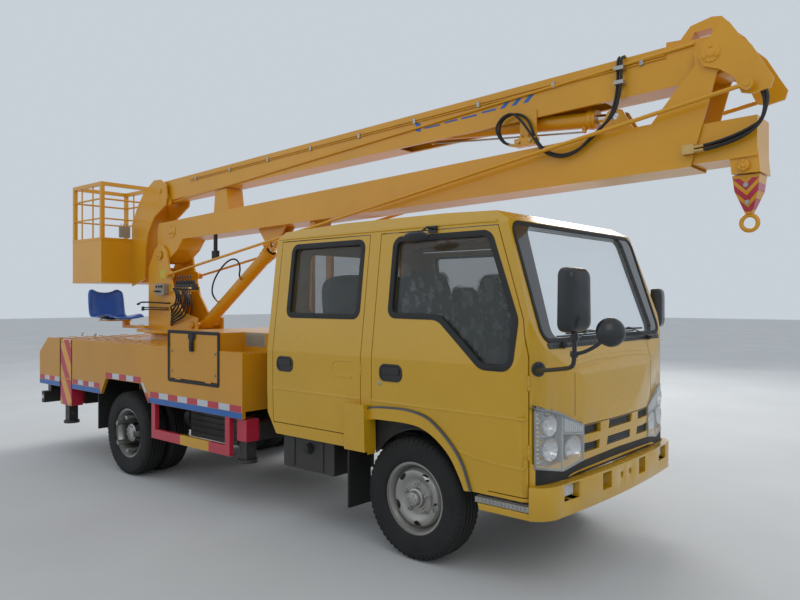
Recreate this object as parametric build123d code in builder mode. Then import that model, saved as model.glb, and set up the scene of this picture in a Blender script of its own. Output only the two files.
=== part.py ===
from build123d import *
import math
import os

os.makedirs("parts", exist_ok=True)

# Frame: millimetres, +X forward, +Y to the truck's left, +Z up, ground at Z = 0.
# The origin is on the ground under the middle of the overall length and width.
# Places along the truck are first measured from the front axle, forward positive.

WHEELBASE = 3360.0
TIP_AHEAD = 1857.0        # elbow plate nose, ahead of the front axle
BASKET_BEHIND = 5410.0    # basket rear rail, behind the front axle
FRONT_AXLE_X = (BASKET_BEHIND - TIP_AHEAD) / 2


def fx(ahead):
    """X of a place given by its distance ahead of the front axle."""
    return FRONT_AXLE_X + ahead


# Running clearances
PIN_GAP = 0.05            # radial, pin in bore
SEAT_GAP = 0.3            # faces that rest near each other
MOVE_GAP = 6.0            # pieces that pass each other

# Widths that the whole truck follows
CAB_HALF = 920.0
BED_HALF = CAB_HALF + 30      # the bed stands a little proud of the cab

# Wheels
TYRE_RADIUS = 380.0
TYRE_WIDTH = 196.0
RIM_RADIUS = 222.0
RIM_FIT = 0.5
FRONT_WHEEL_Y = CAB_HALF - 168
REAR_OUTER_Y = BED_HALF - 118
REAR_INNER_Y = REAR_OUTER_Y - 240
HUB_RADIUS = 78.0
REAR_AXLE_X = fx(-WHEELBASE)
KINGPIN_Y = FRONT_WHEEL_Y - 142
KINGPIN_RADIUS = 16.0

# Ladder frame
RAIL_Y = 370.0
RAIL_WIDTH = 60.0
RAIL_BOTTOM = 520.0
RAIL_TOP = 680.0
RAIL_WALL = 8.0
RAIL_FRONT = fx(760)
RAIL_REAR = fx(-5180)
SPRING_Y = RAIL_Y
SPRING_WIDTH = 60.0

# Cab
CAB_ROOF_HALF = CAB_HALF - 98
CAB_REAR = fx(-1320)
CAB_NOSE = fx(968)
CAB_WALL = 50.0
CAB_WAIST_Z = 1240.0
CAB_RAIL_Z = 2040.0
CAB_ROOF_Z = 2150.0
CAB_FLOOR_TOP = 905.0
CAB_FLOOR_THICK = 45.0
ARCH_CENTRE = (fx(60), 385.0)
ARCH_RADIUS = 430.0
FLARE_RADIUS = 492.0
FLARE_PROUD = 14.0
FLARE_FOOT_Z = 600.0
DOOR_GAP = 6.0
GLASS_THICK = 5.0
GLASS_INSET = 22.0

# Bed
BED_FRONT = fx(-1580)
BED_REAR = fx(-5200)
BED_TOP = 1207.0
BED_BOTTOM = 705.0
BED_SKIN = 30.0
DECK_THICK = 40.0
DECK_Z = BED_TOP - 12.0

# Turret and booms, in the truck's centre plane; outlines are (X, Z)
SLEW_X = fx(-3900)
LUFF_PIN = (fx(-4090), 2080.0)
ELBOW_PIN = (fx(1545), 2950.0)
ROD_OFFSET = (195.0, -215.0)   # level rod pin, seen from the luff pin and from the elbow pin
BASKET_PIN = (fx(-4120), 2775.0)
LIFT_FOOT = (fx(-3480), 1350.0)
LIFT_EYE = (fx(-2350), 2110.0)
FOLD_FOOT = (fx(-600), 2860.0)   # fold cylinder's pin inside the upper boom
FOLD_EYE = (fx(950), 2730.0)     # its rod's eye, on the lower boom
PIN_RADIUS = 25.0
LOWER_HALF = 135.0
LOWER_SKIN = 10.0
UPPER_HALF = 100.0
UPPER_SKIN = 9.0
JIB_HALF = 118.0
FORK_INNER = UPPER_HALF + 26
JIB_SKIN = 9.0
LEVER_THICK = 14.0
FORK_THICK = 18.0
ELBOW_PLATE_THICK = 16.0
TURRET_PLATE_THICK = 20.0


# Shapes shared by several sub-parts

def plate(outline, y_from, thickness, bores=()):
    """A plate parallel to the truck's side, from y_from towards +Y; bores are (x, z, radius)."""
    with BuildPart() as piece:
        with BuildSketch(Plane.XZ.offset(-y_from)):
            with BuildLine():
                Polyline(*outline, close=True)
            make_face()
            for x, z, radius in bores:
                with Locations((x, z)):
                    Circle(radius, mode=Mode.SUBTRACT)
        extrude(amount=-thickness)
    return piece.part


def plate_pair(outline, y_inner, thickness, bores=()):
    """Two like plates, one each side of the centre plane."""
    near = plate(outline, y_inner, thickness, bores)
    return [near, near.mirror(Plane.XZ)]


def block(low, high):
    """A box between two corners."""
    size = [b - a for a, b in zip(low, high)]
    middle = [(a + b) / 2 for a, b in zip(low, high)]
    with BuildPart() as piece:
        with Locations(tuple(middle)):
            Box(*size)
    return piece.part


def block_pair(low, high):
    """A box and its mirror image across the centre plane."""
    left = block(low, high)
    return [left, left.mirror(Plane.XZ)]


def rod(start, end, radius):
    """A round bar between two points."""
    axis = Vector(*end) - Vector(*start)
    with BuildPart(Plane(origin=start, z_dir=axis)) as piece:
        Cylinder(radius, axis.length, align=(Align.CENTER, Align.CENTER, Align.MIN))
    return piece.part


def cross_pin(place, radius, half_length):
    """A pin across the truck at (x, z)."""
    x, z = place
    return rod((x, -half_length, z), (x, half_length, z), radius)


def square_tube(start, end, side):
    """A square bar between two points, its faces square to the truck where it can be."""
    axis = Vector(*end) - Vector(*start)
    sideways = Vector(0, 1, 0) if abs(axis.Y) < 0.5 * axis.length else Vector(1, 0, 0)
    with BuildPart(Plane(origin=start, z_dir=axis, x_dir=sideways)) as piece:
        Box(side, side, axis.length, align=(Align.CENTER, Align.CENTER, Align.MIN))
    return piece.part


# A pin hinge: its outer knuckles hold the pin and belong to the carrier, the middle one turns on it

KNUCKLE_RADIUS = 8.0
KNUCKLE_LENGTH = 36.0
HINGE_PIN_RADIUS = 4.0
HINGE_GAP = 0.5


def hinge_bar(centre, along, start, end, radius):
    middle, way = Vector(*centre), Vector(*along)
    return rod(tuple(middle + way * start), tuple(middle + way * end), radius)


def add_hinge_carrier(centre, along):
    """The two outer knuckles with the pin, and room for the middle one; for the caller's block."""
    half = KNUCKLE_LENGTH / 2 + HINGE_GAP
    reach = half + KNUCKLE_LENGTH * 0.6
    add(hinge_bar(centre, along, -half, half, KNUCKLE_RADIUS + HINGE_GAP), mode=Mode.SUBTRACT)
    add(hinge_bar(centre, along, -reach, -half, KNUCKLE_RADIUS))
    add(hinge_bar(centre, along, half, reach, KNUCKLE_RADIUS))
    add(hinge_bar(centre, along, -reach, reach, HINGE_PIN_RADIUS))


def add_hinge_turner(centre, along):
    """The middle knuckle, bored for the pin, and room for the outer ones; for the caller's block."""
    half = KNUCKLE_LENGTH / 2
    reach = half + HINGE_GAP * 2 + KNUCKLE_LENGTH * 0.6
    for start, end in ((-reach, -half), (half, reach)):
        add(hinge_bar(centre, along, start, end, KNUCKLE_RADIUS + HINGE_GAP), mode=Mode.SUBTRACT)
    add(hinge_bar(centre, along, -half, half, KNUCKLE_RADIUS))
    add(hinge_bar(centre, along, -half - 1, half + 1, HINGE_PIN_RADIUS + PIN_GAP), mode=Mode.SUBTRACT)


def ahead(place, other):
    """Unit vector from one (x, z) place to another."""
    dx, dz = other[0] - place[0], other[1] - place[1]
    length = math.hypot(dx, dz)
    return dx / length, dz / length, length


def save(part, name):
    part.label = name
    export_step(part, f"parts/{name}.step")


# Wheels

def tyre(y_middle):
    """A tyre about the Y axis through the front axle's place, to be moved to its own axle."""
    half = TYRE_WIDTH / 2
    bead = RIM_RADIUS + RIM_FIT
    profile = [
        (half * 0.80, bead), (half, bead + 45), (half * 0.98, TYRE_RADIUS - 55),
        (half * 0.80, TYRE_RADIUS - 8), (half * 0.45, TYRE_RADIUS),
    ]
    points = profile + [(-y, r) for y, r in reversed(profile)]
    with BuildPart() as piece:
        with BuildSketch(Plane.YZ):
            with BuildLine():
                Polyline(*[(y_middle + y, r) for y, r in points], close=True)
            make_face()
        revolve(axis=Axis.Y)
    return piece.part


def rim(y_middle, y_disc, hand_holes=8):
    """A pressed steel rim with its disc at y_disc, about the Y axis."""
    half = TYRE_WIDTH / 2 * 0.80
    well = RIM_RADIUS - 18
    barrel = [
        (-half, RIM_RADIUS), (half, RIM_RADIUS), (half, well), (-half, well),
    ]
    with BuildPart() as piece:
        with BuildSketch(Plane.YZ):
            with BuildLine():
                Polyline(*[(y_middle + y, r) for y, r in barrel], close=True)
            make_face()
        revolve(axis=Axis.Y)
        with BuildSketch(Plane.XZ.offset(-y_disc)):
            Circle(well + 2)
            Circle(HUB_RADIUS - 4, mode=Mode.SUBTRACT)
            with PolarLocations(150, hand_holes):
                Circle(22, mode=Mode.SUBTRACT)
        extrude(amount=8, both=True)
    return piece.part


def hub(y_from, y_to, radius):
    return rod((0, y_from, 0), (0, y_to, 0), radius)


WHEEL_SIDES = {"right": -1, "left": 1}
for side, sign in WHEEL_SIDES.items():
    place = Location((FRONT_AXLE_X, 0, TYRE_RADIUS))
    with BuildPart() as tyre_front:
        add(tyre(sign * FRONT_WHEEL_Y).moved(place))
    save(tyre_front.part, f"tyre_front_{side}")

    with BuildPart() as rim_front:
        add(rim(sign * FRONT_WHEEL_Y, sign * (FRONT_WHEEL_Y + 40)).moved(place))
        add(hub(sign * (FRONT_WHEEL_Y - 40), sign * (FRONT_WHEEL_Y + 78), HUB_RADIUS).moved(place))
        add(hub(sign * (FRONT_WHEEL_Y - 41), sign * (FRONT_WHEEL_Y - 10), 25 + PIN_GAP).moved(place),
            mode=Mode.SUBTRACT)
    save(rim_front.part, f"wheel_front_{side}")

    place = Location((REAR_AXLE_X, 0, TYRE_RADIUS))
    with BuildPart() as tyres_rear:
        for y in (REAR_INNER_Y, REAR_OUTER_Y):
            add(tyre(sign * y).moved(place))
    save(tyres_rear.part, f"tyres_rear_{side}")

    with BuildPart() as rims_rear:
        add(rim(sign * REAR_INNER_Y, sign * (REAR_INNER_Y + 68)).moved(place))
        add(rim(sign * REAR_OUTER_Y, sign * (REAR_OUTER_Y - 68)).moved(place))
        add(hub(sign * (REAR_INNER_Y + 20), sign * (REAR_OUTER_Y + 60), HUB_RADIUS).moved(place))
        add(hub(sign * (REAR_INNER_Y + 19), sign * (REAR_INNER_Y + 60), 40 + PIN_GAP).moved(place),
            mode=Mode.SUBTRACT)
    save(rims_rear.part, f"wheels_rear_{side}")


# Axles, each with its pair of leaf springs

def leaf_spring(x_axle, y, eye_reach, eye_z, seat_z, thickness):
    """A leaf pack as one arc with an eye at each end, hung under the rail."""
    with BuildPart() as piece:
        with BuildSketch(Plane.XZ.offset(-(y - SPRING_WIDTH / 2))):
            with BuildLine():
                upper = ThreePointArc(
                    (x_axle - eye_reach, eye_z), (x_axle, seat_z + thickness), (x_axle + eye_reach, eye_z)
                )
                lower = ThreePointArc(
                    (x_axle - eye_reach, eye_z - 14), (x_axle, seat_z), (x_axle + eye_reach, eye_z - 14)
                )
                Line(upper @ 0, lower @ 0)
                Line(upper @ 1, lower @ 1)
            make_face()
        extrude(amount=-SPRING_WIDTH)
    return piece.part


AXLE_Z = TYRE_RADIUS
SPRING_EYE_Z = RAIL_BOTTOM - SEAT_GAP

with BuildPart() as axle_front:
    # dropped I-beam, its fist ends at the kingpins
    beam = [
        (-KINGPIN_Y - 25, AXLE_Z + 40), (-KINGPIN_Y + 60, AXLE_Z + 40), (-470, AXLE_Z - 10),
        (470, AXLE_Z - 10), (KINGPIN_Y - 60, AXLE_Z + 40), (KINGPIN_Y + 25, AXLE_Z + 40),
        (KINGPIN_Y + 25, AXLE_Z - 40), (KINGPIN_Y - 60, AXLE_Z - 40), (470, AXLE_Z - 80),
        (-470, AXLE_Z - 80), (-KINGPIN_Y + 60, AXLE_Z - 40), (-KINGPIN_Y - 25, AXLE_Z - 40),
    ]
    with BuildSketch(Plane.YZ.offset(fx(0))):
        with BuildLine():
            Polyline(*beam, close=True)
        make_face()
    extrude(amount=32, both=True)
    for sign in (-1, 1):
        y = sign * KINGPIN_Y
        add(rod((fx(0), y, AXLE_Z - 41), (fx(0), y, AXLE_Z + 41), KINGPIN_RADIUS + PIN_GAP),
            mode=Mode.SUBTRACT)
        add(leaf_spring(fx(0), sign * SPRING_Y, 600, SPRING_EYE_Z, AXLE_Z - 16, 48))
save(axle_front.part, "axle_front")

with BuildPart() as axle_rear:
    housing_end = REAR_INNER_Y - 32
    add(rod((REAR_AXLE_X, -housing_end, AXLE_Z), (REAR_AXLE_X, housing_end, AXLE_Z), 58))
    with Locations((REAR_AXLE_X, 0, AXLE_Z)):
        Sphere(150)
    for sign in (-1, 1):
        add(rod((REAR_AXLE_X, sign * (housing_end - 5), AXLE_Z),
                (REAR_AXLE_X, sign * (housing_end + 90), AXLE_Z), 40))
        add(leaf_spring(REAR_AXLE_X, sign * SPRING_Y, 640, SPRING_EYE_Z, AXLE_Z + 40, 66))
save(axle_rear.part, "axle_rear")


# Steering knuckles: a C round the axle's fist, the kingpin through it, and the wheel's stub

for side, sign in WHEEL_SIDES.items():
    y = sign * KINGPIN_Y
    with BuildPart() as knuckle:
        for low, high in ((AXLE_Z - 75, AXLE_Z - 42), (AXLE_Z + 42, AXLE_Z + 75)):
            add(block((fx(-30), min(y - sign * 20, y + sign * 75), low),
                      (fx(30), max(y - sign * 20, y + sign * 75), high)))
        add(block((fx(-38), min(y + sign * 42, y + sign * 75), AXLE_Z - 75),
                  (fx(38), max(y + sign * 42, y + sign * 75), AXLE_Z + 75)))
        add(rod((fx(0), y, AXLE_Z - 74), (fx(0), y, AXLE_Z + 74), KINGPIN_RADIUS))
        add(rod((fx(0), y + sign * 74, AXLE_Z), (fx(0), sign * (FRONT_WHEEL_Y - 12), AXLE_Z), 25))
    save(knuckle.part, f"knuckle_{side}")


# Chassis frame: two channel rails, crossmembers and the outrigger beam sleeves

OUTRIGGER_X = {"front": fx(-1650), "rear": fx(-4560)}
OUTRIGGER_BEAM_Z = 590.0
SLEEVE_OUTER = 130.0
SLEEVE_WALL = 10.0
BEAM_SIDE = SLEEVE_OUTER - 2 * SLEEVE_WALL - 2 * SEAT_GAP
OUTRIGGER_FACE_Y = {"front": BED_HALF - 45, "rear": BED_HALF}
LEG_HOUSING = 120.0       # leg housing across the truck
HOUSING_LENGTH = {"front": 120.0, "rear": 250.0}
LEG_SIDE = 90.0
SLEEVE_END = OUTRIGGER_FACE_Y["front"] - LEG_HOUSING - MOVE_GAP
FOOT_Z = {"front": 360.0, "rear": 340.0}

with BuildPart() as chassis_frame:
    for sign in (-1, 1):
        outer = sign * (RAIL_Y + RAIL_WIDTH / 2)
        inner = sign * (RAIL_Y - RAIL_WIDTH / 2)
        add(block((RAIL_REAR, min(outer, inner), RAIL_BOTTOM), (RAIL_FRONT, max(outer, inner), RAIL_TOP)))
        web = sign * (RAIL_Y + RAIL_WIDTH / 2 - RAIL_WALL)
        edge = sign * (RAIL_Y - RAIL_WIDTH / 2 - 1)
        add(block((RAIL_REAR - 1, min(web, edge), RAIL_BOTTOM + RAIL_WALL),
                  (RAIL_FRONT + 1, max(web, edge), RAIL_TOP - RAIL_WALL)), mode=Mode.SUBTRACT)
    for x in (700, -1260, -2500, -3360, -4100, -5130):
        add(block((fx(x) - 40, -RAIL_Y - RAIL_WIDTH / 2 + 1, RAIL_BOTTOM + 30),
                  (fx(x) + 40, RAIL_Y + RAIL_WIDTH / 2 - 1, RAIL_TOP - 20)))
    for x in OUTRIGGER_X.values():
        half = SLEEVE_OUTER / 2
        add(block((x - half, -SLEEVE_END, OUTRIGGER_BEAM_Z - half),
                  (x + half, SLEEVE_END, OUTRIGGER_BEAM_Z + half)))
        half = half - SLEEVE_WALL
        add(block((x - half, -SLEEVE_END - 1, OUTRIGGER_BEAM_Z - half),
                  (x + half, SLEEVE_END + 1, OUTRIGGER_BEAM_Z + half)), mode=Mode.SUBTRACT)
    # cab mounts on the rails
    for x in (560, -250, -1120):
        for part in block_pair((fx(x) - 40, RAIL_Y - 25, RAIL_TOP - 1),
                               (fx(x) + 40, RAIL_Y + 25, CAB_FLOOR_TOP - CAB_FLOOR_THICK - SEAT_GAP)):
            add(part)
save(chassis_frame.part, "chassis_frame")


# Outriggers: a beam that slides out of its sleeve, with an upright leg that slides down

BEAM_INNER_Y = 60.0
for end, x in OUTRIGGER_X.items():
    for side, sign in WHEEL_SIDES.items():
        half = BEAM_SIDE / 2
        face = OUTRIGGER_FACE_Y[end]
        house = face - LEG_HOUSING
        top = BED_TOP - 10 if end == "rear" else BED_BOTTOM - 10
        low = OUTRIGGER_BEAM_Z - 65
        with BuildPart() as beam_part:
            add(block((x - half, min(sign * BEAM_INNER_Y, sign * (house + 5)), OUTRIGGER_BEAM_Z - half),
                      (x + half, max(sign * BEAM_INNER_Y, sign * (house + 5)), OUTRIGGER_BEAM_Z + half)))
            add(block((x - HOUSING_LENGTH[end] / 2, min(sign * house, sign * face), low),
                      (x + HOUSING_LENGTH[end] / 2, max(sign * house, sign * face), top)))
            y = sign * (face - LEG_HOUSING / 2)
            bore = LEG_SIDE / 2 + SEAT_GAP
            add(block((x - bore, y - bore, low - 1), (x + bore, y + bore, top - 10)), mode=Mode.SUBTRACT)
        save(beam_part.part, f"outrigger_beam_{end}_{side}")
        with BuildPart() as leg_part:
            add(block((x - LEG_SIDE / 2, y - LEG_SIDE / 2, FOOT_Z[end] + 20),
                      (x + LEG_SIDE / 2, y + LEG_SIDE / 2, top - 20)))
            add(rod((x, y, FOOT_Z[end]), (x, y, FOOT_Z[end] + 25), 75))
        save(leg_part.part, f"outrigger_leg_{end}_{side}")


# Cab: side outline, plan and cross section meet in one volume, inset for walls and glass

CAB_LOW = 526.0
SILL_Z = 642.0
CAB_SIDE = [
    (CAB_REAR, 790), (fx(-1160), CAB_LOW), (fx(870), CAB_LOW),
    (fx(940), 640), (CAB_NOSE, 900), (fx(945), 1180), (fx(905), 1330), (fx(668), 2060),
    (fx(560), 2118), (fx(-300), CAB_ROOF_Z), (fx(-1290), 2105), (CAB_REAR, 2060),
]
CAB_SECTION = [
    (CAB_HALF - 14, 500), (CAB_HALF, 968), (CAB_HALF, CAB_WAIST_Z), (CAB_ROOF_HALF, CAB_RAIL_Z),
    (CAB_ROOF_HALF - 75, CAB_ROOF_Z - 18), (0, CAB_ROOF_Z),
]


def drawn_in(outline, inset):
    """A convex outline, given anticlockwise, with every side moved inwards by inset."""
    result = list(outline)
    for (x0, y0), (x1, y1) in zip(outline, outline[1:] + outline[:1]):
        length = math.hypot(x1 - x0, y1 - y0)
        nx, ny = (y0 - y1) / length, (x1 - x0) / length
        limit = nx * x0 + ny * y0 + inset
        clipped = []
        for (ax, ay), (bx, by) in zip(result, result[1:] + result[:1]):
            a, b = nx * ax + ny * ay - limit, nx * bx + ny * by - limit
            if a >= 0:
                clipped.append((ax, ay))
            if a * b < 0:
                share = a / (a - b)
                clipped.append((ax + share * (bx - ax), ay + share * (by - ay)))
        result = clipped
    return result


def cab_volume(inset, floor=None):
    """The cab's outer volume, drawn in by inset all round."""
    section = CAB_SECTION + [(-y, z) for y, z in reversed(CAB_SECTION[:-1])]
    half, nose, corner = CAB_HALF - inset, CAB_NOSE - inset, inset * 0.7
    shoulder, cheek = (fx(775), half), (fx(868) - corner, CAB_HALF - 52 - corner)
    brow = (fx(906) - inset, CAB_HALF - 150 - inset / 3)
    with BuildPart() as piece:
        with BuildSketch(Plane.XZ):
            with BuildLine():
                Polyline(*drawn_in(CAB_SIDE, inset), close=True)
            make_face()
        extrude(amount=CAB_HALF + 5, both=True)
        with BuildSketch(Plane.YZ.offset(CAB_REAR - 10)):
            with BuildLine():
                Polyline(*drawn_in(section, inset), close=True)
            make_face()
        extrude(amount=CAB_NOSE - CAB_REAR + 20, mode=Mode.INTERSECT)
        with BuildSketch(Plane.XY):
            with BuildLine():
                Polyline((shoulder[0], -half), (CAB_REAR + inset, -half), (CAB_REAR + inset, half), shoulder)
                ThreePointArc(shoulder, cheek, brow)
                ThreePointArc(brow, (nose, 0), (brow[0], -brow[1]))
                ThreePointArc((brow[0], -brow[1]), (cheek[0], -cheek[1]), (shoulder[0], -half))
            make_face()
        extrude(amount=CAB_ROOF_Z + 50, mode=Mode.INTERSECT)
        if floor:
            add(block((CAB_REAR - 50, -CAB_HALF - 50, 300), (CAB_NOSE + 50, CAB_HALF + 50, floor)),
                mode=Mode.SUBTRACT)
    return piece.part


def prism(outline, shrink=0.0, radius=0.0):
    """A prism right across the truck, from an (X, Z) outline drawn in by shrink."""
    with BuildPart() as piece:
        with BuildSketch(Plane.XZ) as face:
            with BuildLine():
                Polyline(*outline, close=True)
            make_face()
            if shrink:
                offset(amount=-shrink, kind=Kind.INTERSECTION)
            if radius:
                fillet(face.vertices(), radius)
        extrude(amount=CAB_HALF + 60, both=True)
    return piece.part


DOOR_TOP = 2030.0
DOOR_EDGE_FRONT = fx(848)
FRONT_DOOR_REAR = fx(-280)
REAR_DOOR_FRONT = fx(-370)
REAR_DOOR_REAR = fx(-1260)
DOORS = {
    "front": [
        (DOOR_EDGE_FRONT, 545), (DOOR_EDGE_FRONT, 1300), (fx(815), 1500), (fx(612), DOOR_TOP),
        (FRONT_DOOR_REAR, DOOR_TOP), (FRONT_DOOR_REAR, 905), (fx(0), 902), (fx(250), 868),
        (fx(430), 752), (fx(530), 600), (fx(552), 545),
    ],
    "rear": [
        (REAR_DOOR_FRONT, 722), (REAR_DOOR_FRONT, DOOR_TOP), (REAR_DOOR_REAR, DOOR_TOP),
        (REAR_DOOR_REAR, 722),
    ],
}
WINDOWS = {
    "front": [
        (fx(-150), 1508), (fx(235), 1503), (fx(560), 1232), (fx(745), 1232), (fx(765), 1495),
        (fx(556), 1985), (fx(-150), 1985),
    ],
    "rear": [(fx(-1125), 1495), (fx(-430), 1495), (fx(-430), 1985), (fx(-1125), 1985)],
}
DOOR_HINGE_X = {"front": DOOR_EDGE_FRONT - DOOR_GAP / 2, "rear": REAR_DOOR_FRONT - DOOR_GAP / 2}
DOOR_HINGE_Y = {"front": CAB_HALF - 31, "rear": CAB_HALF}   # the nose corner curves in ahead of the door
DOOR_HINGE_Z = {"front": (790, 1160), "rear": (850, 1160)}

outer = cab_volume(0)
hollow = outer - cab_volume(CAB_WALL, CAB_FLOOR_TOP)
inner_below = cab_volume(CAB_WALL) - block((CAB_REAR, -CAB_HALF, CAB_FLOOR_TOP - CAB_FLOOR_THICK),
                                          (CAB_NOSE, CAB_HALF, CAB_ROOF_Z))
glass_skin = cab_volume(GLASS_INSET) - cab_volume(GLASS_INSET + GLASS_THICK)

DOOR_INNER_Y = CAB_HALF - 220      # how far in a door's leaf and its opening reach

# what a door opening leaves alone: the floor, and everything between the side walls
between_doors = (block((CAB_REAR - 5, -CAB_HALF + CAB_WALL + 1, 300),
                       (CAB_NOSE, CAB_HALF - CAB_WALL - 1, CAB_FLOOR_TOP))
                 + block((CAB_REAR - 5, -DOOR_INNER_Y, 300), (CAB_NOSE, DOOR_INNER_Y, CAB_ROOF_Z + 150)))

# one flank of the cab, for cutting a sided piece out of a whole ring
side_half = {
    "left": block((CAB_REAR - 100, DOOR_INNER_Y + DOOR_GAP, 300), (CAB_NOSE + 100, CAB_HALF + 200, 2300)),
    "right": block((CAB_REAR - 100, -CAB_HALF - 200, 300), (CAB_NOSE + 100, -DOOR_INNER_Y - DOOR_GAP, 2300)),
}

WINDSCREEN = [
    (205 - CAB_HALF, 1385), (CAB_HALF - 205, 1385), (CAB_HALF - 272, 2035), (272 - CAB_HALF, 2035),
]
REAR_LIGHT = [(-560, 1500), (560, 1500), (540, 1950), (-540, 1950)]


def across(outline, x_from, x_to, shrink=0.0, radius=0.0):
    """A prism along the truck, from a (Y, Z) outline."""
    with BuildPart() as piece:
        with BuildSketch(Plane.YZ.offset(x_from)) as face:
            with BuildLine():
                Polyline(*outline, close=True)
            make_face()
            if shrink:
                offset(amount=-shrink, kind=Kind.INTERSECTION)
            if radius:
                fillet(face.vertices(), radius)
        extrude(amount=x_to - x_from)
    return piece.part


BUMPER_TOP = 612.0
BUMPER_LOW = 436.0
GRILLE_ROWS = (862.0, 762.0)
GRILLE_HALF = CAB_HALF - 460
GRILLE_SPLIT = 270.0      # inner end of an outer slot
GRILLE_SLOTS = ((0.0, 330.0),
                (-(GRILLE_SPLIT + GRILLE_HALF) / 2, GRILLE_HALF - GRILLE_SPLIT),
                ((GRILLE_SPLIT + GRILLE_HALF) / 2, GRILLE_HALF - GRILLE_SPLIT))
GRILLE_SLOT_HEIGHT = 52.0
LAMP = [
    (GRILLE_HALF + 10, 742), (CAB_HALF - 120, 705), (CAB_HALF - 15, 742), (CAB_HALF - 15, 1052),
    (CAB_HALF - 220, 985), (GRILLE_HALF + 10, 905),
]
FOG_LAMP_Y = CAB_HALF - 270
LAMP_DEPTH = 46.0
LAMP_REAR = fx(856)

with BuildPart() as cab_shell:
    add(hollow)
    # underside open between the skirts, under the floor
    add(inner_below, mode=Mode.SUBTRACT)
    add(block((CAB_REAR - 10, -CAB_HALF + CAB_WALL + 14, 400),
              (fx(850), CAB_HALF - CAB_WALL - 14, CAB_FLOOR_TOP - CAB_FLOOR_THICK)), mode=Mode.SUBTRACT)
    # the floor stops short of the grille
    add(cab_volume(CAB_WALL).intersect(block((fx(868), -CAB_HALF, 855),
                                             (CAB_NOSE, CAB_HALF, CAB_FLOOR_TOP + 1))),
        mode=Mode.SUBTRACT)
    for outline in DOORS.values():
        add(prism(outline) - between_doors, mode=Mode.SUBTRACT)
    add(across(WINDSCREEN, fx(560), fx(1000), radius=60), mode=Mode.SUBTRACT)
    add(across(REAR_LIGHT, fx(-1400), fx(-1200), radius=60), mode=Mode.SUBTRACT)
    # the sill stands higher behind the wheel than the doorstep ahead of it
    add(block((CAB_REAR - 10, -CAB_HALF - 10, 500), (fx(-305), CAB_HALF + 10, SILL_Z)),
        mode=Mode.SUBTRACT)
    # wheel arches
    add(rod((ARCH_CENTRE[0], -CAB_HALF - 40, ARCH_CENTRE[1]), (ARCH_CENTRE[0], CAB_HALF + 40,
            ARCH_CENTRE[1]), ARCH_RADIUS), mode=Mode.SUBTRACT)
    for sign in (-1, 1):
        skin, lip = sign * (CAB_HALF - 16), sign * (CAB_HALF + FLARE_PROUD)
        with BuildPart() as flare:
            add(rod((ARCH_CENTRE[0], skin, ARCH_CENTRE[1]), (ARCH_CENTRE[0], lip, ARCH_CENTRE[1]),
                    FLARE_RADIUS))
            add(rod((ARCH_CENTRE[0], skin - sign, ARCH_CENTRE[1]), (ARCH_CENTRE[0], lip + sign, ARCH_CENTRE[1]),
                    ARCH_RADIUS), mode=Mode.SUBTRACT)
            add(block((CAB_REAR, -CAB_HALF - 40, -FLARE_RADIUS), (CAB_NOSE, CAB_HALF + 40, FLARE_FOOT_Z)),
                mode=Mode.SUBTRACT)
        add(flare.part)
    for z in GRILLE_ROWS:
        for y, width in GRILLE_SLOTS:
            add(block((fx(860), y - width / 2, z - GRILLE_SLOT_HEIGHT / 2),
                      (fx(1000), y + width / 2, z + GRILLE_SLOT_HEIGHT / 2)), mode=Mode.SUBTRACT)
    for sign in (-1, 1):
        lamp_outline = [(sign * y, z) for y, z in LAMP]
        add(across(lamp_outline, LAMP_REAR, fx(1000), shrink=-2), mode=Mode.SUBTRACT)
    # open behind the bumper, where its brackets pass
    add(block((fx(700), 160 - CAB_HALF, 500), (fx(1000), CAB_HALF - 160, BUMPER_TOP - 6)), mode=Mode.SUBTRACT)
    for row, x in DOOR_HINGE_X.items():
        for z in DOOR_HINGE_Z[row]:
            for sign in (-1, 1):
                add_hinge_carrier((x, sign * DOOR_HINGE_Y[row], z), (0, 0, 1))
save(cab_shell.part, "cab_shell")
liner = cab_volume(CAB_WALL + SEAT_GAP)

with BuildPart() as cab_glass:
    add(glass_skin)
    add(across(WINDSCREEN, fx(560), fx(1000), shrink=SEAT_GAP, radius=60)
        + across(REAR_LIGHT, fx(-1400), fx(-1200), shrink=SEAT_GAP, radius=60), mode=Mode.INTERSECT)
save(cab_glass.part, "cab_glass")


# Doors: cut from the same wall as the cab, a gap smaller than their opening, each with its pane

for row, outline in DOORS.items():
    leaf = prism(outline, shrink=DOOR_GAP)
    window = prism(WINDOWS[row], radius=35)
    pane = prism(WINDOWS[row], shrink=SEAT_GAP, radius=35 - SEAT_GAP)
    for side, half_space in side_half.items():
        with BuildPart() as door:
            add(hollow)
            add(leaf, mode=Mode.INTERSECT)
            add(half_space, mode=Mode.INTERSECT)
            add(block((CAB_REAR, -CAB_HALF + CAB_WALL, 400),
                      (CAB_NOSE, CAB_HALF - CAB_WALL, CAB_FLOOR_TOP + 1)),
                mode=Mode.SUBTRACT)
            add(window, mode=Mode.SUBTRACT)
            if row == "front":
                add(rod((ARCH_CENTRE[0], -CAB_HALF - 40, ARCH_CENTRE[1]),
                        (ARCH_CENTRE[0], CAB_HALF + 40, ARCH_CENTRE[1]), FLARE_RADIUS + DOOR_GAP),
                    mode=Mode.SUBTRACT)
            sign = WHEEL_SIDES[side]
            for z in DOOR_HINGE_Z[row]:
                add_hinge_turner((DOOR_HINGE_X[row], sign * DOOR_HINGE_Y[row], z), (0, 0, 1))
        save(door.part, f"door_{row}_{side}")
        with BuildPart() as door_glass:
            add(glass_skin)
            add(pane, mode=Mode.INTERSECT)
            add(half_space, mode=Mode.INTERSECT)
        save(door_glass.part, f"door_glass_{row}_{side}")


# Nose: bumper, grille backing and lamps

BUMPER_NOSE = fx(1000)
BUMPER_END = fx(862)
BUMPER_HALF = CAB_HALF - 2
BUMPER_THICK = 30.0

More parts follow.
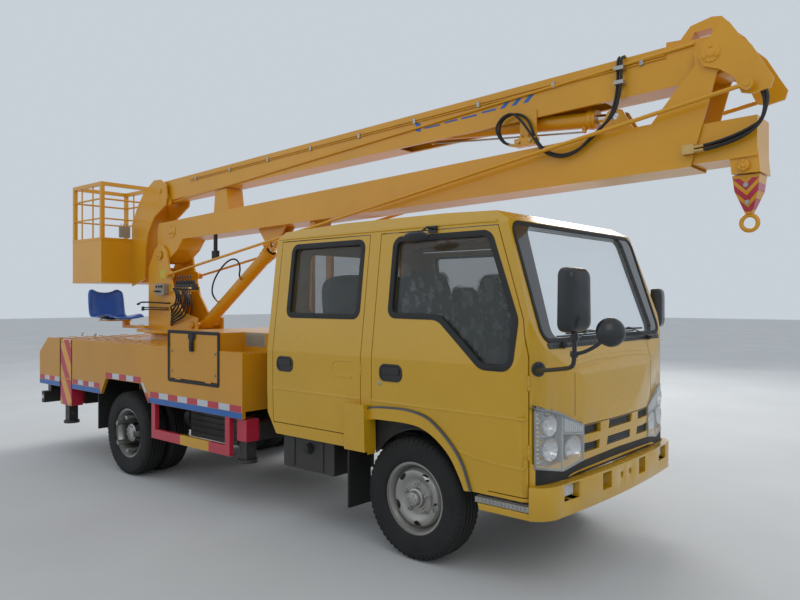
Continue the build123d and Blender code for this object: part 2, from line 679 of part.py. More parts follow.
with BuildPart() as bumper:
    with BuildSketch(Plane.XY.offset(BUMPER_LOW)):
        with BuildLine():
            end, cheek, turn = BUMPER_HALF, BUMPER_HALF - 58, BUMPER_HALF - 158
            ThreePointArc((BUMPER_END, -end), (fx(935), -cheek), (fx(965), -turn))
            ThreePointArc((fx(965), -turn), (BUMPER_NOSE, 0), (fx(965), turn))
            ThreePointArc((fx(965), turn), (fx(935), cheek), (BUMPER_END, end))
            back = [(BUMPER_END, end - BUMPER_THICK), (fx(889), end - BUMPER_THICK - 14), (fx(920), turn + 15)]
            Polyline((BUMPER_END, end), *back, (fx(935), 0), *[(x, -y) for x, y in reversed(back)],
                     (BUMPER_END, -end))
        make_face()
    extrude(amount=BUMPER_TOP - BUMPER_LOW)
    for sign in (-1, 1):
        add(block((fx(860), min(sign * 200, sign * 310), 500), (fx(1010), max(sign * 200, sign * 310), 598)),
            mode=Mode.SUBTRACT)
        add(rod((fx(860), sign * 60, 548), (fx(1010), sign * 60, 548), 20), mode=Mode.SUBTRACT)
        add(rod((fx(860), sign * FOG_LAMP_Y, 560), (fx(1010), sign * FOG_LAMP_Y, 560), 46), mode=Mode.SUBTRACT)
        # brackets back to the frame rails
        add(block((RAIL_FRONT + SEAT_GAP, min(sign * 345, sign * 395), 530),
                  (fx(940), max(sign * 345, sign * 395), 590)))
save(bumper.part, "bumper_front")

with BuildPart() as grille:
    add(block((fx(870), -GRILLE_HALF - 2, 722), (fx(945), GRILLE_HALF + 2, 900)))
    add(liner, mode=Mode.INTERSECT)
save(grille.part, "grille")

with BuildPart() as lamps:
    for sign in (-1, 1):
        lamp_outline = [(sign * y, z) for y, z in LAMP]
        add((outer - cab_volume(LAMP_DEPTH)).intersect(across(lamp_outline, LAMP_REAR, fx(1000))))
        add(rod((fx(935), sign * FOG_LAMP_Y, 560), (fx(966), sign * FOG_LAMP_Y, 560), 45.7))
save(lamps.part, "lamps_front")


# Mirrors on their arms: the right one on the nose corner, the left one on its door

MIRROR_REACH = CAB_HALF + 260
MIRROR_WIDTH = 170.0
MIRROR_THICK = 40.0
MIRROR_POST_Y = MIRROR_REACH - MIRROR_WIDTH / 2
ROUND_MIRROR_Y = MIRROR_REACH - 120
with BuildPart() as mirror_right:
    add(square_tube((fx(850), 70 - CAB_HALF, 1235), (fx(1215), 5 - MIRROR_POST_Y, 1290), 24))
    add(outer.moved(Location((SEAT_GAP, -SEAT_GAP, 0))), mode=Mode.SUBTRACT)
    add(rod((fx(1215), -MIRROR_POST_Y, 1280), (fx(1215), -MIRROR_POST_Y, 1460), 11))
    add(block((fx(1215) - MIRROR_THICK / 2, -MIRROR_REACH, 1450),
              (fx(1215) + MIRROR_THICK / 2, MIRROR_WIDTH - MIRROR_REACH, 1760)))
    add(rod((fx(1215), -MIRROR_POST_Y, 1300), (fx(1405), -ROUND_MIRROR_Y, 1390), 9))
    add(rod((fx(1405), -ROUND_MIRROR_Y, 1385), (fx(1405), -ROUND_MIRROR_Y, 1450), 9))
    add(rod((fx(1395), -ROUND_MIRROR_Y, 1450), (fx(1430), -ROUND_MIRROR_Y, 1440), 82))
save(mirror_right.part, "mirror_right")

with BuildPart() as mirror_left:
    add(square_tube((fx(800), CAB_HALF - 60, 1320), (fx(760), MIRROR_POST_Y, 1340), 24))
    add(outer.moved(Location((0, SEAT_GAP, 0))), mode=Mode.SUBTRACT)
    add(rod((fx(760), MIRROR_POST_Y, 1325), (fx(760), MIRROR_POST_Y, 1420), 11))
    add(block((fx(762) - MIRROR_THICK / 2, MIRROR_REACH - MIRROR_WIDTH, 1400),
              (fx(762) + MIRROR_THICK / 2, MIRROR_REACH, 1690)))
save(mirror_left.part, "mirror_left")


# Inside the cab

SEAT_FRAME = 30.0
SEATS = {"driver": (440, 0, 480), "passenger": (-440, 0, 480), "middle": (0, 0, 300),
         "bench": (0, -870, 2 * CAB_HALF - 340)}
with BuildPart() as seats:
    for y, back_x, width in SEATS.values():
        x = fx(back_x + (-160 if back_x == 0 else 0))
        with BuildSketch(Plane.XZ.offset(-(y - width / 2))):
            with BuildLine():
                Polyline((x + 480, CAB_FLOOR_TOP + SEAT_GAP), (x + 500, 1190), (x + 130, 1210), (x + 20, 1800),
                         (x - 90, 1790), (x - 20, 1180), (x + 20, CAB_FLOOR_TOP + SEAT_GAP), close=True)
            make_face()
        extrude(amount=-width)
        # open box under the cushion
        add(block((x + 50, y - width / 2 + SEAT_FRAME, CAB_FLOOR_TOP - 1),
                  (x + 450, y + width / 2 - SEAT_FRAME, 1110)), mode=Mode.SUBTRACT)
save(seats.part, "seats")

WHEEL_CENTRE = (fx(430), 440.0, 1420.0)
DASH_HALF = CAB_HALF - 120
with BuildPart() as cab_interior:
    with BuildSketch(Plane.XZ.offset(DASH_HALF)):
        with BuildLine():
            Polyline((fx(920), 910), (fx(920), 1250), (fx(790), 1330), (fx(560), 1330), (fx(520), 1240),
                     (fx(600), 1150), (fx(640), 910), close=True)
        make_face()
    extrude(amount=-2 * DASH_HALF)
    add(liner, mode=Mode.INTERSECT)
    add(rod((fx(600), 440, 1180), WHEEL_CENTRE, 28))
    with BuildSketch(Plane(origin=WHEEL_CENTRE, z_dir=(-170, 0, 240), x_dir=(0, 1, 0))):
        Circle(200)
        Circle(176, mode=Mode.SUBTRACT)
        Rectangle(360, 40)
        Circle(45)
    extrude(amount=12, both=True)
save(cab_interior.part, "cab_interior")

with BuildPart() as driveline:
    # engine and gearbox as one plain block, hung between the rails, and the shaft to the rear axle
    add(block((fx(-560), -300, 440), (fx(420), 300, 850)))
    add(block((fx(-1180), -150, 450), (fx(-560), 150, 690)))
    add(rod((fx(-1180), 0, 476), (REAR_AXLE_X + 153, 0, AXLE_Z + 12), 38))
    for sign in (-1, 1):
        add(block((fx(-200), min(sign * 298, sign * (RAIL_Y + RAIL_WIDTH / 2 - RAIL_WALL - SEAT_GAP)), 540),
                  (fx(-120), max(sign * 298, sign * (RAIL_Y + RAIL_WIDTH / 2 - RAIL_WALL - SEAT_GAP)), 640)))
save(driveline.part, "driveline")


# Bed: deck plate on two bearers, skirts with trapezoid wheel arches, a sloped tail and the locker box

ARCH_FEET = (fx(-3810), fx(-2940))
ARCH_CROWN = (fx(-3710), fx(-3060))
ARCH_CROWN_Z = 862.0
LOCKER_FRONT = fx(-1890)
LOCKER_REAR = fx(-2585)
LOCKER_TOP = 1345.0
LOCKER_LOW = 940.0
LOCKER_DEPTH = 330.0
LID_THICK = 24.0
LID_GAP = 6.0             # lid to its frame, all round
LID_HINGE_X = (LOCKER_REAR + 130, LOCKER_FRONT - 130)
LID_HINGE_Z = LOCKER_LOW + 6 + LID_GAP / 2
SLEW_RING_RADIUS = 330.0
SLEW_TOP = 1262.0
REAR_HOUSE_HALF = HOUSING_LENGTH["rear"] / 2
TAIL_SKIRT = [
    (BED_FRONT, BED_BOTTOM), (BED_FRONT, BED_TOP), (fx(-4990), BED_TOP), (BED_REAR, 1046),
    (BED_REAR, BED_BOTTOM), (ARCH_FEET[0], BED_BOTTOM), (ARCH_CROWN[0], ARCH_CROWN_Z),
    (ARCH_CROWN[1], ARCH_CROWN_Z), (ARCH_FEET[1], BED_BOTTOM),
]
with BuildPart() as bed:
    for part in plate_pair(TAIL_SKIRT, BED_HALF - BED_SKIN, BED_SKIN):
        add(part)
    add(block((fx(-4990), -BED_HALF + 1, DECK_Z - DECK_THICK), (BED_FRONT, BED_HALF - 1, DECK_Z)))
    # tail: the slope and the upright below it
    tail = [(fx(-4990), DECK_Z - DECK_THICK), (fx(-4990), DECK_Z), (BED_REAR + 4, 1046 - 4), (BED_REAR + 4, 820),
            (BED_REAR + 24, 820), (BED_REAR + 24, 1034)]
    add(plate(tail, -BED_HALF + 1, 2 * BED_HALF - 2))
    # front wall and the bearers that stand on the rails
    add(block((BED_FRONT - 20, -BED_HALF + 1, 760), (BED_FRONT, BED_HALF - 1, DECK_Z - 1)))
    for part in block_pair((fx(-5100), RAIL_Y - 30, RAIL_TOP + SEAT_GAP), (BED_FRONT - 1, RAIL_Y + 30,
                           DECK_Z - DECK_THICK + 1)):
        add(part)
    # the rear leg housings stand in a slot of the skirts
    for part in block_pair((OUTRIGGER_X["rear"] - REAR_HOUSE_HALF - 8, BED_HALF - 190, 400),
                           (OUTRIGGER_X["rear"] + REAR_HOUSE_HALF + 8, BED_HALF + 10, 1300)):
        add(part, mode=Mode.SUBTRACT)
    # locker box across the bed, open to each side behind its lid, and its narrower run to the cab
    add(block((LOCKER_REAR, -BED_HALF, LOCKER_LOW), (LOCKER_FRONT, BED_HALF, LOCKER_TOP)))
    add(block((LOCKER_FRONT - 1, -700, DECK_Z - 1), (fx(-1420), 700, LOCKER_TOP)))
    for part in block_pair((LOCKER_REAR + 25, BED_HALF - LOCKER_DEPTH, LOCKER_LOW + 25),
                           (LOCKER_FRONT - 25, BED_HALF + 10, LOCKER_TOP - 25)):
        add(part, mode=Mode.SUBTRACT)
    for part in block_pair((LOCKER_REAR + 6, BED_HALF - LID_THICK - 1, LOCKER_LOW + 6),
                           (LOCKER_FRONT - 6, BED_HALF + 10, LOCKER_TOP - 6)):
        add(part, mode=Mode.SUBTRACT)
    for x in LID_HINGE_X:
        for sign in (-1, 1):
            add_hinge_carrier((x, sign * BED_HALF, LID_HINGE_Z), (1, 0, 0))
    # ring that the turret turns on
    add(rod((SLEW_X, 0, DECK_Z - 1), (SLEW_X, 0, SLEW_TOP), SLEW_RING_RADIUS))
save(bed.part, "bed")

for side, sign in WHEEL_SIDES.items():
    with BuildPart() as lid:
        y = (sign * (BED_HALF - LID_THICK), sign * BED_HALF)
        add(block((LOCKER_REAR + 6 + LID_GAP, min(y), LOCKER_LOW + 6 + LID_GAP),
                  (LOCKER_FRONT - 6 - LID_GAP, max(y), LOCKER_TOP - 6 - LID_GAP)))
        for x in LID_HINGE_X:
            add_hinge_turner((x, sign * BED_HALF, LID_HINGE_Z), (1, 0, 0))
    save(lid.part, f"locker_lid_{side}")


# Guards, mudguards and tanks under the bed

with BuildPart() as guards:
    for sign in (-1, 1):
        y = (sign * (BED_HALF - 50), sign * (BED_HALF - 10))
        add(block((fx(-2900), min(y), 400), (fx(-2840), max(y), BED_BOTTOM - SEAT_GAP)))
        add(block((fx(-1815), min(y), 400), (fx(-1755), max(y), BED_BOTTOM - SEAT_GAP)))
        add(block((fx(-2900), min(y), 400), (fx(-1755), max(y), 480)))
    add(block((fx(-5310), 70 - BED_HALF, 480), (fx(-5250), BED_HALF - 70, 600)))
    for sign in (-1, 1):
        y = (sign * (RAIL_Y - 20), sign * (RAIL_Y + 20))
        add(block((fx(-5251), min(y), 490), (RAIL_REAR - SEAT_GAP, max(y), 590)))
save(guards.part, "guards")

with BuildPart() as mudguards:
    for sign in (-1, 1):
        y = (sign * (BED_HALF - 450), sign * (BED_HALF - BED_SKIN - SEAT_GAP))
        add(block((fx(-3925), min(y), 355), (fx(-3910), max(y), DECK_Z - DECK_THICK - SEAT_GAP)))
        y = (sign * (CAB_HALF - 280), sign * (CAB_HALF - 70))
        add(block((fx(-560), min(sign * (RAIL_Y + RAIL_WIDTH / 2 + SEAT_GAP), y[0]), 600),
                  (fx(-545), max(sign * (RAIL_Y + RAIL_WIDTH / 2 + SEAT_GAP), y[0] + sign), 640)))
        add(block((fx(-560), min(y), 220), (fx(-545), max(y), CAB_FLOOR_TOP - CAB_FLOOR_THICK - SEAT_GAP)))
save(mudguards.part, "mudguards")

with BuildPart() as tanks:
    for sign, x0, x1 in ((-1, -1230, -700), (1, -2700, -1860)):
        y = (sign * (RAIL_Y + RAIL_WIDTH / 2 + 40), sign * (BED_HALF - 110))
        add(block((fx(x0), min(y), 400), (fx(x1), max(y), 630)))
        y = (sign * (RAIL_Y + RAIL_WIDTH / 2 + SEAT_GAP), sign * (RAIL_Y + RAIL_WIDTH / 2 + 41))
        for x in (x0 + 80, x1 - 130):
            add(block((fx(x), min(y), 440), (fx(x + 50), max(y), 630)))
save(tanks.part, "tanks")

BOOM_REST_X = fx(-1750)
BOOM_REST_TOP = 2150.0
with BuildPart() as boom_rest:
    for part in block_pair((BOOM_REST_X - 30, 90, LOCKER_TOP + SEAT_GAP),
                           (BOOM_REST_X + 30, 130, BOOM_REST_TOP - 59)):
        add(part)
    add(block((BOOM_REST_X - 40, -150, BOOM_REST_TOP - 60), (BOOM_REST_X + 40, 150, BOOM_REST_TOP - 25)))
    add(block((BOOM_REST_X - 35, -120, BOOM_REST_TOP - 26), (BOOM_REST_X + 35, 120, BOOM_REST_TOP)))
save(boom_rest.part, "boom_rest")

# Turret: a round foot, two side plates that fork round the lower boom's root, and a back plate

TURRET_INNER = LOWER_HALF + MOVE_GAP
ROD_PIN_RADIUS = 16.0
ROD_INNER_Y = 188.0       # inner face of a level rod's eye
ROD_EYE_THICK = 24.0
ROD_STUB_END = ROD_INNER_Y + ROD_EYE_THICK + 6
TURRET_SIDE = [
    (fx(-4330), 1290), (fx(-4330), 1960), (fx(-4200), 2150), (fx(-4130), 2190), (fx(-4040), 2185),
    (fx(-3960), 2110), (fx(-3930), 1960), (fx(-3820), 1660), (fx(-3660), 1470), (fx(-3400), 1420),
    (fx(-3400), 1290),
]
with BuildPart() as turret:
    add(rod((SLEW_X, 0, SLEW_TOP + SEAT_GAP), (SLEW_X, 0, 1292), 400))
    add(block((fx(-4330), -300, SLEW_TOP + SEAT_GAP), (fx(-3400), 300, 1292)))
    bores = [(*LUFF_PIN, PIN_RADIUS - 1), (*LIFT_FOOT, PIN_RADIUS - 1)]
    for part in plate_pair(TURRET_SIDE, TURRET_INNER, TURRET_PLATE_THICK, bores):
        add(part)
    add(block((fx(-4330), -TURRET_INNER - 1, 1290), (fx(-4310), TURRET_INNER + 1, 1960)))
    add(cross_pin(LUFF_PIN, PIN_RADIUS, TURRET_INNER + TURRET_PLATE_THICK + 12))
    add(cross_pin(LIFT_FOOT, PIN_RADIUS, TURRET_INNER + TURRET_PLATE_THICK + 12))
    # stubs for the level rods, on round bosses at the plates' front edges
    x, z = LUFF_PIN[0] + ROD_OFFSET[0], LUFF_PIN[1] + ROD_OFFSET[1]
    for sign in (-1, 1):
        add(rod((x, sign * TURRET_INNER, z), (x, sign * (TURRET_INNER + TURRET_PLATE_THICK), z), 46))
        add(rod((x, sign * TURRET_INNER, z), (x, sign * ROD_STUB_END, z), ROD_PIN_RADIUS))
save(turret.part, "turret")

SEAT_X = fx(-4600)
with BuildPart() as operator_seat:
    with BuildSketch(Plane.XZ.offset(180)):
        with BuildLine():
            Polyline((SEAT_X + 230, 1395), (SEAT_X + 240, 1420), (SEAT_X - 180, 1400), (SEAT_X - 250, 1700),
                     (SEAT_X - 285, 1695), (SEAT_X - 215, 1365), close=True)
        make_face()
    extrude(amount=420)
    # post and foot on the turret's base plate
    add(block((SEAT_X - 60, -290, 1292 + SEAT_GAP), (SEAT_X, -230, 1395)))
    add(block((SEAT_X - 60, -290, 1292 + SEAT_GAP), (fx(-4200), -230, 1332)))
save(operator_seat.part, "operator_seat")


# Lower boom: a hollow box with its root eye, the upright that carries the elbow, and its brackets

LOWER_TOP = [(fx(-4165), 2428), (fx(960), 2612)]
LOWER_LOW = [(fx(-3900), 2232), (fx(1428), 2347)]
UPRIGHT = [
    (fx(900), 2400), (fx(940), 2590), (fx(1000), 2620), (fx(1060), 2600), (fx(1130), 2590), (fx(1200), 2612),
    (fx(1340), 2780), (fx(1452), 2905), (fx(1450), 2985), (fx(1500), 3035), (fx(1570), 3042), (fx(1630), 2995),
    (fx(1640), 2930), (fx(1570), 2845), (fx(1428), 2347), (fx(1380), 2350),
]
ROOT = [
    (fx(-4190), 2330), (fx(-4165), 2428), (fx(-3700), 2444), (fx(-3700), 2236), (fx(-3800), 2130),
    (fx(-4020), 2005), (fx(-4090), 1990), (fx(-4160), 2015), (fx(-4188), 2080),
]
LUG_IN = 42.0
LUG_THICK = 16.0


def boom_top(x):
    """Height of the lower boom's top at x."""
    (x0, z0), (x1, z1) = LOWER_TOP
    return z0 + (z1 - z0) * (x - x0) / (x1 - x0)


def boom_low(x):
    """Height of the lower boom's underside at x."""
    (x0, z0), (x1, z1) = LOWER_LOW
    return z0 + (z1 - z0) * (x - x0) / (x1 - x0)


# Upper boom, above the lower one: its two edges as lines
UPPER_TOP = [(fx(-4255), 2870), (fx(1545), 3068)]
UPPER_LOW = [(fx(-4255), 2664), (fx(1400), 2826)]


def line_z(line, x):
    (x0, z0), (x1, z1) = line
    return z0 + (z1 - z0) * (x - x0) / (x1 - x0)


CRADLE = (fx(-3205), fx(-2985))
JIB_LIFT = LOWER_SKIN + 5  # jib's underside above the boom's
with BuildPart() as lower_boom:
    section = [LOWER_TOP[0], LOWER_TOP[1], (fx(1330), boom_top(fx(1330))), LOWER_LOW[1], LOWER_LOW[0],
               (fx(-4165), 2300)]
    add(plate(section, -LOWER_HALF, 2 * LOWER_HALF))
    add(plate(ROOT, -LOWER_HALF, 2 * LOWER_HALF))
    mouth = fx(1500)
    inside = [
        (fx(-3700), boom_low(fx(-3700)) + LOWER_SKIN), (fx(-3700), boom_top(fx(-3700)) - LOWER_SKIN),
        (mouth, boom_top(mouth) - LOWER_SKIN), (mouth, boom_low(mouth) + LOWER_SKIN),
    ]
    add(plate(inside, -LOWER_HALF + LOWER_SKIN, 2 * (LOWER_HALF - LOWER_SKIN)), mode=Mode.SUBTRACT)
    for part in plate_pair(UPRIGHT, LOWER_HALF - LOWER_SKIN, LOWER_SKIN):
        add(part)
    add(cross_pin(LUFF_PIN, PIN_RADIUS + PIN_GAP, LOWER_HALF + 20), mode=Mode.SUBTRACT)
    add(cross_pin(ELBOW_PIN, PIN_RADIUS + PIN_GAP, LOWER_HALF + 20), mode=Mode.SUBTRACT)
    # lugs for the lift cylinder below, for the fold cylinder above
    x, z = LIFT_EYE
    lug = [(x - 190, boom_low(x - 190) + 2), (x + 200, boom_low(x + 200) + 2), (x + 45, z - 30),
           (x, z - 48), (x - 45, z - 30)]
    for part in plate_pair(lug, LUG_IN, LUG_THICK, [(x, z, PIN_RADIUS)]):
        add(part)
    x, z = FOLD_EYE
    lug = [(x - 130, boom_top(x - 130) - 2), (x + 130, boom_top(x + 130) - 2), (x + 45, z + 30),
           (x, z + 45), (x - 45, z + 30)]
    for part in plate_pair(lug, LUG_IN, LUG_THICK, [(x, z, PIN_RADIUS)]):
        add(part)
    # cradle that the upper boom lies on
    rear, front = CRADLE
    cradle = [(rear, boom_top(rear) - 3), (rear + 25, line_z(UPPER_LOW, rear + 25) - MOVE_GAP),
              (front - 10, line_z(UPPER_LOW, front - 10) - MOVE_GAP), (front + 25, boom_top(front) - 3)]
    add(plate(cradle, -95, 190))
    # wear pad under the jib, in the boom's mouth
    pad = [(x, boom_low(x) + up) for x, up in (
        (fx(1300), LOWER_SKIN - 1), (fx(1380), LOWER_SKIN - 1), (fx(1380), JIB_LIFT - SEAT_GAP),
        (fx(1300), JIB_LIFT - SEAT_GAP))]
    add(plate(pad, -80, 160))
    # pad that comes down on the boom rest
    add(block((BOOM_REST_X - 30, -95, BOOM_REST_TOP + MOVE_GAP),
              (BOOM_REST_X + 30, 95, boom_low(BOOM_REST_X - 30) + 2)))
save(lower_boom.part, "lower_boom")


# Cylinders: a barrel with its gland and eye, and a rod with piston and eye, both along one line

def barrel(foot, eye, radius, wall, rod_radius, length, eye_width):
    """A barrel from its foot towards the eye, bored for the rod, its foot bored for the pin."""
    dx, dz, _ = ahead(foot, eye)
    with BuildPart() as piece:
        with BuildSketch(Plane(origin=(foot[0], 0, foot[1]), x_dir=(dx, 0, dz), z_dir=(-dz, 0, dx))):
            with BuildLine():
                Polyline((40, 0), (40, radius), (length - 60, radius), (length - 60, radius + 7),
                         (length, radius + 7), (length, rod_radius + PIN_GAP), (length - 60, rod_radius + PIN_GAP),
                         (length - 60, radius - wall), (90, radius - wall), (90, 0), close=True)
            make_face()
        revolve(axis=Axis((foot[0], 0, foot[1]), (dx, 0, dz)))
        add(cross_pin(foot, 44, eye_width / 2))
        add(cross_pin(foot, PIN_RADIUS + PIN_GAP, eye_width), mode=Mode.SUBTRACT)
    return piece.part


def piston_rod(foot, eye, bore_radius, rod_radius, piston_at, eye_width):
    """The rod from its piston, piston_at along from the foot, out to the eye."""
    dx, dz, length = ahead(foot, eye)
    with BuildPart() as piece:
        with BuildSketch(Plane(origin=(foot[0], 0, foot[1]), x_dir=(dx, 0, dz), z_dir=(-dz, 0, dx))):
            with BuildLine():
                Polyline((piston_at, 0), (piston_at, bore_radius), (piston_at + 40, bore_radius),
                         (piston_at + 40, rod_radius), (length - 25, rod_radius), (length - 25, 0), close=True)
            make_face()
        revolve(axis=Axis((foot[0], 0, foot[1]), (dx, 0, dz)))
        add(cross_pin(eye, 42, eye_width / 2))
        add(cross_pin(eye, PIN_RADIUS, eye_width), mode=Mode.SUBTRACT)
    return piece.part


EYE_WIDTH = 2 * LUG_IN - 14
with BuildPart() as lift_barrel:
    add(barrel(LIFT_FOOT, LIFT_EYE, 60, 10, 34, 1230, 110))
save(lift_barrel.part, "lift_barrel")
with BuildPart() as lift_rod:
    add(piston_rod(LIFT_FOOT, LIFT_EYE, 60 - 10 - PIN_GAP, 34, 100, EYE_WIDTH))
save(lift_rod.part, "lift_rod")
with BuildPart() as fold_barrel:
    add(barrel(FOLD_FOOT, FOLD_EYE, 52, 9, 28, 1420, 110))
save(fold_barrel.part, "fold_barrel")
with BuildPart() as fold_rod:
    add(piston_rod(FOLD_FOOT, FOLD_EYE, 52 - 9 - PIN_GAP, 28, 100, EYE_WIDTH))
save(fold_rod.part, "fold_rod")


# Jib: the inner section that slides out of the lower boom's mouth, and the hook under its head

JIB_REAR = fx(-1080)
JIB_NOSE = fx(1768)
JIB_DEPTH = 215.0
HEAD_REAR = fx(1622)
HEAD_LOW = 2285.0
HOOK_X = fx(1700)
HOOK_SHANK = 18.0
with BuildPart() as jib:
    jib_side = [(x, boom_low(x) + JIB_LIFT + up) for x, up in (
        (JIB_REAR, 0), (JIB_NOSE, 0), (JIB_NOSE, JIB_DEPTH), (JIB_REAR, JIB_DEPTH))]
    add(plate(jib_side, -JIB_HALF, 2 * JIB_HALF))
    hollow_side = [(x, boom_low(x) + JIB_LIFT + up) for x, up in (
        (JIB_REAR - 10, JIB_SKIN), (HEAD_REAR, JIB_SKIN), (HEAD_REAR, JIB_DEPTH - JIB_SKIN),
        (JIB_REAR - 10, JIB_DEPTH - JIB_SKIN))]
    add(plate(hollow_side, -JIB_HALF + JIB_SKIN, 2 * (JIB_HALF - JIB_SKIN)), mode=Mode.SUBTRACT)
    head = [(HEAD_REAR, boom_low(HEAD_REAR) + 60), (JIB_NOSE, boom_low(JIB_NOSE) + 60), (JIB_NOSE + 12, HEAD_LOW),
            (HEAD_REAR + 14, HEAD_LOW)]
    add(plate(head, -105, 210))
    add(rod((HOOK_X, 0, HEAD_LOW - 1), (HOOK_X, 0, HEAD_LOW + 60), HOOK_SHANK + PIN_GAP), mode=Mode.SUBTRACT)
save(jib.part, "jib")

HOOK_RING_Z = 2026.0
with BuildPart() as hook:
    with BuildSketch(Plane.XY.offset(HEAD_LOW - MOVE_GAP)):
        with Locations((HOOK_X, 0)):
            Rectangle(138, 150)
    with BuildSketch(Plane.XY.offset(HEAD_LOW - 90)):
        with Locations((HOOK_X, 0)):
            Rectangle(120, 130)
    with BuildSketch(Plane.XY.offset(HOOK_RING_Z + 48)):
        with Locations((HOOK_X, 0)):
            Rectangle(34, 36)
    loft(ruled=True)
    add(rod((HOOK_X, 0, HEAD_LOW - 30), (HOOK_X, 0, HEAD_LOW + 50), HOOK_SHANK))
    with Locations(Location((HOOK_X, 0, HOOK_RING_Z), (90, 0, 0))):
        Torus(42, 12)
save(hook.part, "hook")


# Elbow: plates that stay level beside the uprights, on the pin that also carries the upper boom

ELBOW_INNER = LOWER_HALF + MOVE_GAP
ELBOW_SIDE = [
    (fx(1594), 3140), (fx(1640), 3095), (fx(1702), 2998), (fx(1749), 2950), (fx(1821), 2817), (fx(1857), 2754),
    (fx(1842), 2706), (fx(1753), 2690), (fx(1700), 2705), (fx(1660), 2800), (fx(1586), 2855), (fx(1505), 2887),
    (fx(1478), 2941), (fx(1500), 3010), (fx(1586), 3084),
]
level_pin = (ELBOW_PIN[0] + ROD_OFFSET[0], ELBOW_PIN[1] + ROD_OFFSET[1])
turret_pin = (LUFF_PIN[0] + ROD_OFFSET[0], LUFF_PIN[1] + ROD_OFFSET[1])
with BuildPart() as elbow_plates:
    for part in plate_pair(ELBOW_SIDE, ELBOW_INNER, ELBOW_PLATE_THICK):
        add(part)
    add(cross_pin(ELBOW_PIN, PIN_RADIUS, ELBOW_INNER + ELBOW_PLATE_THICK + 10))
    for sign in (-1, 1):
        x, z = level_pin
        add(rod((x, sign * ELBOW_INNER, z), (x, sign * ROD_STUB_END, z), ROD_PIN_RADIUS))
save(elbow_plates.part, "elbow_plates")

LEVEL_ROD_RADIUS = 12.0
with BuildPart() as level_rods:
    for sign in (-1, 1):
        y = sign * (ROD_INNER_Y + ROD_EYE_THICK / 2)
        (x0, z0), (x1, z1) = turret_pin, level_pin
        add(rod((x0, y, z0), (x1, y, z1), LEVEL_ROD_RADIUS))
        for x, z in (turret_pin, level_pin):
            inner, outer_y = sign * ROD_INNER_Y, sign * (ROD_INNER_Y + ROD_EYE_THICK)
            add(rod((x, inner, z), (x, outer_y, z), 32))
            add(rod((x, inner - sign, z), (x, outer_y + sign, z), ROD_PIN_RADIUS + PIN_GAP), mode=Mode.SUBTRACT)
save(level_rods.part, "level_rods")


# Upper boom: a box from the elbow's eye back to the basket pin, slotted below for the fold cylinder

ELBOW_EYE_RADIUS = 112.0
TIP_ROD_RADIUS = 9.0
TIP_ROD_REAR = (fx(-3900), 2640)
TIP_ROD_FRONT = (fx(1440), 3040)
GOOSENECK = [
    (fx(1262), 3040), (fx(1262), 3103), (fx(1345), 3098), (fx(1401), 3164), (fx(1516), 3188), (fx(1572), 3178),
    (fx(1560), 3020), (fx(1520), 3020), (fx(1520), 3125), (fx(1420), 3121), (fx(1380), 3040),
]
with BuildPart() as upper_boom:
    box = UPPER_LOW + [(fx(1500), 2848), (fx(1545), 2840), UPPER_TOP[1], UPPER_TOP[0]]
    add(plate(box, -UPPER_HALF, 2 * UPPER_HALF))
    add(cross_pin(ELBOW_PIN, ELBOW_EYE_RADIUS, UPPER_HALF))
    inside = [(x, line_z(line, x) + up) for line, x, up in (
        (UPPER_LOW, fx(-4030), UPPER_SKIN), (UPPER_LOW, fx(1360), UPPER_SKIN),
        (UPPER_TOP, fx(1360), -UPPER_SKIN), (UPPER_TOP, fx(-4030), -UPPER_SKIN))]
    add(plate(inside, -UPPER_HALF + UPPER_SKIN, 2 * (UPPER_HALF - UPPER_SKIN)), mode=Mode.SUBTRACT)
    add(block((fx(-780), -75, 2600), (fx(900), 75, 2860)), mode=Mode.SUBTRACT)
    add(plate(GOOSENECK, -50, 100))
    add(cross_pin(ELBOW_PIN, PIN_RADIUS + PIN_GAP, UPPER_HALF + 5), mode=Mode.SUBTRACT)
    add(cross_pin(FOLD_FOOT, PIN_RADIUS, UPPER_HALF - 1))
    add(cross_pin(BASKET_PIN, PIN_RADIUS, FORK_INNER + FORK_THICK + 12))
    # upper level rod, clamped along the boom's right side
    y = -UPPER_HALF - TIP_ROD_RADIUS + 1
    add(rod((TIP_ROD_REAR[0], y, TIP_ROD_REAR[1]), (TIP_ROD_FRONT[0], y, TIP_ROD_FRONT[1]), TIP_ROD_RADIUS))
save(upper_boom.part, "upper_boom")


# Tip lever: a single plate on the basket pin, beside the boom

LEVER_INNER = UPPER_HALF + MOVE_GAP
LEVER_END = (BASKET_PIN[0] + 128, BASKET_PIN[1] - 132)
with BuildPart() as tip_lever:
    dx, dz, length = ahead(BASKET_PIN, LEVER_END)
    link = [(BASKET_PIN[0] - dz * 55, BASKET_PIN[1] + dx * 55), (BASKET_PIN[0] + dz * 55, BASKET_PIN[1] - dx * 55),
            (LEVER_END[0] + dz * 30, LEVER_END[1] - dx * 30), (LEVER_END[0] - dz * 30, LEVER_END[1] + dx * 30)]
    add(plate(link, -LEVER_INNER - LEVER_THICK, LEVER_THICK))
    for (x, z), radius in ((BASKET_PIN, 55), (LEVER_END, 30)):
        add(rod((x, -LEVER_INNER - LEVER_THICK, z), (x, -LEVER_INNER, z), radius))
    add(cross_pin(BASKET_PIN, PIN_RADIUS + PIN_GAP, 200), mode=Mode.SUBTRACT)
save(tip_lever.part, "tip_lever")


# Basket: the bent arm forks round the boom's tip, the cage hangs behind it

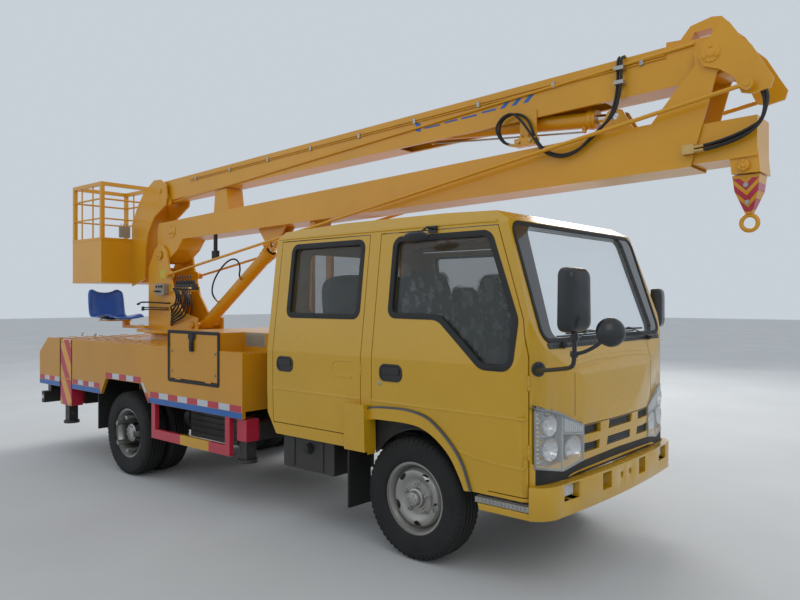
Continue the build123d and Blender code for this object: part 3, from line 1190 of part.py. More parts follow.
BASKET_X = (fx(-BASKET_BEHIND), fx(-4720))
BASKET_Y = (-500.0, 160.0)
BASKET_FLOOR_Z = 1795.0
BASKET_PANEL_TOP = 2290.0
BASKET_TOP = 2900.0
POST = 40.0
ARM_SIDE = [
    (fx(-4725), 1760), (fx(-4450), 1830), (fx(-4430), 2150), (fx(-4380), 2330), (fx(-4250), 2500),
    (fx(-4010), 2620), (fx(-3990), 2700), (fx(-4010), 2830), (fx(-4120), 2895), (fx(-4250), 2900),
    (fx(-4450), 2800), (fx(-4600), 2640), (fx(-4725), 2450),
]
ARM_CORE = [   # its front edge stays behind the upper boom and its rod when the boom is fully opened
    (fx(-4725), 1780), (fx(-4625), 1800), (fx(-4610), 1850), (fx(-4515), 2150), (fx(-4450), 2340),
    (fx(-4410), 2480), (fx(-4440), 2690), (fx(-4600), 2600), (fx(-4725), 2430),
]
ARM_HOLLOW = [
    (fx(-4713), 1797), (fx(-4633), 1812), (fx(-4621), 1854), (fx(-4526), 2154), (fx(-4462), 2343),
    (fx(-4423), 2481), (fx(-4448), 2669), (fx(-4593), 2588), (fx(-4713), 2424),
]
with BuildPart() as basket:
    for part in plate_pair(ARM_SIDE, FORK_INNER, FORK_THICK):
        add(part)
    add(plate(ARM_CORE, -FORK_INNER - 1, 2 * FORK_INNER + 2))
    add(plate(ARM_HOLLOW, -FORK_INNER, 2 * FORK_INNER), mode=Mode.SUBTRACT)
    add(cross_pin(BASKET_PIN, PIN_RADIUS + PIN_GAP, 200), mode=Mode.SUBTRACT)
    # floor, side panels, posts and top rails
    (x0, x1), (y0, y1) = BASKET_X, BASKET_Y
    add(block((x0, y0, BASKET_FLOOR_Z), (x1, y1, BASKET_FLOOR_Z + 12)))
    for a, b in (((x0, y0), (x1, y0 + 4)), ((x0, y1 - 4), (x1, y1)), ((x0, y0), (x0 + 4, y1)),
                 ((x1 - 4, y0), (x1, y1))):
        add(block((*a, BASKET_FLOOR_Z), (*b, BASKET_PANEL_TOP)))
    for x in (x0, x1 - POST):
        for y in (y0, y1 - POST):
            add(block((x, y, BASKET_FLOOR_Z), (x + POST, y + POST, BASKET_TOP)))
    for low in (BASKET_PANEL_TOP - POST, BASKET_TOP - POST):
        add(block((x0, y0, low), (x1, y1, low + POST))
            - block((x0 + POST, y0 + POST, low - 1), (x1 - POST, y1 - POST, low + POST + 1)))
save(basket.part, "basket")
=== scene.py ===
import bpy
import bmesh
import math
from mathutils import Vector, Matrix


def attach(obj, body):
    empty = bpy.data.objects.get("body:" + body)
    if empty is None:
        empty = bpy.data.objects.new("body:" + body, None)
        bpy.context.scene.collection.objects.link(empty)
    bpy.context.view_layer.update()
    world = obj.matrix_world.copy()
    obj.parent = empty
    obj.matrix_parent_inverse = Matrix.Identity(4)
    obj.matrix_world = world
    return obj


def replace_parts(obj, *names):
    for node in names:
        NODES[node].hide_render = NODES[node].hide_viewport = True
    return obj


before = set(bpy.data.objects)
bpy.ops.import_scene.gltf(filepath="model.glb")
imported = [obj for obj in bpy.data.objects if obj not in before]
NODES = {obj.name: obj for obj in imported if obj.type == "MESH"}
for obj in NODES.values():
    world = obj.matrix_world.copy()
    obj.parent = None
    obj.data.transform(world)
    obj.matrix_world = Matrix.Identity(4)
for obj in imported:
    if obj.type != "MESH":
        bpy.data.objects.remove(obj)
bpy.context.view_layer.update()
scene = bpy.context.scene

# Metres, in the CAD frame: +X forward, +Y left, +Z up, ground at Z = 0
FRONT_AXLE_X = 1.7765
WHEELBASE = 3.36
TYRE_R = 0.38
BED_HALF = 0.950

# Thickness of the hoses
BOOM_HOSE = 0.017
JIB_HOSE = 0.016
VALVE_HOSE = 0.018
RISER_HOSE = 0.017
LIFT_HOSE = 0.016


def fx(ahead):
    """X of a place given by its distance ahead of the front axle."""
    return FRONT_AXLE_X + ahead


# Node materials

def new_material(name):
    mat = bpy.data.materials.new(name)
    mat.use_nodes = True
    tree = mat.node_tree
    shader = tree.nodes["Principled BSDF"]
    return mat, tree, shader


def noise(tree, scale, detail=3.0, rough=0.5, vector=None):
    node = tree.nodes.new("ShaderNodeTexNoise")
    node.inputs["Scale"].default_value = scale
    node.inputs["Detail"].default_value = detail
    node.inputs["Roughness"].default_value = rough
    coords = tree.nodes.new("ShaderNodeTexCoord")
    tree.links.new(vector or coords.outputs["Object"], node.inputs["Vector"])
    return node.outputs["Fac"]


def ramp(tree, fac, stops):
    node = tree.nodes.new("ShaderNodeValToRGB")
    node.color_ramp.elements[0].position = stops[0][0]
    node.color_ramp.elements[0].color = (*stops[0][1], 1)
    node.color_ramp.elements[1].position = stops[-1][0]
    node.color_ramp.elements[1].color = (*stops[-1][1], 1)
    for place, color in stops[1:-1]:
        node.color_ramp.elements.new(place).color = (*color, 1)
    tree.links.new(fac, node.inputs["Fac"])
    return node.outputs["Color"]


def math_node(tree, op, a, b=None, clamp=False):
    node = tree.nodes.new("ShaderNodeMath")
    node.operation = op
    node.use_clamp = clamp
    for slot, value in zip(node.inputs, (a, b)):
        if value is None:
            continue
        if isinstance(value, (int, float)):
            slot.default_value = value
        else:
            tree.links.new(value, slot)
    return node.outputs[0]


def mix(tree, fac, a, b):
    node = tree.nodes.new("ShaderNodeMix")
    node.data_type = "RGBA"
    for slot, value in ((node.inputs["Factor"], fac), (node.inputs[6], a), (node.inputs[7], b)):
        if isinstance(value, (int, float)):
            slot.default_value = value
        elif isinstance(value, tuple):
            slot.default_value = (*value, 1)
        else:
            tree.links.new(value, slot)
    return node.outputs[2]


def height_of(tree):
    """Object height as a number, for dirt that lies low on the truck."""
    coords = tree.nodes.new("ShaderNodeTexCoord")
    split = tree.nodes.new("ShaderNodeSeparateXYZ")
    tree.links.new(coords.outputs["Object"], split.inputs[0])
    return split.outputs["Z"]


def bump(tree, shader, height, strength, distance):
    node = tree.nodes.new("ShaderNodeBump")
    node.inputs["Strength"].default_value = strength
    node.inputs["Distance"].default_value = distance
    tree.links.new(height, node.inputs["Height"])
    tree.links.new(node.outputs["Normal"], shader.inputs["Normal"])


def dusty(tree, color, dust, low, high, strength):
    """Colour with road dust that fades out between two heights."""
    z = height_of(tree)
    fade = math_node(tree, "DIVIDE", math_node(tree, "SUBTRACT", high, z), high - low, clamp=True)
    patch = math_node(tree, "MULTIPLY", fade, math_node(tree, "ADD", noise(tree, 4.5, 5), 0.25), clamp=True)
    return mix(tree, math_node(tree, "MULTIPLY", patch, strength), color, dust)


def paint(name, color, roughness=0.32, coat=0.6, dust=0.35, dust_top=1.1, vary=0.06, metallic=0.0):
    """Sprayed enamel: a slow change of tone, orange peel, and dust low down."""
    mat, tree, shader = new_material(name)
    darker = tuple(c * (1 - vary * 1.6) for c in color)
    lighter = tuple(min(1, c * (1 + vary)) for c in color)
    tone = ramp(tree, noise(tree, 1.6, 4), [(0.3, darker), (0.7, lighter)])
    tree.links.new(dusty(tree, tone, (0.32, 0.27, 0.2), 0.3, dust_top, dust), shader.inputs["Base Color"])
    rough = math_node(tree, "ADD", math_node(tree, "MULTIPLY", noise(tree, 6, 4), 0.14), roughness - 0.07)
    tree.links.new(rough, shader.inputs["Roughness"])
    shader.inputs["Coat Weight"].default_value = coat
    shader.inputs["Coat Roughness"].default_value = 0.12
    shader.inputs["Metallic"].default_value = metallic
    bump(tree, shader, noise(tree, 420, 2), 0.04, 0.0006)
    return mat


def plastic(name, color, roughness=0.5, grain=900.0, depth=0.12, coat=0.0, vary=0.25):
    mat, tree, shader = new_material(name)
    tone = ramp(tree, noise(tree, 5, 5), [(0.3, tuple(c * (1 - vary) for c in color)),
                                         (0.7, tuple(min(1, c * (1 + vary)) for c in color))])
    tree.links.new(tone, shader.inputs["Base Color"])
    rough = math_node(tree, "ADD", math_node(tree, "MULTIPLY", noise(tree, 9, 3), 0.2), roughness - 0.1)
    tree.links.new(rough, shader.inputs["Roughness"])
    shader.inputs["Coat Weight"].default_value = coat
    bump(tree, shader, noise(tree, grain, 2), depth, 0.0006)
    return mat


def metal(name, color, roughness=0.35, vary=0.12, scale=7.0, metallic=1.0, grain=240.0):
    mat, tree, shader = new_material(name)
    tone = ramp(tree, noise(tree, scale, 6), [(0.3, tuple(c * (1 - vary) for c in color)),
                                             (0.72, tuple(min(1, c * (1 + vary)) for c in color))])
    tree.links.new(tone, shader.inputs["Base Color"])
    rough = math_node(tree, "ADD", math_node(tree, "MULTIPLY", noise(tree, 14, 4), 0.25), roughness - 0.12)
    tree.links.new(rough, shader.inputs["Roughness"])
    shader.inputs["Metallic"].default_value = metallic
    bump(tree, shader, noise(tree, grain, 3), 0.08, 0.0005)
    return mat


YELLOW = (0.62, 0.345, 0.005)
MATS = {"cab": paint("cab_enamel", YELLOW, roughness=0.26, coat=0.5, dust=0.08, dust_top=0.8, vary=0.03),
        "bed": paint("bed_enamel", (0.62, 0.275, 0.004), roughness=0.36, coat=0.3, dust=0.12, dust_top=1.3,
                     vary=0.05), "boom": paint("boom_enamel", (0.74, 0.345, 0.006), roughness=0.34,
                                               coat=0.35, dust=0.0, vary=0.05),
        "red": paint("guard_red", (0.62, 0.02, 0.045), roughness=0.34, coat=0.5, dust=0.4, dust_top=0.9,
                     vary=0.06), "black_frame": paint("chassis_black", (0.012, 0.012, 0.013), roughness=0.5,
                                                      coat=0.1, dust=0.12, dust_top=0.9),
        "iron": metal("cast_iron_grey", (0.09, 0.085, 0.08), roughness=0.6, metallic=0.7),
        "wheel": paint("wheel_silver", (0.38, 0.38, 0.37), roughness=0.34, coat=0.2, dust=0.35,
                       dust_top=0.8, metallic=0.75, vary=0.08),
        "tyre": plastic("tyre_rubber", (0.012, 0.0118, 0.0112), roughness=0.78, grain=500, depth=0.2),
        "bead": plastic("grey_bead", (0.09, 0.095, 0.10), roughness=0.5),
        "rubber": plastic("black_rubber", (0.016, 0.016, 0.016), roughness=0.62, grain=700),
        "trim": plastic("black_trim", (0.012, 0.012, 0.013), roughness=0.38, grain=900, coat=0.15),
        "interior": plastic("interior_grey", (0.10, 0.10, 0.105), roughness=0.6),
        "blue_seat": plastic("seat_blue", (0.012, 0.10, 0.42), roughness=0.36, coat=0.25),
        "chrome": metal("rod_chrome", (0.72, 0.72, 0.73), roughness=0.16, vary=0.04),
        "steel": metal("zinc_steel", (0.46, 0.45, 0.43), roughness=0.38),
        "mirror_glass": metal("mirror_silver", (0.82, 0.84, 0.85), roughness=0.05, vary=0.01), }


def glass_material(name, tint, alpha):
    mat, tree, shader = new_material(name)
    shader.inputs["Base Color"].default_value = (*tint, 1)
    shader.inputs["Roughness"].default_value = 0.03
    shader.inputs["IOR"].default_value = 1.45
    shader.inputs["Alpha"].default_value = alpha
    shader.inputs["Coat Weight"].default_value = 1.0
    shader.inputs["Coat Roughness"].default_value = 0.02
    haze = math_node(tree, "ADD", math_node(tree, "MULTIPLY", noise(tree, 3, 4), 0.03), 0.02)
    tree.links.new(haze, shader.inputs["Roughness"])
    return mat


MATS["glass"] = glass_material("window_glass", (0.05, 0.065, 0.06), 0.30)
MATS["lens"] = glass_material("lamp_lens", (0.80, 0.82, 0.82), 0.16)
MATS["gloss_black"] = plastic("black_glass_band", (0.010, 0.012, 0.012), roughness=0.12, grain=60,
                              depth=0.0, coat=0.8)
MATS["mirror_shell"] = plastic("mirror_black", (0.014, 0.016, 0.018), roughness=0.34, grain=700, coat=0.2)
MATS["lamp_back"] = metal("lamp_silver", (0.52, 0.55, 0.57), roughness=0.26, vary=0.08)
MATS["lamp_frame"] = plastic("lamp_grey", (0.34, 0.36, 0.37), roughness=0.35)
MATS["lamp_flute"] = plastic("lamp_flutes", (0.66, 0.68, 0.68), roughness=0.14, coat=0.8, depth=0.02,
                             vary=0.05)

NODE_MATERIALS = {"tyre_": "tyre", "tyres_": "tyre", "wheel": "wheel", "chassis": "black_frame",
                  "axle": "black_frame", "tanks": "black_frame", "knuckle": "iron", "driveline": "iron",
                  "door_glass": "glass", "cab_glass": "glass", "cab_shell": "cab", "door_": "cab",
                  "bumper": "cab", "grille": "trim", "lamps": "chrome", "mirror": "trim",
                  "seats": "interior", "cab_interior": "interior", "bed": "bed", "locker": "bed",
                  "mudguards": "rubber", "guards": "red", "outrigger": "red", "boom_rest": "boom",
                  "operator": "blue_seat", "lift_rod": "chrome", "fold_rod": "chrome", "level_rods": "boom",
                  }
NODE_MATERIALS.update({"guards": "guard_paint", "outrigger_beam": "outrigger_paint",
                       "outrigger_leg": "black_frame"})


def node_axis(tree, axis):
    coords = tree.nodes.new("ShaderNodeTexCoord")
    split = tree.nodes.new("ShaderNodeSeparateXYZ")
    tree.links.new(coords.outputs["Object"], split.inputs[0])
    return split.outputs[axis]


def between(tree, value, low, high):
    """1 between two places, 0 outside them."""
    return math_node(tree, "MULTIPLY", math_node(tree, "GREATER_THAN", value, low),
                     math_node(tree, "LESS_THAN", value, high))


def striped_paint(name, pattern, first, second):
    """Enamel whose two colours follow pattern(tree), 0 or 1, in the truck's own coordinates."""
    mat, tree, shader = new_material(name)
    tone = ramp(tree, noise(tree, 1.6, 4), [(0.3, (0.9, 0.9, 0.9)), (0.7, (1.0, 1.0, 1.0))])
    both = mix(tree, pattern(tree), first, second)
    blend = tree.nodes.new("ShaderNodeMix")
    blend.data_type = "RGBA"
    blend.blend_type = "MULTIPLY"
    blend.inputs["Factor"].default_value = 1.0
    tree.links.new(both, blend.inputs[6])
    tree.links.new(tone, blend.inputs[7])
    tree.links.new(dusty(tree, blend.outputs[2], (0.32, 0.27, 0.2), 0.3, 0.9, 0.12),
                   shader.inputs["Base Color"])
    tree.links.new(math_node(tree, "ADD", math_node(tree, "MULTIPLY", noise(tree, 6, 4), 0.14), 0.28),
                   shader.inputs["Roughness"])
    shader.inputs["Coat Weight"].default_value = 0.4
    bump(tree, shader, noise(tree, 420, 2), 0.04, 0.0006)
    return mat


def guard_pattern(tree):
    x = node_axis(tree, 0)
    return between(tree, x, fx(-2.445), fx(-2.035))


def hazard_pattern(tree):
    """Slanting bands, 0.11 m apart up the side face of the rear legs."""
    x, z = node_axis(tree, 0), node_axis(tree, 2)
    lean = math_node(tree, "ADD", math_node(tree, "MULTIPLY", x, 1.5), z)
    wave = math_node(tree, "FRACT", math_node(tree, "DIVIDE", lean, 0.34))
    side = math_node(tree, "GREATER_THAN", math_node(tree, "ABSOLUTE", node_axis(tree, 1)), 0.9485)
    rear = math_node(tree, "LESS_THAN", x, fx(-4.0))
    return math_node(tree, "MULTIPLY", math_node(tree, "MULTIPLY", side, rear),
                     math_node(tree, "GREATER_THAN", wave, 0.5))


RED = (0.55, 0.012, 0.045)
MATS["guard_paint"] = striped_paint("guard_paint", guard_pattern, RED, (0.70, 0.36, 0.01))
MATS["outrigger_paint"] = striped_paint("outrigger_paint", hazard_pattern, RED, (0.80, 0.36, 0.02))
MATS["tape_red"] = plastic("tape_red", (0.50, 0.025, 0.05), roughness=0.3, grain=500, coat=0.3, vary=0.08)
MATS["tape_white"] = plastic("tape_white", (0.56, 0.58, 0.62), roughness=0.3, grain=500, coat=0.3, vary=0.06)
MATS["mark_blue"] = plastic("mark_blue", (0.004, 0.115, 0.42), roughness=0.32, grain=500, coat=0.3, vary=0.08)
MATS["plate_yellow"] = plastic("plate_yellow", (0.60, 0.50, 0.02), roughness=0.35, coat=0.2, vary=0.05)
MATS["box_grey"] = plastic("box_grey", (0.33, 0.30, 0.24), roughness=0.45, coat=0.1, vary=0.1)
MATS["brown_hose"] = plastic("hose_dusty", (0.10, 0.055, 0.035), roughness=0.6, grain=700)
MATS["brass"] = metal("brass", (0.62, 0.42, 0.16), roughness=0.32)
MATS["floor_plate"] = metal("tread_steel", (0.34, 0.33, 0.31), roughness=0.45)
MATS["tail_red"] = plastic("tail_lens", (0.55, 0.012, 0.012), roughness=0.2, coat=0.8, depth=0.02, vary=0.05)
MATS["amber"] = plastic("amber_lens", (0.75, 0.22, 0.01), roughness=0.2, coat=0.8, depth=0.02, vary=0.05)
# Front windscreen: the near-white base colour, high metallic and raised alpha stand for the sky reflected in
# the glass, a painted reflection; the side windows keep the dark tint
MATS["screen"] = glass_material("windscreen_painted_sky_reflection", (0.90, 0.95, 0.95), 0.80)
screen_tree = MATS["screen"].node_tree
screen_shader = screen_tree.nodes["Principled BSDF"]
front_reflection_mask = math_node(screen_tree, "GREATER_THAN", node_axis(screen_tree, 0), fx(0.0))
screen_tree.links.new(mix(screen_tree, front_reflection_mask, (0.05, 0.065, 0.06), (0.92, 0.96, 0.97)),
                      screen_shader.inputs["Base Color"])
screen_tree.links.new(math_node(screen_tree, "MULTIPLY", front_reflection_mask, 0.88), screen_shader.inputs["Metallic"])
screen_tree.links.new(math_node(screen_tree, "ADD", math_node(screen_tree, "MULTIPLY", front_reflection_mask, 0.56),
                                0.30), screen_shader.inputs["Alpha"])


def hook_pattern(tree):
    """Red bands that lean both ways over the white of the hook block."""
    x, z = node_axis(tree, 0), node_axis(tree, 2)
    off = math_node(tree, "ABSOLUTE", math_node(tree, "SUBTRACT", x, fx(1.700)))
    wave = math_node(tree, "FRACT", math_node(tree, "DIVIDE", math_node(tree, "SUBTRACT", z, off), 0.062))
    return math_node(tree, "MULTIPLY", math_node(tree, "GREATER_THAN", wave, 0.40),
                     between(tree, z, 2.085, 2.262))


MATS["hook_paint"] = striped_paint("hook_paint", hook_pattern, (0.74, 0.345, 0.006), (0.50, 0.03, 0.06))
NODE_MATERIALS.update({"hook": "hook_paint", "cab_glass": "screen"})
for name, node in NODES.items():
    keys = [key for key in NODE_MATERIALS if name.startswith(key)]
    choice = NODE_MATERIALS[max(keys, key=len)] if keys else "boom"
    node.data.materials.clear()
    node.data.materials.append(MATS[choice])



# Mesh helpers

def finish_piece(bm, name, mat, body, bevel=0.0, smooth=35.0, segments=2):
    """A mesh object from bm, shaded smooth between sharp edges, that rides on a body."""
    mesh = bpy.data.meshes.new(name)
    bmesh.ops.recalc_face_normals(bm, faces=bm.faces)
    bm.to_mesh(mesh)
    bm.free()
    mesh.shade_smooth()
    mesh.set_sharp_from_angle(angle=math.radians(smooth))
    obj = bpy.data.objects.new(name, mesh)
    scene.collection.objects.link(obj)
    mesh.materials.append(MATS[mat])
    if bevel:
        mod = obj.modifiers.new("bevel", "BEVEL")
        mod.width = bevel
        mod.segments = segments
        mod.limit_method = "ANGLE"
        mod.angle_limit = math.radians(35)
        mod.harden_normals = True
    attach(obj, body)
    return obj


def rounded(points, radius, steps=5, closed=True):
    """2-D outline with its corners rounded; radius may be one number or one per corner."""
    result = []
    count = len(points)
    radii = radius if isinstance(radius, (list, tuple)) else [radius] * count
    for i, point in enumerate(points):
        p = Vector(point)
        if not closed and i in (0, count - 1):
            result.append(tuple(p))
            continue
        a, b = Vector(points[i - 1]) - p, Vector(points[(i + 1) % count]) - p
        la, lb = a.length, b.length
        a.normalize()
        b.normalize()
        half = math.acos(max(-1, min(1, a.dot(b)))) / 2
        if radii[i] <= 0 or half > math.radians(88):
            result.append(tuple(p))
            continue
        reach = min(radii[i] / math.tan(half), la * 0.48, lb * 0.48)
        r = reach * math.tan(half)
        start, end = p + a * reach, p + b * reach
        centre = p + (a + b).normalized() * (r / math.sin(half))
        va, vb = start - centre, end - centre
        turn = va.angle(vb)
        for k in range(steps + 1):
            share = k / steps
            if turn < 1e-5:
                v = va
            else:
                v = (va * math.sin((1 - share) * turn) + vb * math.sin(share * turn)) / math.sin(turn)
            result.append(tuple(centre + v))
    return result


def add_prism(bm, outline, place, low, high):
    """A prism: outline points and two depths, mapped to space by place(u, v, depth)."""
    rings = []
    for depth in (low, high):
        rings.append([bm.verts.new(place(u, v, depth)) for u, v in outline])
    bm.faces.new(rings[0])
    bm.faces.new(list(reversed(rings[1])))
    count = len(outline)
    for i in range(count):
        j = (i + 1) % count
        bm.faces.new((rings[0][i], rings[1][i], rings[1][j], rings[0][j]))


def on_xz(u, v, depth):
    return (u, depth, v)


def on_yz(u, v, depth):
    return (depth, u, v)


def on_xy(u, v, depth):
    return (u, v, depth)


def add_box(bm, low, high):
    add_prism(bm, [(low[0], low[1]), (high[0], low[1]), (high[0], high[1]), (low[0], high[1])],
              on_xy, low[2], high[2])


def add_lathe(bm, profile, centre, axis="Y", segments=64, close=False):
    """Turns profile points (along, radius) about an axis through centre."""
    centre = Vector(centre)
    frame3 = {"Y": (Vector((0, 1, 0)), Vector((1, 0, 0)), Vector((0, 0, 1))),
              "X": (Vector((1, 0, 0)), Vector((0, 1, 0)), Vector((0, 0, 1))),
              "Z": (Vector((0, 0, 1)), Vector((1, 0, 0)), Vector((0, 1, 0)))}
    if isinstance(axis, str):
        along, side, up = frame3[axis]
    else:
        along = Vector(axis).normalized()
        side = along.orthogonal().normalized()
        up = along.cross(side)
    rings = []
    for s in range(segments):
        t = 2 * math.pi * s / segments
        out = side * math.cos(t) + up * math.sin(t)
        rings.append([bm.verts.new(centre + along * a + out * r) if r > 1e-6 else None for a, r in profile])
    ends = {}
    for k, (a, r) in enumerate(profile):
        if r <= 1e-6:
            ends[k] = bm.verts.new(centre + along * a)
    count = len(profile)
    pairs = [(k, k + 1) for k in range(count - 1)] + ([(count - 1, 0)] if close else [])
    for s in range(segments):
        n = (s + 1) % segments
        for k, j in pairs:
            quad = [ends.get(k) or rings[s][k], ends.get(k) or rings[n][k],
                    ends.get(j) or rings[n][j], ends.get(j) or rings[s][j]]
            corners = list(dict.fromkeys(quad))
            if len(corners) > 2:
                bm.faces.new(corners)


def add_tube(bm, points, radius, sides=12, closed=False, flat=1.0, caps=True):
    """A tube along points; flat squeezes it across the plane of its first turn."""
    pts = [Vector(p) for p in points]
    count = len(pts)
    rings = []
    up = None
    for i, p in enumerate(pts):
        if closed:
            tangent = (pts[(i + 1) % count] - pts[i - 1]).normalized()
        else:
            tangent = (pts[min(i + 1, count - 1)] - pts[max(i - 1, 0)]).normalized()
        if up is None:
            up = tangent.orthogonal().normalized() if abs(tangent.z) > 0.9 else (
                Vector((0, 0, 1)) - tangent * tangent.z).normalized()
        up = (up - tangent * up.dot(tangent)).normalized()
        side = tangent.cross(up)
        r = radius[i] if isinstance(radius, (list, tuple)) else radius
        rings.append(
                [
                    bm.verts.new(
                        p + side * (math.cos(2 * math.pi * k / sides) * r) + up * (
                            math.sin(2 * math.pi * k / sides) * r * flat)) for k in range(sides)])
    last = count if closed else count - 1
    for i in range(last):
        a, b = rings[i], rings[(i + 1) % count]
        for k in range(sides):
            bm.faces.new((a[k], a[(k + 1) % sides], b[(k + 1) % sides], b[k]))
    if caps and not closed:
        bm.faces.new(list(reversed(rings[0])))
        bm.faces.new(rings[-1])


def add_strip(bm, points, normals, width, height, sink=0.002, closed=True, crown=0.35):
    """A trim strip of rounded section swept along points, standing on a surface with those normals."""
    pts = [Vector(p) for p in points]
    count = len(pts)
    section = [(-0.5, -sink), (-0.5, height * (1 - crown)), (-0.32, height), (0.32, height),
               (0.5, height * (1 - crown)), (0.5, -sink)]
    rings = []
    for i, p in enumerate(pts):
        n = Vector(normals[i] if isinstance(normals, list) else normals).normalized()
        if closed:
            d0, d1 = (pts[i] - pts[i - 1]).normalized(), (pts[(i + 1) % count] - pts[i]).normalized()
        else:
            d0 = (pts[i] - pts[max(i - 1, 0)]).normalized() if i else (pts[1] - pts[0]).normalized()
            d1 = (pts[min(i + 1, count - 1)] - pts[i]).normalized() if i < count - 1 else d0
        tangent = (d0 + d1).normalized()
        across = tangent.cross(n).normalized()
        stretch = 1 / max(0.5, math.sqrt(max(0.0, (1 + d0.dot(d1)) / 2)))
        rings.append([bm.verts.new(p + across * (u * width * stretch) + n * v) for u, v in section])
    last = count if closed else count - 1
    size = len(section)
    for i in range(last):
        a, b = rings[i], rings[(i + 1) % count]
        for k in range(size):
            bm.faces.new((a[k], a[(k + 1) % size], b[(k + 1) % size], b[k]))
    if not closed:
        bm.faces.new(list(reversed(rings[0])))
        bm.faces.new(rings[-1])


def add_hex(bm, centre, axis, radius, height, washer=1.35):
    """A bolt head on its washer, standing out from centre along axis."""
    centre, along = Vector(centre), Vector(axis).normalized()
    side = along.orthogonal().normalized()
    up = along.cross(side)

    def disc(r, h0, h1, sides, chamfer):
        levels = [(r, h0), (r, h1 - chamfer), (r - chamfer, h1)]
        rings = [[bm.verts.new(centre + along * h + (side * math.cos(2 * math.pi * k / sides)
                                                    + up * math.sin(2 * math.pi * k / sides)) * q)
                  for k in range(sides)] for q, h in levels]
        for a, b in zip(rings, rings[1:]):
            for k in range(sides):
                bm.faces.new((a[k], a[(k + 1) % sides], b[(k + 1) % sides], b[k]))
        bm.faces.new(rings[-1])
        bm.faces.new(list(reversed(rings[0])))

    disc(radius * washer, -0.001, height * 0.25, 20, height * 0.05)
    disc(radius, height * 0.25, height, 6, height * 0.12)


def smooth_line(points, steps=8, closed=False):
    """Points along a Catmull-Rom curve through the given ones."""
    pts = [Vector(p) for p in points]
    count = len(pts)
    result = []
    spans = count if closed else count - 1
    for i in range(spans):
        p1, p2 = pts[i], pts[(i + 1) % count]
        p0 = pts[i - 1] if closed or i else p1 * 2 - p2
        p3 = pts[(i + 2) % count] if closed or i + 2 < count else p2 * 2 - p1
        for k in range(steps):
            t = k / steps
            result.append(0.5 * ((2 * p1) + (p2 - p0) * t + (2 * p0 - 5 * p1 + 4 * p2 - p3) * t * t
                                 + (3 * p1 - p0 - 3 * p2 + p3) * t * t * t))
    if not closed:
        result.append(pts[-1])
    return result


def cut_out(obj, build_cutter):
    """Cuts what build_cutter(bm) makes out of a piece, at once."""
    cutter_bm = bmesh.new()
    build_cutter(cutter_bm)
    bmesh.ops.recalc_face_normals(cutter_bm, faces=cutter_bm.faces)
    mesh = bpy.data.meshes.new("cutter")
    cutter_bm.to_mesh(mesh)
    cutter_bm.free()
    cutter = bpy.data.objects.new("cutter", mesh)
    scene.collection.objects.link(cutter)
    mod = obj.modifiers.new("cut", "BOOLEAN")
    mod.operation = "DIFFERENCE"
    mod.solver = "EXACT"
    mod.object = cutter
    bpy.context.view_layer.update()
    result = bpy.data.meshes.new_from_object(obj.evaluated_get(bpy.context.evaluated_depsgraph_get()))
    obj.modifiers.remove(mod)
    old = obj.data
    obj.data = result
    bpy.data.objects.remove(cutter)
    bpy.data.meshes.remove(old)
    result.shade_smooth()
    result.set_sharp_from_angle(angle=math.radians(35))


SIDES = {"right": -1, "left": 1}


# Frame parts kept from the CAD: softened edges

def soften(prefixes, width, segments=2):
    for name, node in NODES.items():
        if not name.startswith(prefixes):
            continue
        weld = node.modifiers.new("weld", "WELD")
        weld.merge_threshold = 0.00005
        mod = node.modifiers.new("bevel", "BEVEL")
        mod.width = width
        mod.segments = segments
        mod.limit_method = "ANGLE"
        mod.angle_limit = math.radians(40)
        mod.harden_normals = True


soften(("cab_shell", "door_front", "door_rear"), 0.003)
soften(("bed", "locker", "lower_boom", "upper_boom", "jib", "basket", "turret", "elbow_plates"), 0.0035)
soften(("bumper", "guards", "outrigger", "chassis", "tanks"), 0.004)


# Wheels

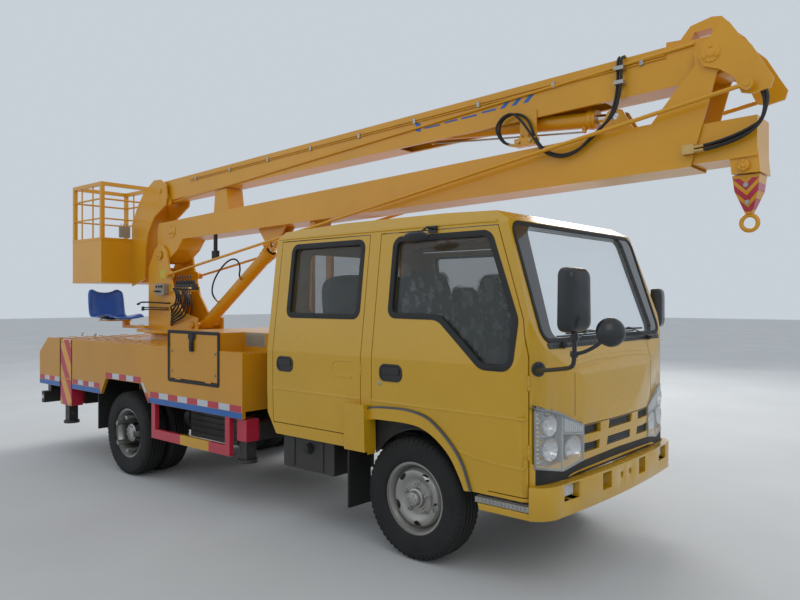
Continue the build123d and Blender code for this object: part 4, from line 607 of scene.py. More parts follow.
def tyre_mesh(bm, y_middle, place):
    """Ribbed road tyre."""
    crown = [(-0.080, 0.3685), (-0.072, 0.3745)]
    grooves = (-0.048, -0.016, 0.016, 0.048)
    for g in grooves:
        rise = 0.0055 * (1 - abs(g) / 0.08) ** 0.6
        crown += [(g - 0.0052, 0.3744 + rise), (g - 0.0034, 0.3660), (g + 0.0034, 0.3660),
                  (g + 0.0052, 0.3744 + rise)]
    crown += [(0.072, 0.3745), (0.080, 0.3685)]
    left = [(-0.079, 0.2235), (-0.086, 0.236), (-0.0905, 0.2405), (-0.0945, 0.262), (-0.0975, 0.290),
            (-0.098, 0.312), (-0.0960, 0.318), (-0.0972, 0.322), (-0.0935, 0.345), (-0.088, 0.3585)]
    profile = left + crown + [(-a, r) for a, r in reversed(left)]
    segments = 120
    rings = []
    for s in range(segments):
        t = 2 * math.pi * s / segments
        zig = 0.0028 if (s // 2) % 2 else -0.0028
        ring = []
        for a, r in profile:
            inside = abs(a) < 0.06
            ring.append(bm.verts.new((place[0] + math.sin(t) * r, y_middle + a + (zig if inside else 0),
                                      place[2] + math.cos(t) * r)))
        rings.append(ring)
    for s in range(segments):
        n = (s + 1) % segments
        for k in range(len(profile) - 1):
            bm.faces.new((rings[s][k], rings[s][k + 1], rings[n][k + 1], rings[n][k]))
    # shoulder lugs and a rim-protecting rib
    for s in range(60):
        t = 2 * math.pi * s / 60
        for sign in (-1, 1):
            radial = Vector((math.sin(t), 0, math.cos(t)))
            turn = Vector((math.cos(t), 0, -math.sin(t)))
            corners = []
            for r, y in ((0.343, 0.0935), (0.361, 0.0885), (0.3705, 0.0790)):
                for w in (-0.0075, 0.0075):
                    base = Vector((place[0], y_middle + sign * y, place[2])) + radial * r + turn * w
                    corners.append((base, base + Vector((0, sign * 0.0028, 0)) + radial * 0.0022))
            lows = [bm.verts.new(c[0]) for c in corners]
            highs = [bm.verts.new(c[1]) for c in corners]
            for a, b, c, d in ((0, 1, 3, 2), (2, 3, 5, 4)):
                bm.faces.new((highs[a], highs[b], highs[c], highs[d]))
            for chain in ((0, 2, 4), (1, 3, 5)):
                for a, b in zip(chain, chain[1:]):
                    bm.faces.new((lows[a], lows[b], highs[b], highs[a]))
            for a, b in ((0, 1), (4, 5)):
                bm.faces.new((lows[a], lows[b], highs[b], highs[a]))


def rim_mesh(bm, y_middle, dish, place, out):
    """Pressed rim: flanges, well and a dish from well to hub; dish is (along, radius) outwards."""
    barrel = [(-0.078, 0.2225), (-0.0765, 0.2275), (-0.0735, 0.2275), (-0.072, 0.214), (-0.055, 0.2055),
              (-0.03, 0.192), (0.03, 0.192), (0.055, 0.2055), (0.072, 0.214), (0.0735, 0.2275),
              (0.0765, 0.2275), (0.078, 0.2225)]
    inner = [(a * 0.985, r - 0.006) for a, r in reversed(barrel)]
    add_lathe(bm, [(a * out, r) for a, r in barrel + inner], (place[0], y_middle, place[2]), "Y", 72,
              close=True)
    back = [(a - 0.007, r) for a, r in reversed(dish)]
    add_lathe(bm, [(a * out, r) for a, r in list(dish) + back], (place[0], y_middle, place[2]), "Y", 72,
              close=True)


FRONT_DISH = [(0.010, 0.1945), (0.018, 0.190), (0.044, 0.181), (0.060, 0.168), (0.064, 0.152), (0.060, 0.134),
              (0.050, 0.118), (0.045, 0.108), (0.046, 0.094), (0.046, 0.060)]
REAR_DISH = [(0.045, 0.1945), (0.030, 0.186), (-0.006, 0.172), (-0.040, 0.160), (-0.062, 0.148),
             (-0.066, 0.120), (-0.066, 0.060)]


def wheel_holes(y0, y1, place, radius, centre_radius, count, phase=0.0):
    """Oval hand holes, long round the wheel."""
    def build(bm):
        for k in range(count):
            t = 2 * math.pi * (k + phase) / count
            round_dir = Vector((math.cos(t), 0, -math.sin(t)))
            radial = Vector((math.sin(t), 0, math.cos(t)))
            centre = Vector((place[0], 0, place[2])) + radial * centre_radius
            rings = [
                    [
                        bm.verts.new(
                            centre + round_dir * (math.cos(a) * radius * 1.75) + radial * (
                                math.sin(a) * radius) + Vector((0, y, 0))) for a in [
                                    2 * math.pi * i / 24 for i in range(24)]] for y in (y0, y1)]
            bm.faces.new(rings[0])
            bm.faces.new(list(reversed(rings[1])))
            for i in range(24):
                j = (i + 1) % 24
                bm.faces.new((rings[0][i], rings[1][i], rings[1][j], rings[0][j]))
    return build


for side, sign in SIDES.items():
    place = (fx(0), 0, TYRE_R)
    y_mid = sign * 0.752
    bm = bmesh.new()
    tyre_mesh(bm, y_mid, place)
    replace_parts(finish_piece(bm, f"front_tyre_{side}", "tyre", f"wheel_front_{side}", smooth=28),
                f"tyre_front_{side}")
    bm = bmesh.new()
    rim_mesh(bm, y_mid, FRONT_DISH, place, sign)
    rim = finish_piece(bm, f"front_rim_{side}", "wheel", f"wheel_front_{side}")
    cut_out(rim, wheel_holes(y_mid - 0.1, y_mid + 0.1, place, 0.0175, 0.156, 5, 0.42))
    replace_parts(rim, f"wheel_front_{side}")
    bm = bmesh.new()
    hub = [(0.036, 0.0), (0.036, 0.062), (0.048, 0.0625), (0.066, 0.058), (0.070, 0.048), (0.092, 0.0455),
           (0.099, 0.040), (0.103, 0.026), (0.104, 0.0)]
    add_lathe(bm, [(a * sign, r) for a, r in hub], (place[0], y_mid, place[2]), "Y", 40)
    for k in range(6):
        t = 2 * math.pi * (k + 0.5) / 6
        x, z = place[0] + math.sin(t) * 0.030, place[2] + math.cos(t) * 0.030
        add_hex(bm, (x, y_mid + sign * 0.101, z), (0, sign, 0), 0.0055, 0.006)
    finish_piece(bm, f"front_hub_{side}", "steel", f"wheel_front_{side}")
    bm = bmesh.new()
    for k in range(5):
        t = 2 * math.pi * k / 5
        x, z = place[0] + math.sin(t) * 0.0895, place[2] + math.cos(t) * 0.0895
        add_hex(bm, (x, y_mid + sign * 0.045, z), (0, sign, 0), 0.0155, 0.022)
        add_lathe(bm, [(0.0 * sign, 0.0), (0.0 * sign, 0.0075), (0.034 * sign, 0.0075),
                       (0.036 * sign, 0.006), (0.036 * sign, 0.0)], (x, y_mid + sign * 0.045, z), "Y", 14)
    finish_piece(bm, f"front_nuts_{side}", "steel", f"wheel_front_{side}")

    place = (fx(-WHEELBASE), 0, TYRE_R)
    bm = bmesh.new()
    for y in (0.592, 0.832):
        tyre_mesh(bm, sign * y, place)
    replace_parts(finish_piece(bm, f"rear_tyres_{side}", "tyre", f"wheels_rear_{side}", smooth=28),
                f"tyres_rear_{side}")
    y_out = sign * 0.832
    bm = bmesh.new()
    rim_mesh(bm, y_out, REAR_DISH, place, sign)
    rim_mesh(bm, sign * 0.592, REAR_DISH, place, -sign)
    rim = finish_piece(bm, f"rear_rims_{side}", "wheel", f"wheels_rear_{side}")
    cut_out(rim, wheel_holes(sign * 0.5, sign * 0.95, place, 0.015, 0.156, 5, 0.2))
    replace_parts(rim, f"wheels_rear_{side}")
    bm = bmesh.new()
    hub = [(-0.24, 0.0), (-0.24, 0.070), (-0.068, 0.072), (-0.058, 0.070), (-0.02, 0.066), (0.03, 0.064),
           (0.036, 0.078), (0.046, 0.080), (0.050, 0.074), (0.052, 0.0)]
    add_lathe(bm, [(a * sign, r) for a, r in hub], (place[0], y_out, place[2]), "Y", 44)
    for k in range(8):
        t = 2 * math.pi * (k + 0.5) / 8
        x, z = place[0] + math.sin(t) * 0.060, place[2] + math.cos(t) * 0.060
        add_hex(bm, (x, y_out + sign * 0.0495, z), (0, sign, 0), 0.008, 0.010)
    finish_piece(bm, f"rear_hub_{side}", "steel", f"wheels_rear_{side}")
    bm = bmesh.new()
    for k in range(5):
        t = 2 * math.pi * k / 5
        x, z = place[0] + math.sin(t) * 0.098, place[2] + math.cos(t) * 0.098
        add_hex(bm, (x, y_out - sign * 0.066, z), (0, sign, 0), 0.0155, 0.024)
    finish_piece(bm, f"rear_nuts_{side}", "steel", f"wheels_rear_{side}")


# Cab: side skin, arches and doors

def side_y(z):
    """Half width of the cab's side at a height, before the roof corner."""
    levels = [(0.500, 0.906), (0.968, 0.920), (1.240, 0.920), (2.040, 0.822), (2.132, 0.747)]
    if z <= levels[0][0]:
        return levels[0][1]
    for (z0, y0), (z1, y1) in zip(levels, levels[1:]):
        if z <= z1:
            return y0 + (y1 - y0) * (z - z0) / (z1 - z0)
    return levels[-1][1]


def side_normal(z, sign):
    slope = (side_y(z + 0.005) - side_y(z - 0.005)) / 0.01
    return Vector((0, sign, -slope)).normalized()


def on_side(x, z, sign, out=0.0):
    return (x, sign * (side_y(z) + out), z)


def on_skin(sign):
    """Place function for prisms that follow the cab's side; depth is measured outwards."""
    return lambda x, z, depth: (x, sign * (side_y(z) + depth), z)


def dense(points, step=0.04, closed=True):
    result = []
    count = len(points)
    for i in range(count if closed else count - 1):
        a, b = Vector(points[i]), Vector(points[(i + 1) % count])
        n = max(1, int((b - a).length / step))
        result += [tuple(a.lerp(b, k / n)) for k in range(n)]
    if not closed:
        result.append(tuple(points[-1]))
    return result


def X(points):
    return [(fx(x), z) for x, z in points]


ARCH_EDGE = [(-0.298, 0.600), (-0.298, 0.800), (-0.285, 0.838), (-0.250, 0.852), (-0.120, 0.856),
             (0.026, 0.856), (0.134, 0.841), (0.238, 0.793), (0.338, 0.707), (0.403, 0.605), (0.443, 0.521)]
FLARE_EDGE = [(-0.305, 0.915), (-0.240, 0.930), (-0.122, 0.938), (0.027, 0.939), (0.169, 0.913),
              (0.272, 0.850), (0.371, 0.757), (0.436, 0.662), (0.486, 0.526)]
DOOR_PATCH_TOP = [(0.600, 0.5455), (0.580, 0.575), (0.500, 0.700), (0.400, 0.830), (0.250, 0.930),
                  (0.100, 0.955), (-0.2805, 0.955)]


def hidden_cutter(name, outline, low, high):
    """A closed prism on both sides of the truck that only serves as a Boolean's tool."""
    bm = bmesh.new()
    for sign in (-1, 1):
        add_prism(bm, outline, on_xz, sign * low, sign * high)
    bmesh.ops.recalc_face_normals(bm, faces=bm.faces)
    mesh = bpy.data.meshes.new(name)
    bm.to_mesh(mesh)
    bm.free()
    obj = bpy.data.objects.new(name, mesh)
    scene.collection.objects.link(obj)
    obj.hide_render = True
    return obj


def carve(node_name, cutter):
    mod = NODES[node_name].modifiers.new("carve", "BOOLEAN")
    mod.operation = "DIFFERENCE"
    mod.solver = "EXACT"
    mod.object = cutter


patch_outline = X([(-0.298, 0.400), (-0.298, 0.930), (-0.2805, 0.930)] + DOOR_PATCH_TOP[::-1]
                  + [(0.460, 0.5455), (0.460, 0.400)])
carve("cab_shell", hidden_cutter("arch_cutter", patch_outline, 0.80, 1.02))
carve("cab_shell", hidden_cutter("foot_cutter", X([(-0.460, 0.560), (-0.2981, 0.560), (-0.2981, 0.6418),
                                                   (-0.460, 0.6418)]), 0.80, 1.02))
proud_bm = bmesh.new()
for sign in (-1, 1):
    add_prism(proud_bm, X([(-0.480, 0.6410), (-0.2979, 0.6410), (-0.2979, 0.9400), (-0.480, 0.9400)]),
              on_skin(sign), 0.0003, 0.05)
bmesh.ops.recalc_face_normals(proud_bm, faces=proud_bm.faces)
proud_mesh = bpy.data.meshes.new("proud_cutter")
proud_bm.to_mesh(proud_mesh)
proud_bm.free()
proud_cutter = bpy.data.objects.new("proud_cutter", proud_mesh)
scene.collection.objects.link(proud_cutter)
proud_cutter.hide_render = True
carve("cab_shell", proud_cutter)
door_cutter = hidden_cutter("door_cutter", patch_outline, 0.60, 1.02)
carve("door_front_left", door_cutter)
carve("door_front_right", door_cutter)

for side, sign in SIDES.items():
    flare_top = [tuple(p)[:2] for p in smooth_line([(x, z, 0) for x, z in FLARE_EDGE], 5)]
    arch_low = [tuple(p)[:2] for p in smooth_line([(x, z, 0) for x, z in ARCH_EDGE[2:]], 5)]
    # raised flare over the wheel, its rear end rounded
    band = [(-0.298,
             0.846)] + arch_low[1:] + flare_top[::-1] + [(-0.322, 0.905), (-0.328, 0.880), (-0.320, 0.856)]
    bm = bmesh.new()
    add_prism(bm, X(band), on_skin(sign), -0.035, 0.014)
    finish_piece(bm, f"flare_{side}", "cab", "truck", bevel=0.005, segments=3)
    bm = bmesh.new()
    rear_jamb = [(-0.330, 0.640), (-0.297, 0.640), (-0.297, 0.856), (-0.330, 0.860)]
    add_prism(bm, X(rear_jamb), on_skin(sign), -0.055, 0.0008)
    finish_piece(bm, f"arch_jamb_{side}", "cab", "truck")
    # the door's lower skin down to the flare
    gap = [(x + 0.004, z + 0.006) for x, z in flare_top]
    skin = [(-0.2805, 0.955), (-0.2805, gap[3][1])] + [p for p in gap if p[0] > -0.27] + [(0.495, 0.5455)]
    skin += [p for p in DOOR_PATCH_TOP[:-1]]
    bm = bmesh.new()
    add_prism(bm, X(skin), on_skin(sign), -0.030, 0.0)
    finish_piece(bm, f"door_foot_{side}", "cab", f"door_front_{side}")
    # rubber bead between them
    bm = bmesh.new()
    line = [Vector(on_side(fx(x), z, sign, 0.0125)) for x, z in flare_top]
    add_strip(bm, line, [Vector((0, sign, 0))] * len(line), 0.011, 0.005, sink=0.012, closed=False)
    finish_piece(bm, f"flare_bead_{side}", "bead", "truck")
    # flat black sheet across the arch opening round the tyre, painted shade of the hollow over the wheel
    bm = bmesh.new()
    outer = [(x, z + 0.03) for x, z in ARCH_EDGE[1:-1]]
    arc = [(0.06 + 0.424 * math.cos(t), 0.385 + 0.424 * math.sin(t))
           for t in [math.radians(d) for d in range(18, 150, 6)]]
    add_prism(bm, X([(-0.310, 0.62), (-0.310, 0.83)] + outer[1:] + arc), on_xz, sign * 0.842, sign * 0.838)
    finish_piece(bm, f"arch_shade_sheet_{side}", "rubber", "truck")
    bm = bmesh.new()
    ring = [(fx(0.05 + 0.440 * math.cos(t)), 0, 0.385 + 0.440 * math.sin(t))
            for t in [math.radians(d) for d in range(8, 116, 4)]]
    for (xa, _, za), (xb, _, zb) in zip(ring, ring[1:]):
        quad = [bm.verts.new((xa, sign * 0.45, za)), bm.verts.new((xa, sign * 0.842, za)),
                bm.verts.new((xb, sign * 0.842, zb)), bm.verts.new((xb, sign * 0.45, zb))]
        bm.faces.new(quad)
    bmesh.ops.remove_doubles(bm, verts=bm.verts, dist=0.0005)
    bmesh.ops.solidify(bm, geom=bm.faces[:], thickness=0.003)
    finish_piece(bm, f"arch_tunnel_{side}", "rubber", "truck")


# Creases, seals, handles and small fittings on the doors

WINDOWS = {
    "front": [(-0.150, 1.508), (0.235, 1.503), (0.560, 1.232), (0.745, 1.232), (0.765, 1.495), (0.556, 1.985),
              (-0.150, 1.985)],
    "rear": [(-1.125, 1.495), (-0.430, 1.495), (-0.430, 1.985), (-1.125, 1.985)],
}
WINDOW_RADII = {"front": [0.045, 0.14, 0.10, 0.06, 0.10, 0.07, 0.05], "rear": [0.045] * 4}
DOOR_SPAN = {"front": (-0.277, 0.845), "rear": (-1.257, -0.373)}

for side, sign in SIDES.items():
    for row in ("front", "rear"):
        body = f"door_{row}_{side}"
        # rubber seal standing round the glass, its lip inside the opening
        outline = dense(rounded(X(WINDOWS[row]), WINDOW_RADII[row], 6), 0.03)
        bm = bmesh.new()
        add_strip(bm, [on_side(x, z, sign) for x, z in outline], [side_normal(z, sign) for x, z in outline],
                  0.036, 0.0045, sink=0.021)
        finish_piece(bm, f"window_seal_{row}_{side}", "rubber", body)
        # pressed crease across the door
        x0, x1 = DOOR_SPAN[row]
        bm = bmesh.new()
        add_strip(bm, [on_side(fx(x0 + (x1 - x0) * k / 20),
                               0.968 + (0.010 if row == "front" else 0.0) * (1 - k / 20) * 0,
                               sign) for k in range(21)], [Vector((0, sign, 0))] * 21, 0.016, 0.0022,
                  sink=0.001, closed=False, crown=0.6)
        finish_piece(bm, f"crease_{row}_{side}", "cab", body)
        # handle: a black dish with its flap
        xh, zh = {"front": (-0.113, 1.153), "rear": (-1.122, 1.150)}[row]
        half = 0.086 if row == "front" else 0.080
        dish = [tuple(p)[:2] for p in rounded([(fx(xh - half), zh - 0.047), (fx(xh + half), zh - 0.047),
                                               (fx(xh + half), zh + 0.047), (fx(xh - half), zh + 0.047)],
                                              0.036, 6)]
        bm = bmesh.new()
        add_strip(bm, [on_side(x, z, sign) for x, z in dish], Vector((0, sign, 0)), 0.014, 0.007, sink=0.003)
        add_prism(bm, dish, on_skin(sign), -0.004, 0.0015)
        finish_piece(bm, f"handle_dish_{row}_{side}", "trim", body)
        flap = [tuple(p)[:2] for p in rounded([(fx(xh - half + 0.012), zh - 0.012),
                                               (fx(xh + half - 0.012), zh - 0.012),
                                               (fx(xh + half - 0.012), zh + 0.036),
                                               (fx(xh - half + 0.012), zh + 0.036)], 0.018, 5)]
        bm = bmesh.new()
        add_prism(bm, flap, on_skin(sign), 0.0, 0.0085)
        finish_piece(bm, f"handle_flap_{row}_{side}", "trim", body, bevel=0.003, segments=3)
    bm = bmesh.new()
    add_lathe(bm, [(0.0, 0.0), (0.0, 0.013), (0.003, 0.0125), (0.0045, 0.010), (0.0045, 0.0045),
                   (0.0025, 0.004), (0.0025, 0.0)], on_side(fx(-0.205), 1.083, sign), (0, sign, 0), 24)
    finish_piece(bm, f"door_lock_{side}", "steel", f"door_front_{side}")
    # lower crease that turns up the front edge of the door
    path = smooth_line([on_side(fx(x), z, sign) for x,
                        z in [(0.400, 0.742), (0.500, 0.722), (0.640, 0.706), (0.790, 0.700),
                              (0.832, 0.712), (0.838, 0.760)]], 5)
    bm = bmesh.new()
    add_strip(bm, path, [Vector((0, sign, 0))] * len(path), 0.016, 0.0022, sink=0.001, closed=False,
              crown=0.6)
    finish_piece(bm, f"crease_low_{side}", "cab", f"door_front_{side}")

# Rounded filler pressing on the right rear door, open at its front end as on the truck
path = rounded([(fx(-0.455), 1.207), (fx(-0.640), 1.207), (fx(-0.640), 1.102), (fx(-0.455), 1.102)],
               [0, 0.05, 0.05, 0], 6, closed=False)
bm = bmesh.new()
add_strip(bm, [on_side(x, z, -1) for x, z in dense(path, 0.03, closed=False)], Vector((0, -1, 0)), 0.014,
          0.003, sink=0.001, closed=False, crown=0.6)
finish_piece(bm, "filler_pressing", "cab", "door_rear_right")

# Rain gutter above the doors
for side, sign in SIDES.items():
    bm = bmesh.new()
    path = [on_side(fx(x), z, sign, 0.0) for x, z in
            [(-1.300, 2.048), (-0.9, 2.050), (-0.4, 2.052), (0.1, 2.053), (0.5, 2.053), (0.600, 2.049)]]
    normals = [Vector((0, sign, 0.25))] * len(path)
    add_strip(bm, path, normals, 0.016, 0.009, sink=0.004, closed=False)
    finish_piece(bm, f"gutter_{side}", "cab", "truck")
    bm = bmesh.new()
    add_strip(bm, [Vector(p) + Vector((0, sign * 0.0012, -0.0105)) for p in path], normals, 0.005, 0.004,
              sink=0.003, closed=False)
    finish_piece(bm, f"gutter_line_{side}", "rubber", "truck")
# Cab front: a probe that finds the CAD's outer skin, so that trim lies on it

from mathutils.bvhtree import BVHTree

_trees = {}


def skin_hit(names, origin, direction):
    """First hit on the named CAD nodes from origin along direction, as (point, normal), or None."""
    best = None
    for name in names:
        if name not in _trees:
            node = NODES[name]
            verts = [node.matrix_world @ v.co for v in node.data.vertices]
            _trees[name] = BVHTree.FromPolygons(verts, [tuple(p.vertices) for p in node.data.polygons])
        point, normal, _, far = _trees[name].ray_cast(Vector(origin), Vector(direction))
        if point is not None and (best is None or far < best[2]):
            best = (point, normal, far)
    return best


bpy.context.view_layer.update()
FRONT_NODES = ["cab_shell", "lamps_front", "door_front_left", "door_front_right"]


def nose(y, z, out=0.0, names=FRONT_NODES):
    """A point on the nose, seen from straight ahead, moved out along the skin's normal."""
    for inward in (1.0, 0.995, 0.99, 0.98, 0.97, 0.95, 0.9):
        hit = skin_hit(names, (fx(1.6), y * inward, z), (-1, 0, 0))
        if hit and hit[0].x > fx(0.70):
            break
    normal = hit[1] if hit[1].x > 0 else -hit[1]
    return Vector((hit[0].x, y, z)) + normal * out


def nose_normal(y, z, names=FRONT_NODES):
    a, b, c = nose(y, z, 0, names), nose(y + 0.004, z, 0, names), nose(y, z + 0.004, 0, names)
    n = (b - a).cross(c - a).normalized()
    return n if n.x > 0 else -n


def nose_grid(bm, y0, y1, low_z, high_z, low, high, across=30, rows=6, names=FRONT_NODES):
    """A closed sheet that follows the nose between two lines given as height over y."""
    layers = []
    for out in (low, high):
        grid = []
        for i in range(across + 1):
            y = y0 + (y1 - y0) * i / across
            a, b = low_z(y), high_z(y)
            column = []
            for k in range(rows + 1):
                z = a + (b - a) * k / rows
                column.append(bm.verts.new(nose(y, z, 0, names) + nose_normal(y, z, names) * out))
            grid.append(column)
        layers.append(grid)
    for grid in layers:
        for i in range(across):
            for k in range(rows):
                bm.faces.new((grid[i][k], grid[i + 1][k], grid[i + 1][k + 1], grid[i][k + 1]))
    g, h = layers
    for i in range(across):
        bm.faces.new((g[i][0], h[i][0], h[i + 1][0], g[i + 1][0]))
        bm.faces.new((g[i][rows], g[i + 1][rows], h[i + 1][rows], h[i][rows]))
    for k in range(rows):
        bm.faces.new((g[0][k], g[0][k + 1], h[0][k + 1], h[0][k]))
        bm.faces.new((g[across][k], h[across][k], h[across][k + 1], g[across][k + 1]))


def along(points):
    """Height over |y| from a list of (|y|, z) in rising order."""
    def height(y):
        y = abs(y)
        if y <= points[0][0]:
            return points[0][1]
        for (ya, za), (yb, zb) in zip(points, points[1:]):
            if y <= yb:
                return za + (zb - za) * (y - ya) / (yb - ya)
        return points[-1][1]
    return height


def nose_strip(bm, line, width, height, sink=0.002, closed=False, names=FRONT_NODES, crown=0.35, step=0.025):
    points = dense(line, step, closed)
    add_strip(bm, [nose(y, z, 0, names) for y, z in points], [nose_normal(y, z, names) for y, z in points],
              width, height, sink, closed, crown)


# Windscreen: black band under the glass edge, seal, cowl, wipers

SCREEN_LEAN = 0.3247
SCREEN_N = Vector((1, 0, SCREEN_LEAN)).normalized()


def on_screen(y, z, out=0.0):
    return Vector((fx(0.905 - (z - 1.330) * SCREEN_LEAN), y, z)) + SCREEN_N * out


screen_out = rounded([(-0.812, 1.380), (0.812, 1.380), (0.792, 2.040), (-0.792, 2.040)], 0.075, 8)
screen_in = rounded([(-0.708, 1.392), (0.708, 1.392), (0.642, 2.028), (-0.642, 2.028)], 0.06, 8)
bm = bmesh.new()
outer = [bm.verts.new(on_screen(y, z, 0.0025)) for y, z in screen_out]
inner = [bm.verts.new(on_screen(y, z, 0.0025)) for y, z in screen_in]
back = [bm.verts.new(on_screen(y, z, -0.020)) for y, z in screen_in]
for i in range(len(outer)):
    j = (i + 1) % len(outer)
    bm.faces.new((outer[i], outer[j], inner[j], inner[i]))
    bm.faces.new((inner[i], inner[j], back[j], back[i]))
finish_piece(bm, "windscreen_band", "gloss_black", "truck")
bm = bmesh.new()
outline = dense(screen_out, 0.03)
add_strip(bm, [on_screen(y, z) for y, z in outline], [SCREEN_N] * len(outline), 0.026, 0.008, sink=0.002)
finish_piece(bm, "windscreen_seal", "rubber", "truck")
bm = bmesh.new()
cowl = rounded([(-0.770, 1.337), (0.770, 1.337), (0.785, 1.370), (-0.785, 1.370)], 0.012, 3)
add_prism(bm, cowl, lambda u, v, d: tuple(on_screen(u, v, d)), -0.001, 0.005)
for k in range(46):
    y = -0.72 + k * 0.032
    add_prism(bm, [(y, 1.340), (y + 0.018, 1.340), (y + 0.018, 1.358), (y, 1.358)],
              lambda u, v, d: tuple(on_screen(u, v, d)), 0.004, 0.0075)
finish_piece(bm, "cowl_grille", "trim", "truck", bevel=0.001)


def wiper(name, pivot_y, tip_y, z_tip):
    bm = bmesh.new()
    pivot = on_screen(pivot_y, 1.350, 0.004)
    add_lathe(bm, [(0.0, 0.0), (0.0, 0.019), (0.012, 0.018), (0.026, 0.013), (0.031, 0.009), (0.033, 0.0)],
              pivot, tuple(SCREEN_N), 24)
    elbow = on_screen(pivot_y + (tip_y - pivot_y) * 0.14, 1.362, 0.034)
    middle = on_screen(pivot_y + (tip_y - pivot_y) * 0.56, z_tip - 0.006, 0.026)
    add_tube(bm, smooth_line([pivot + SCREEN_N * 0.024, elbow, middle], 6), 0.0065, 10, flat=0.6)
    ends = [on_screen(pivot_y + (tip_y - pivot_y) * s, 1.402 + (z_tip - 1.400) * 0.4,
                      0.010) for s in (0.12, 1.0)]
    rail = [ends[0].lerp(ends[1],
                         k / 10) + SCREEN_N * (0.006 * math.sin(math.pi * k / 10)) for k in range(11)]
    add_tube(bm, rail, 0.0045, 8, flat=1.4)
    for s in (0.25, 0.75):
        add_tube(bm, [middle, ends[0].lerp(ends[1], s) + SCREEN_N * 0.006], 0.003, 8)
    finish_piece(bm, name, "trim", "truck")
    bm = bmesh.new()
    add_strip(bm, [on_screen(pivot_y + (tip_y - pivot_y) * s, 1.402 + (z_tip - 1.400) * 0.4, 0.003)
                   for s in (0.12, 0.4, 0.7, 1.0)], [SCREEN_N] * 4, 0.006, 0.006, sink=0.001, closed=False)
    finish_piece(bm, name + "_blade", "rubber", "truck")


wiper("wiper_right", -0.62, -0.04, 1.425)
wiper("wiper_left", 0.58, 0.02, 1.425)

# Folded rod aerial on the left pillar
bm = bmesh.new()
foot, tip = Vector((fx(0.735), 0.872, 1.560)), Vector((fx(0.480), 0.845, 2.010))
add_tube(bm, [foot, foot.lerp(tip, 0.5), tip], 0.0032, 8)
add_tube(bm, [foot + Vector((0.018, 0.004, -0.04)), tip + Vector((0.034, 0.0, 0.01))], 0.0022, 8)
finish_piece(bm, "aerial_rods", "steel", "truck")
bm = bmesh.new()
for place in (foot, foot.lerp(tip, 0.62)):
    add_box(bm, (place.x - 0.014, place.y - 0.022, place.z - 0.012),
            (place.x + 0.034, place.y + 0.010, place.z + 0.012))
finish_piece(bm, "aerial_clips", "trim", "truck", bevel=0.004, segments=3)

# Nose: panel gaps, badge left bare, grille backing and a black band over the bumper, painted shade of the gap
# there
bm = bmesh.new()
nose_strip(bm, [(-0.455, 0.893), (0.455, 0.893)], 0.005, 0.0006, sink=0.003)
for sign in (-1, 1):
    nose_strip(bm, [(sign * 0.545, 1.325), (sign * 0.545, 0.955)], 0.004, 0.0006, sink=0.003)
finish_piece(bm, "nose_gaps", "rubber", "truck")
bm = bmesh.new()
nose_strip(bm, [(-0.53, 1.245), (-0.25, 1.262), (0.25, 1.262), (0.53, 1.245)], 0.030, 0.004, sink=0.002,
           crown=0.8)
finish_piece(bm, "nose_fold", "cab", "truck", smooth=60)
bm = bmesh.new()
for z in (0.862, 0.762):
    for y, width in ((0.0, 0.33), (-0.365, 0.19), (0.365, 0.19)):
        x = nose(y, 0.912, 0).x - 0.022
        add_box(bm, (x - 0.006, y - width / 2 + 0.001, z - 0.025), (x, y + width / 2 - 0.001, z + 0.025))
        for s in range(3):
            zz = z - 0.014 + s * 0.014
            add_box(bm, (x - 0.001, y - width / 2 + 0.001, zz - 0.0025),
                    (x + 0.008, y + width / 2 - 0.001, zz + 0.0025))
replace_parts(finish_piece(bm, "grille_backing", "trim", "truck"),
            *[n for n in NODES if n.startswith("grille")])
# Black band lying on the nose between the lamps and the bumper: painted shade of the gap over the bumper
bm = bmesh.new()
nose_grid(bm, -0.864, 0.864, along([(0, 0.616)]),
          along([(0, 0.700), (0.455, 0.692), (0.66, 0.664), (0.866, 0.700)]), -0.002, 0.0025, across=70,
          rows=2)
finish_piece(bm, "nose_gap_shade_band", "rubber", "truck")

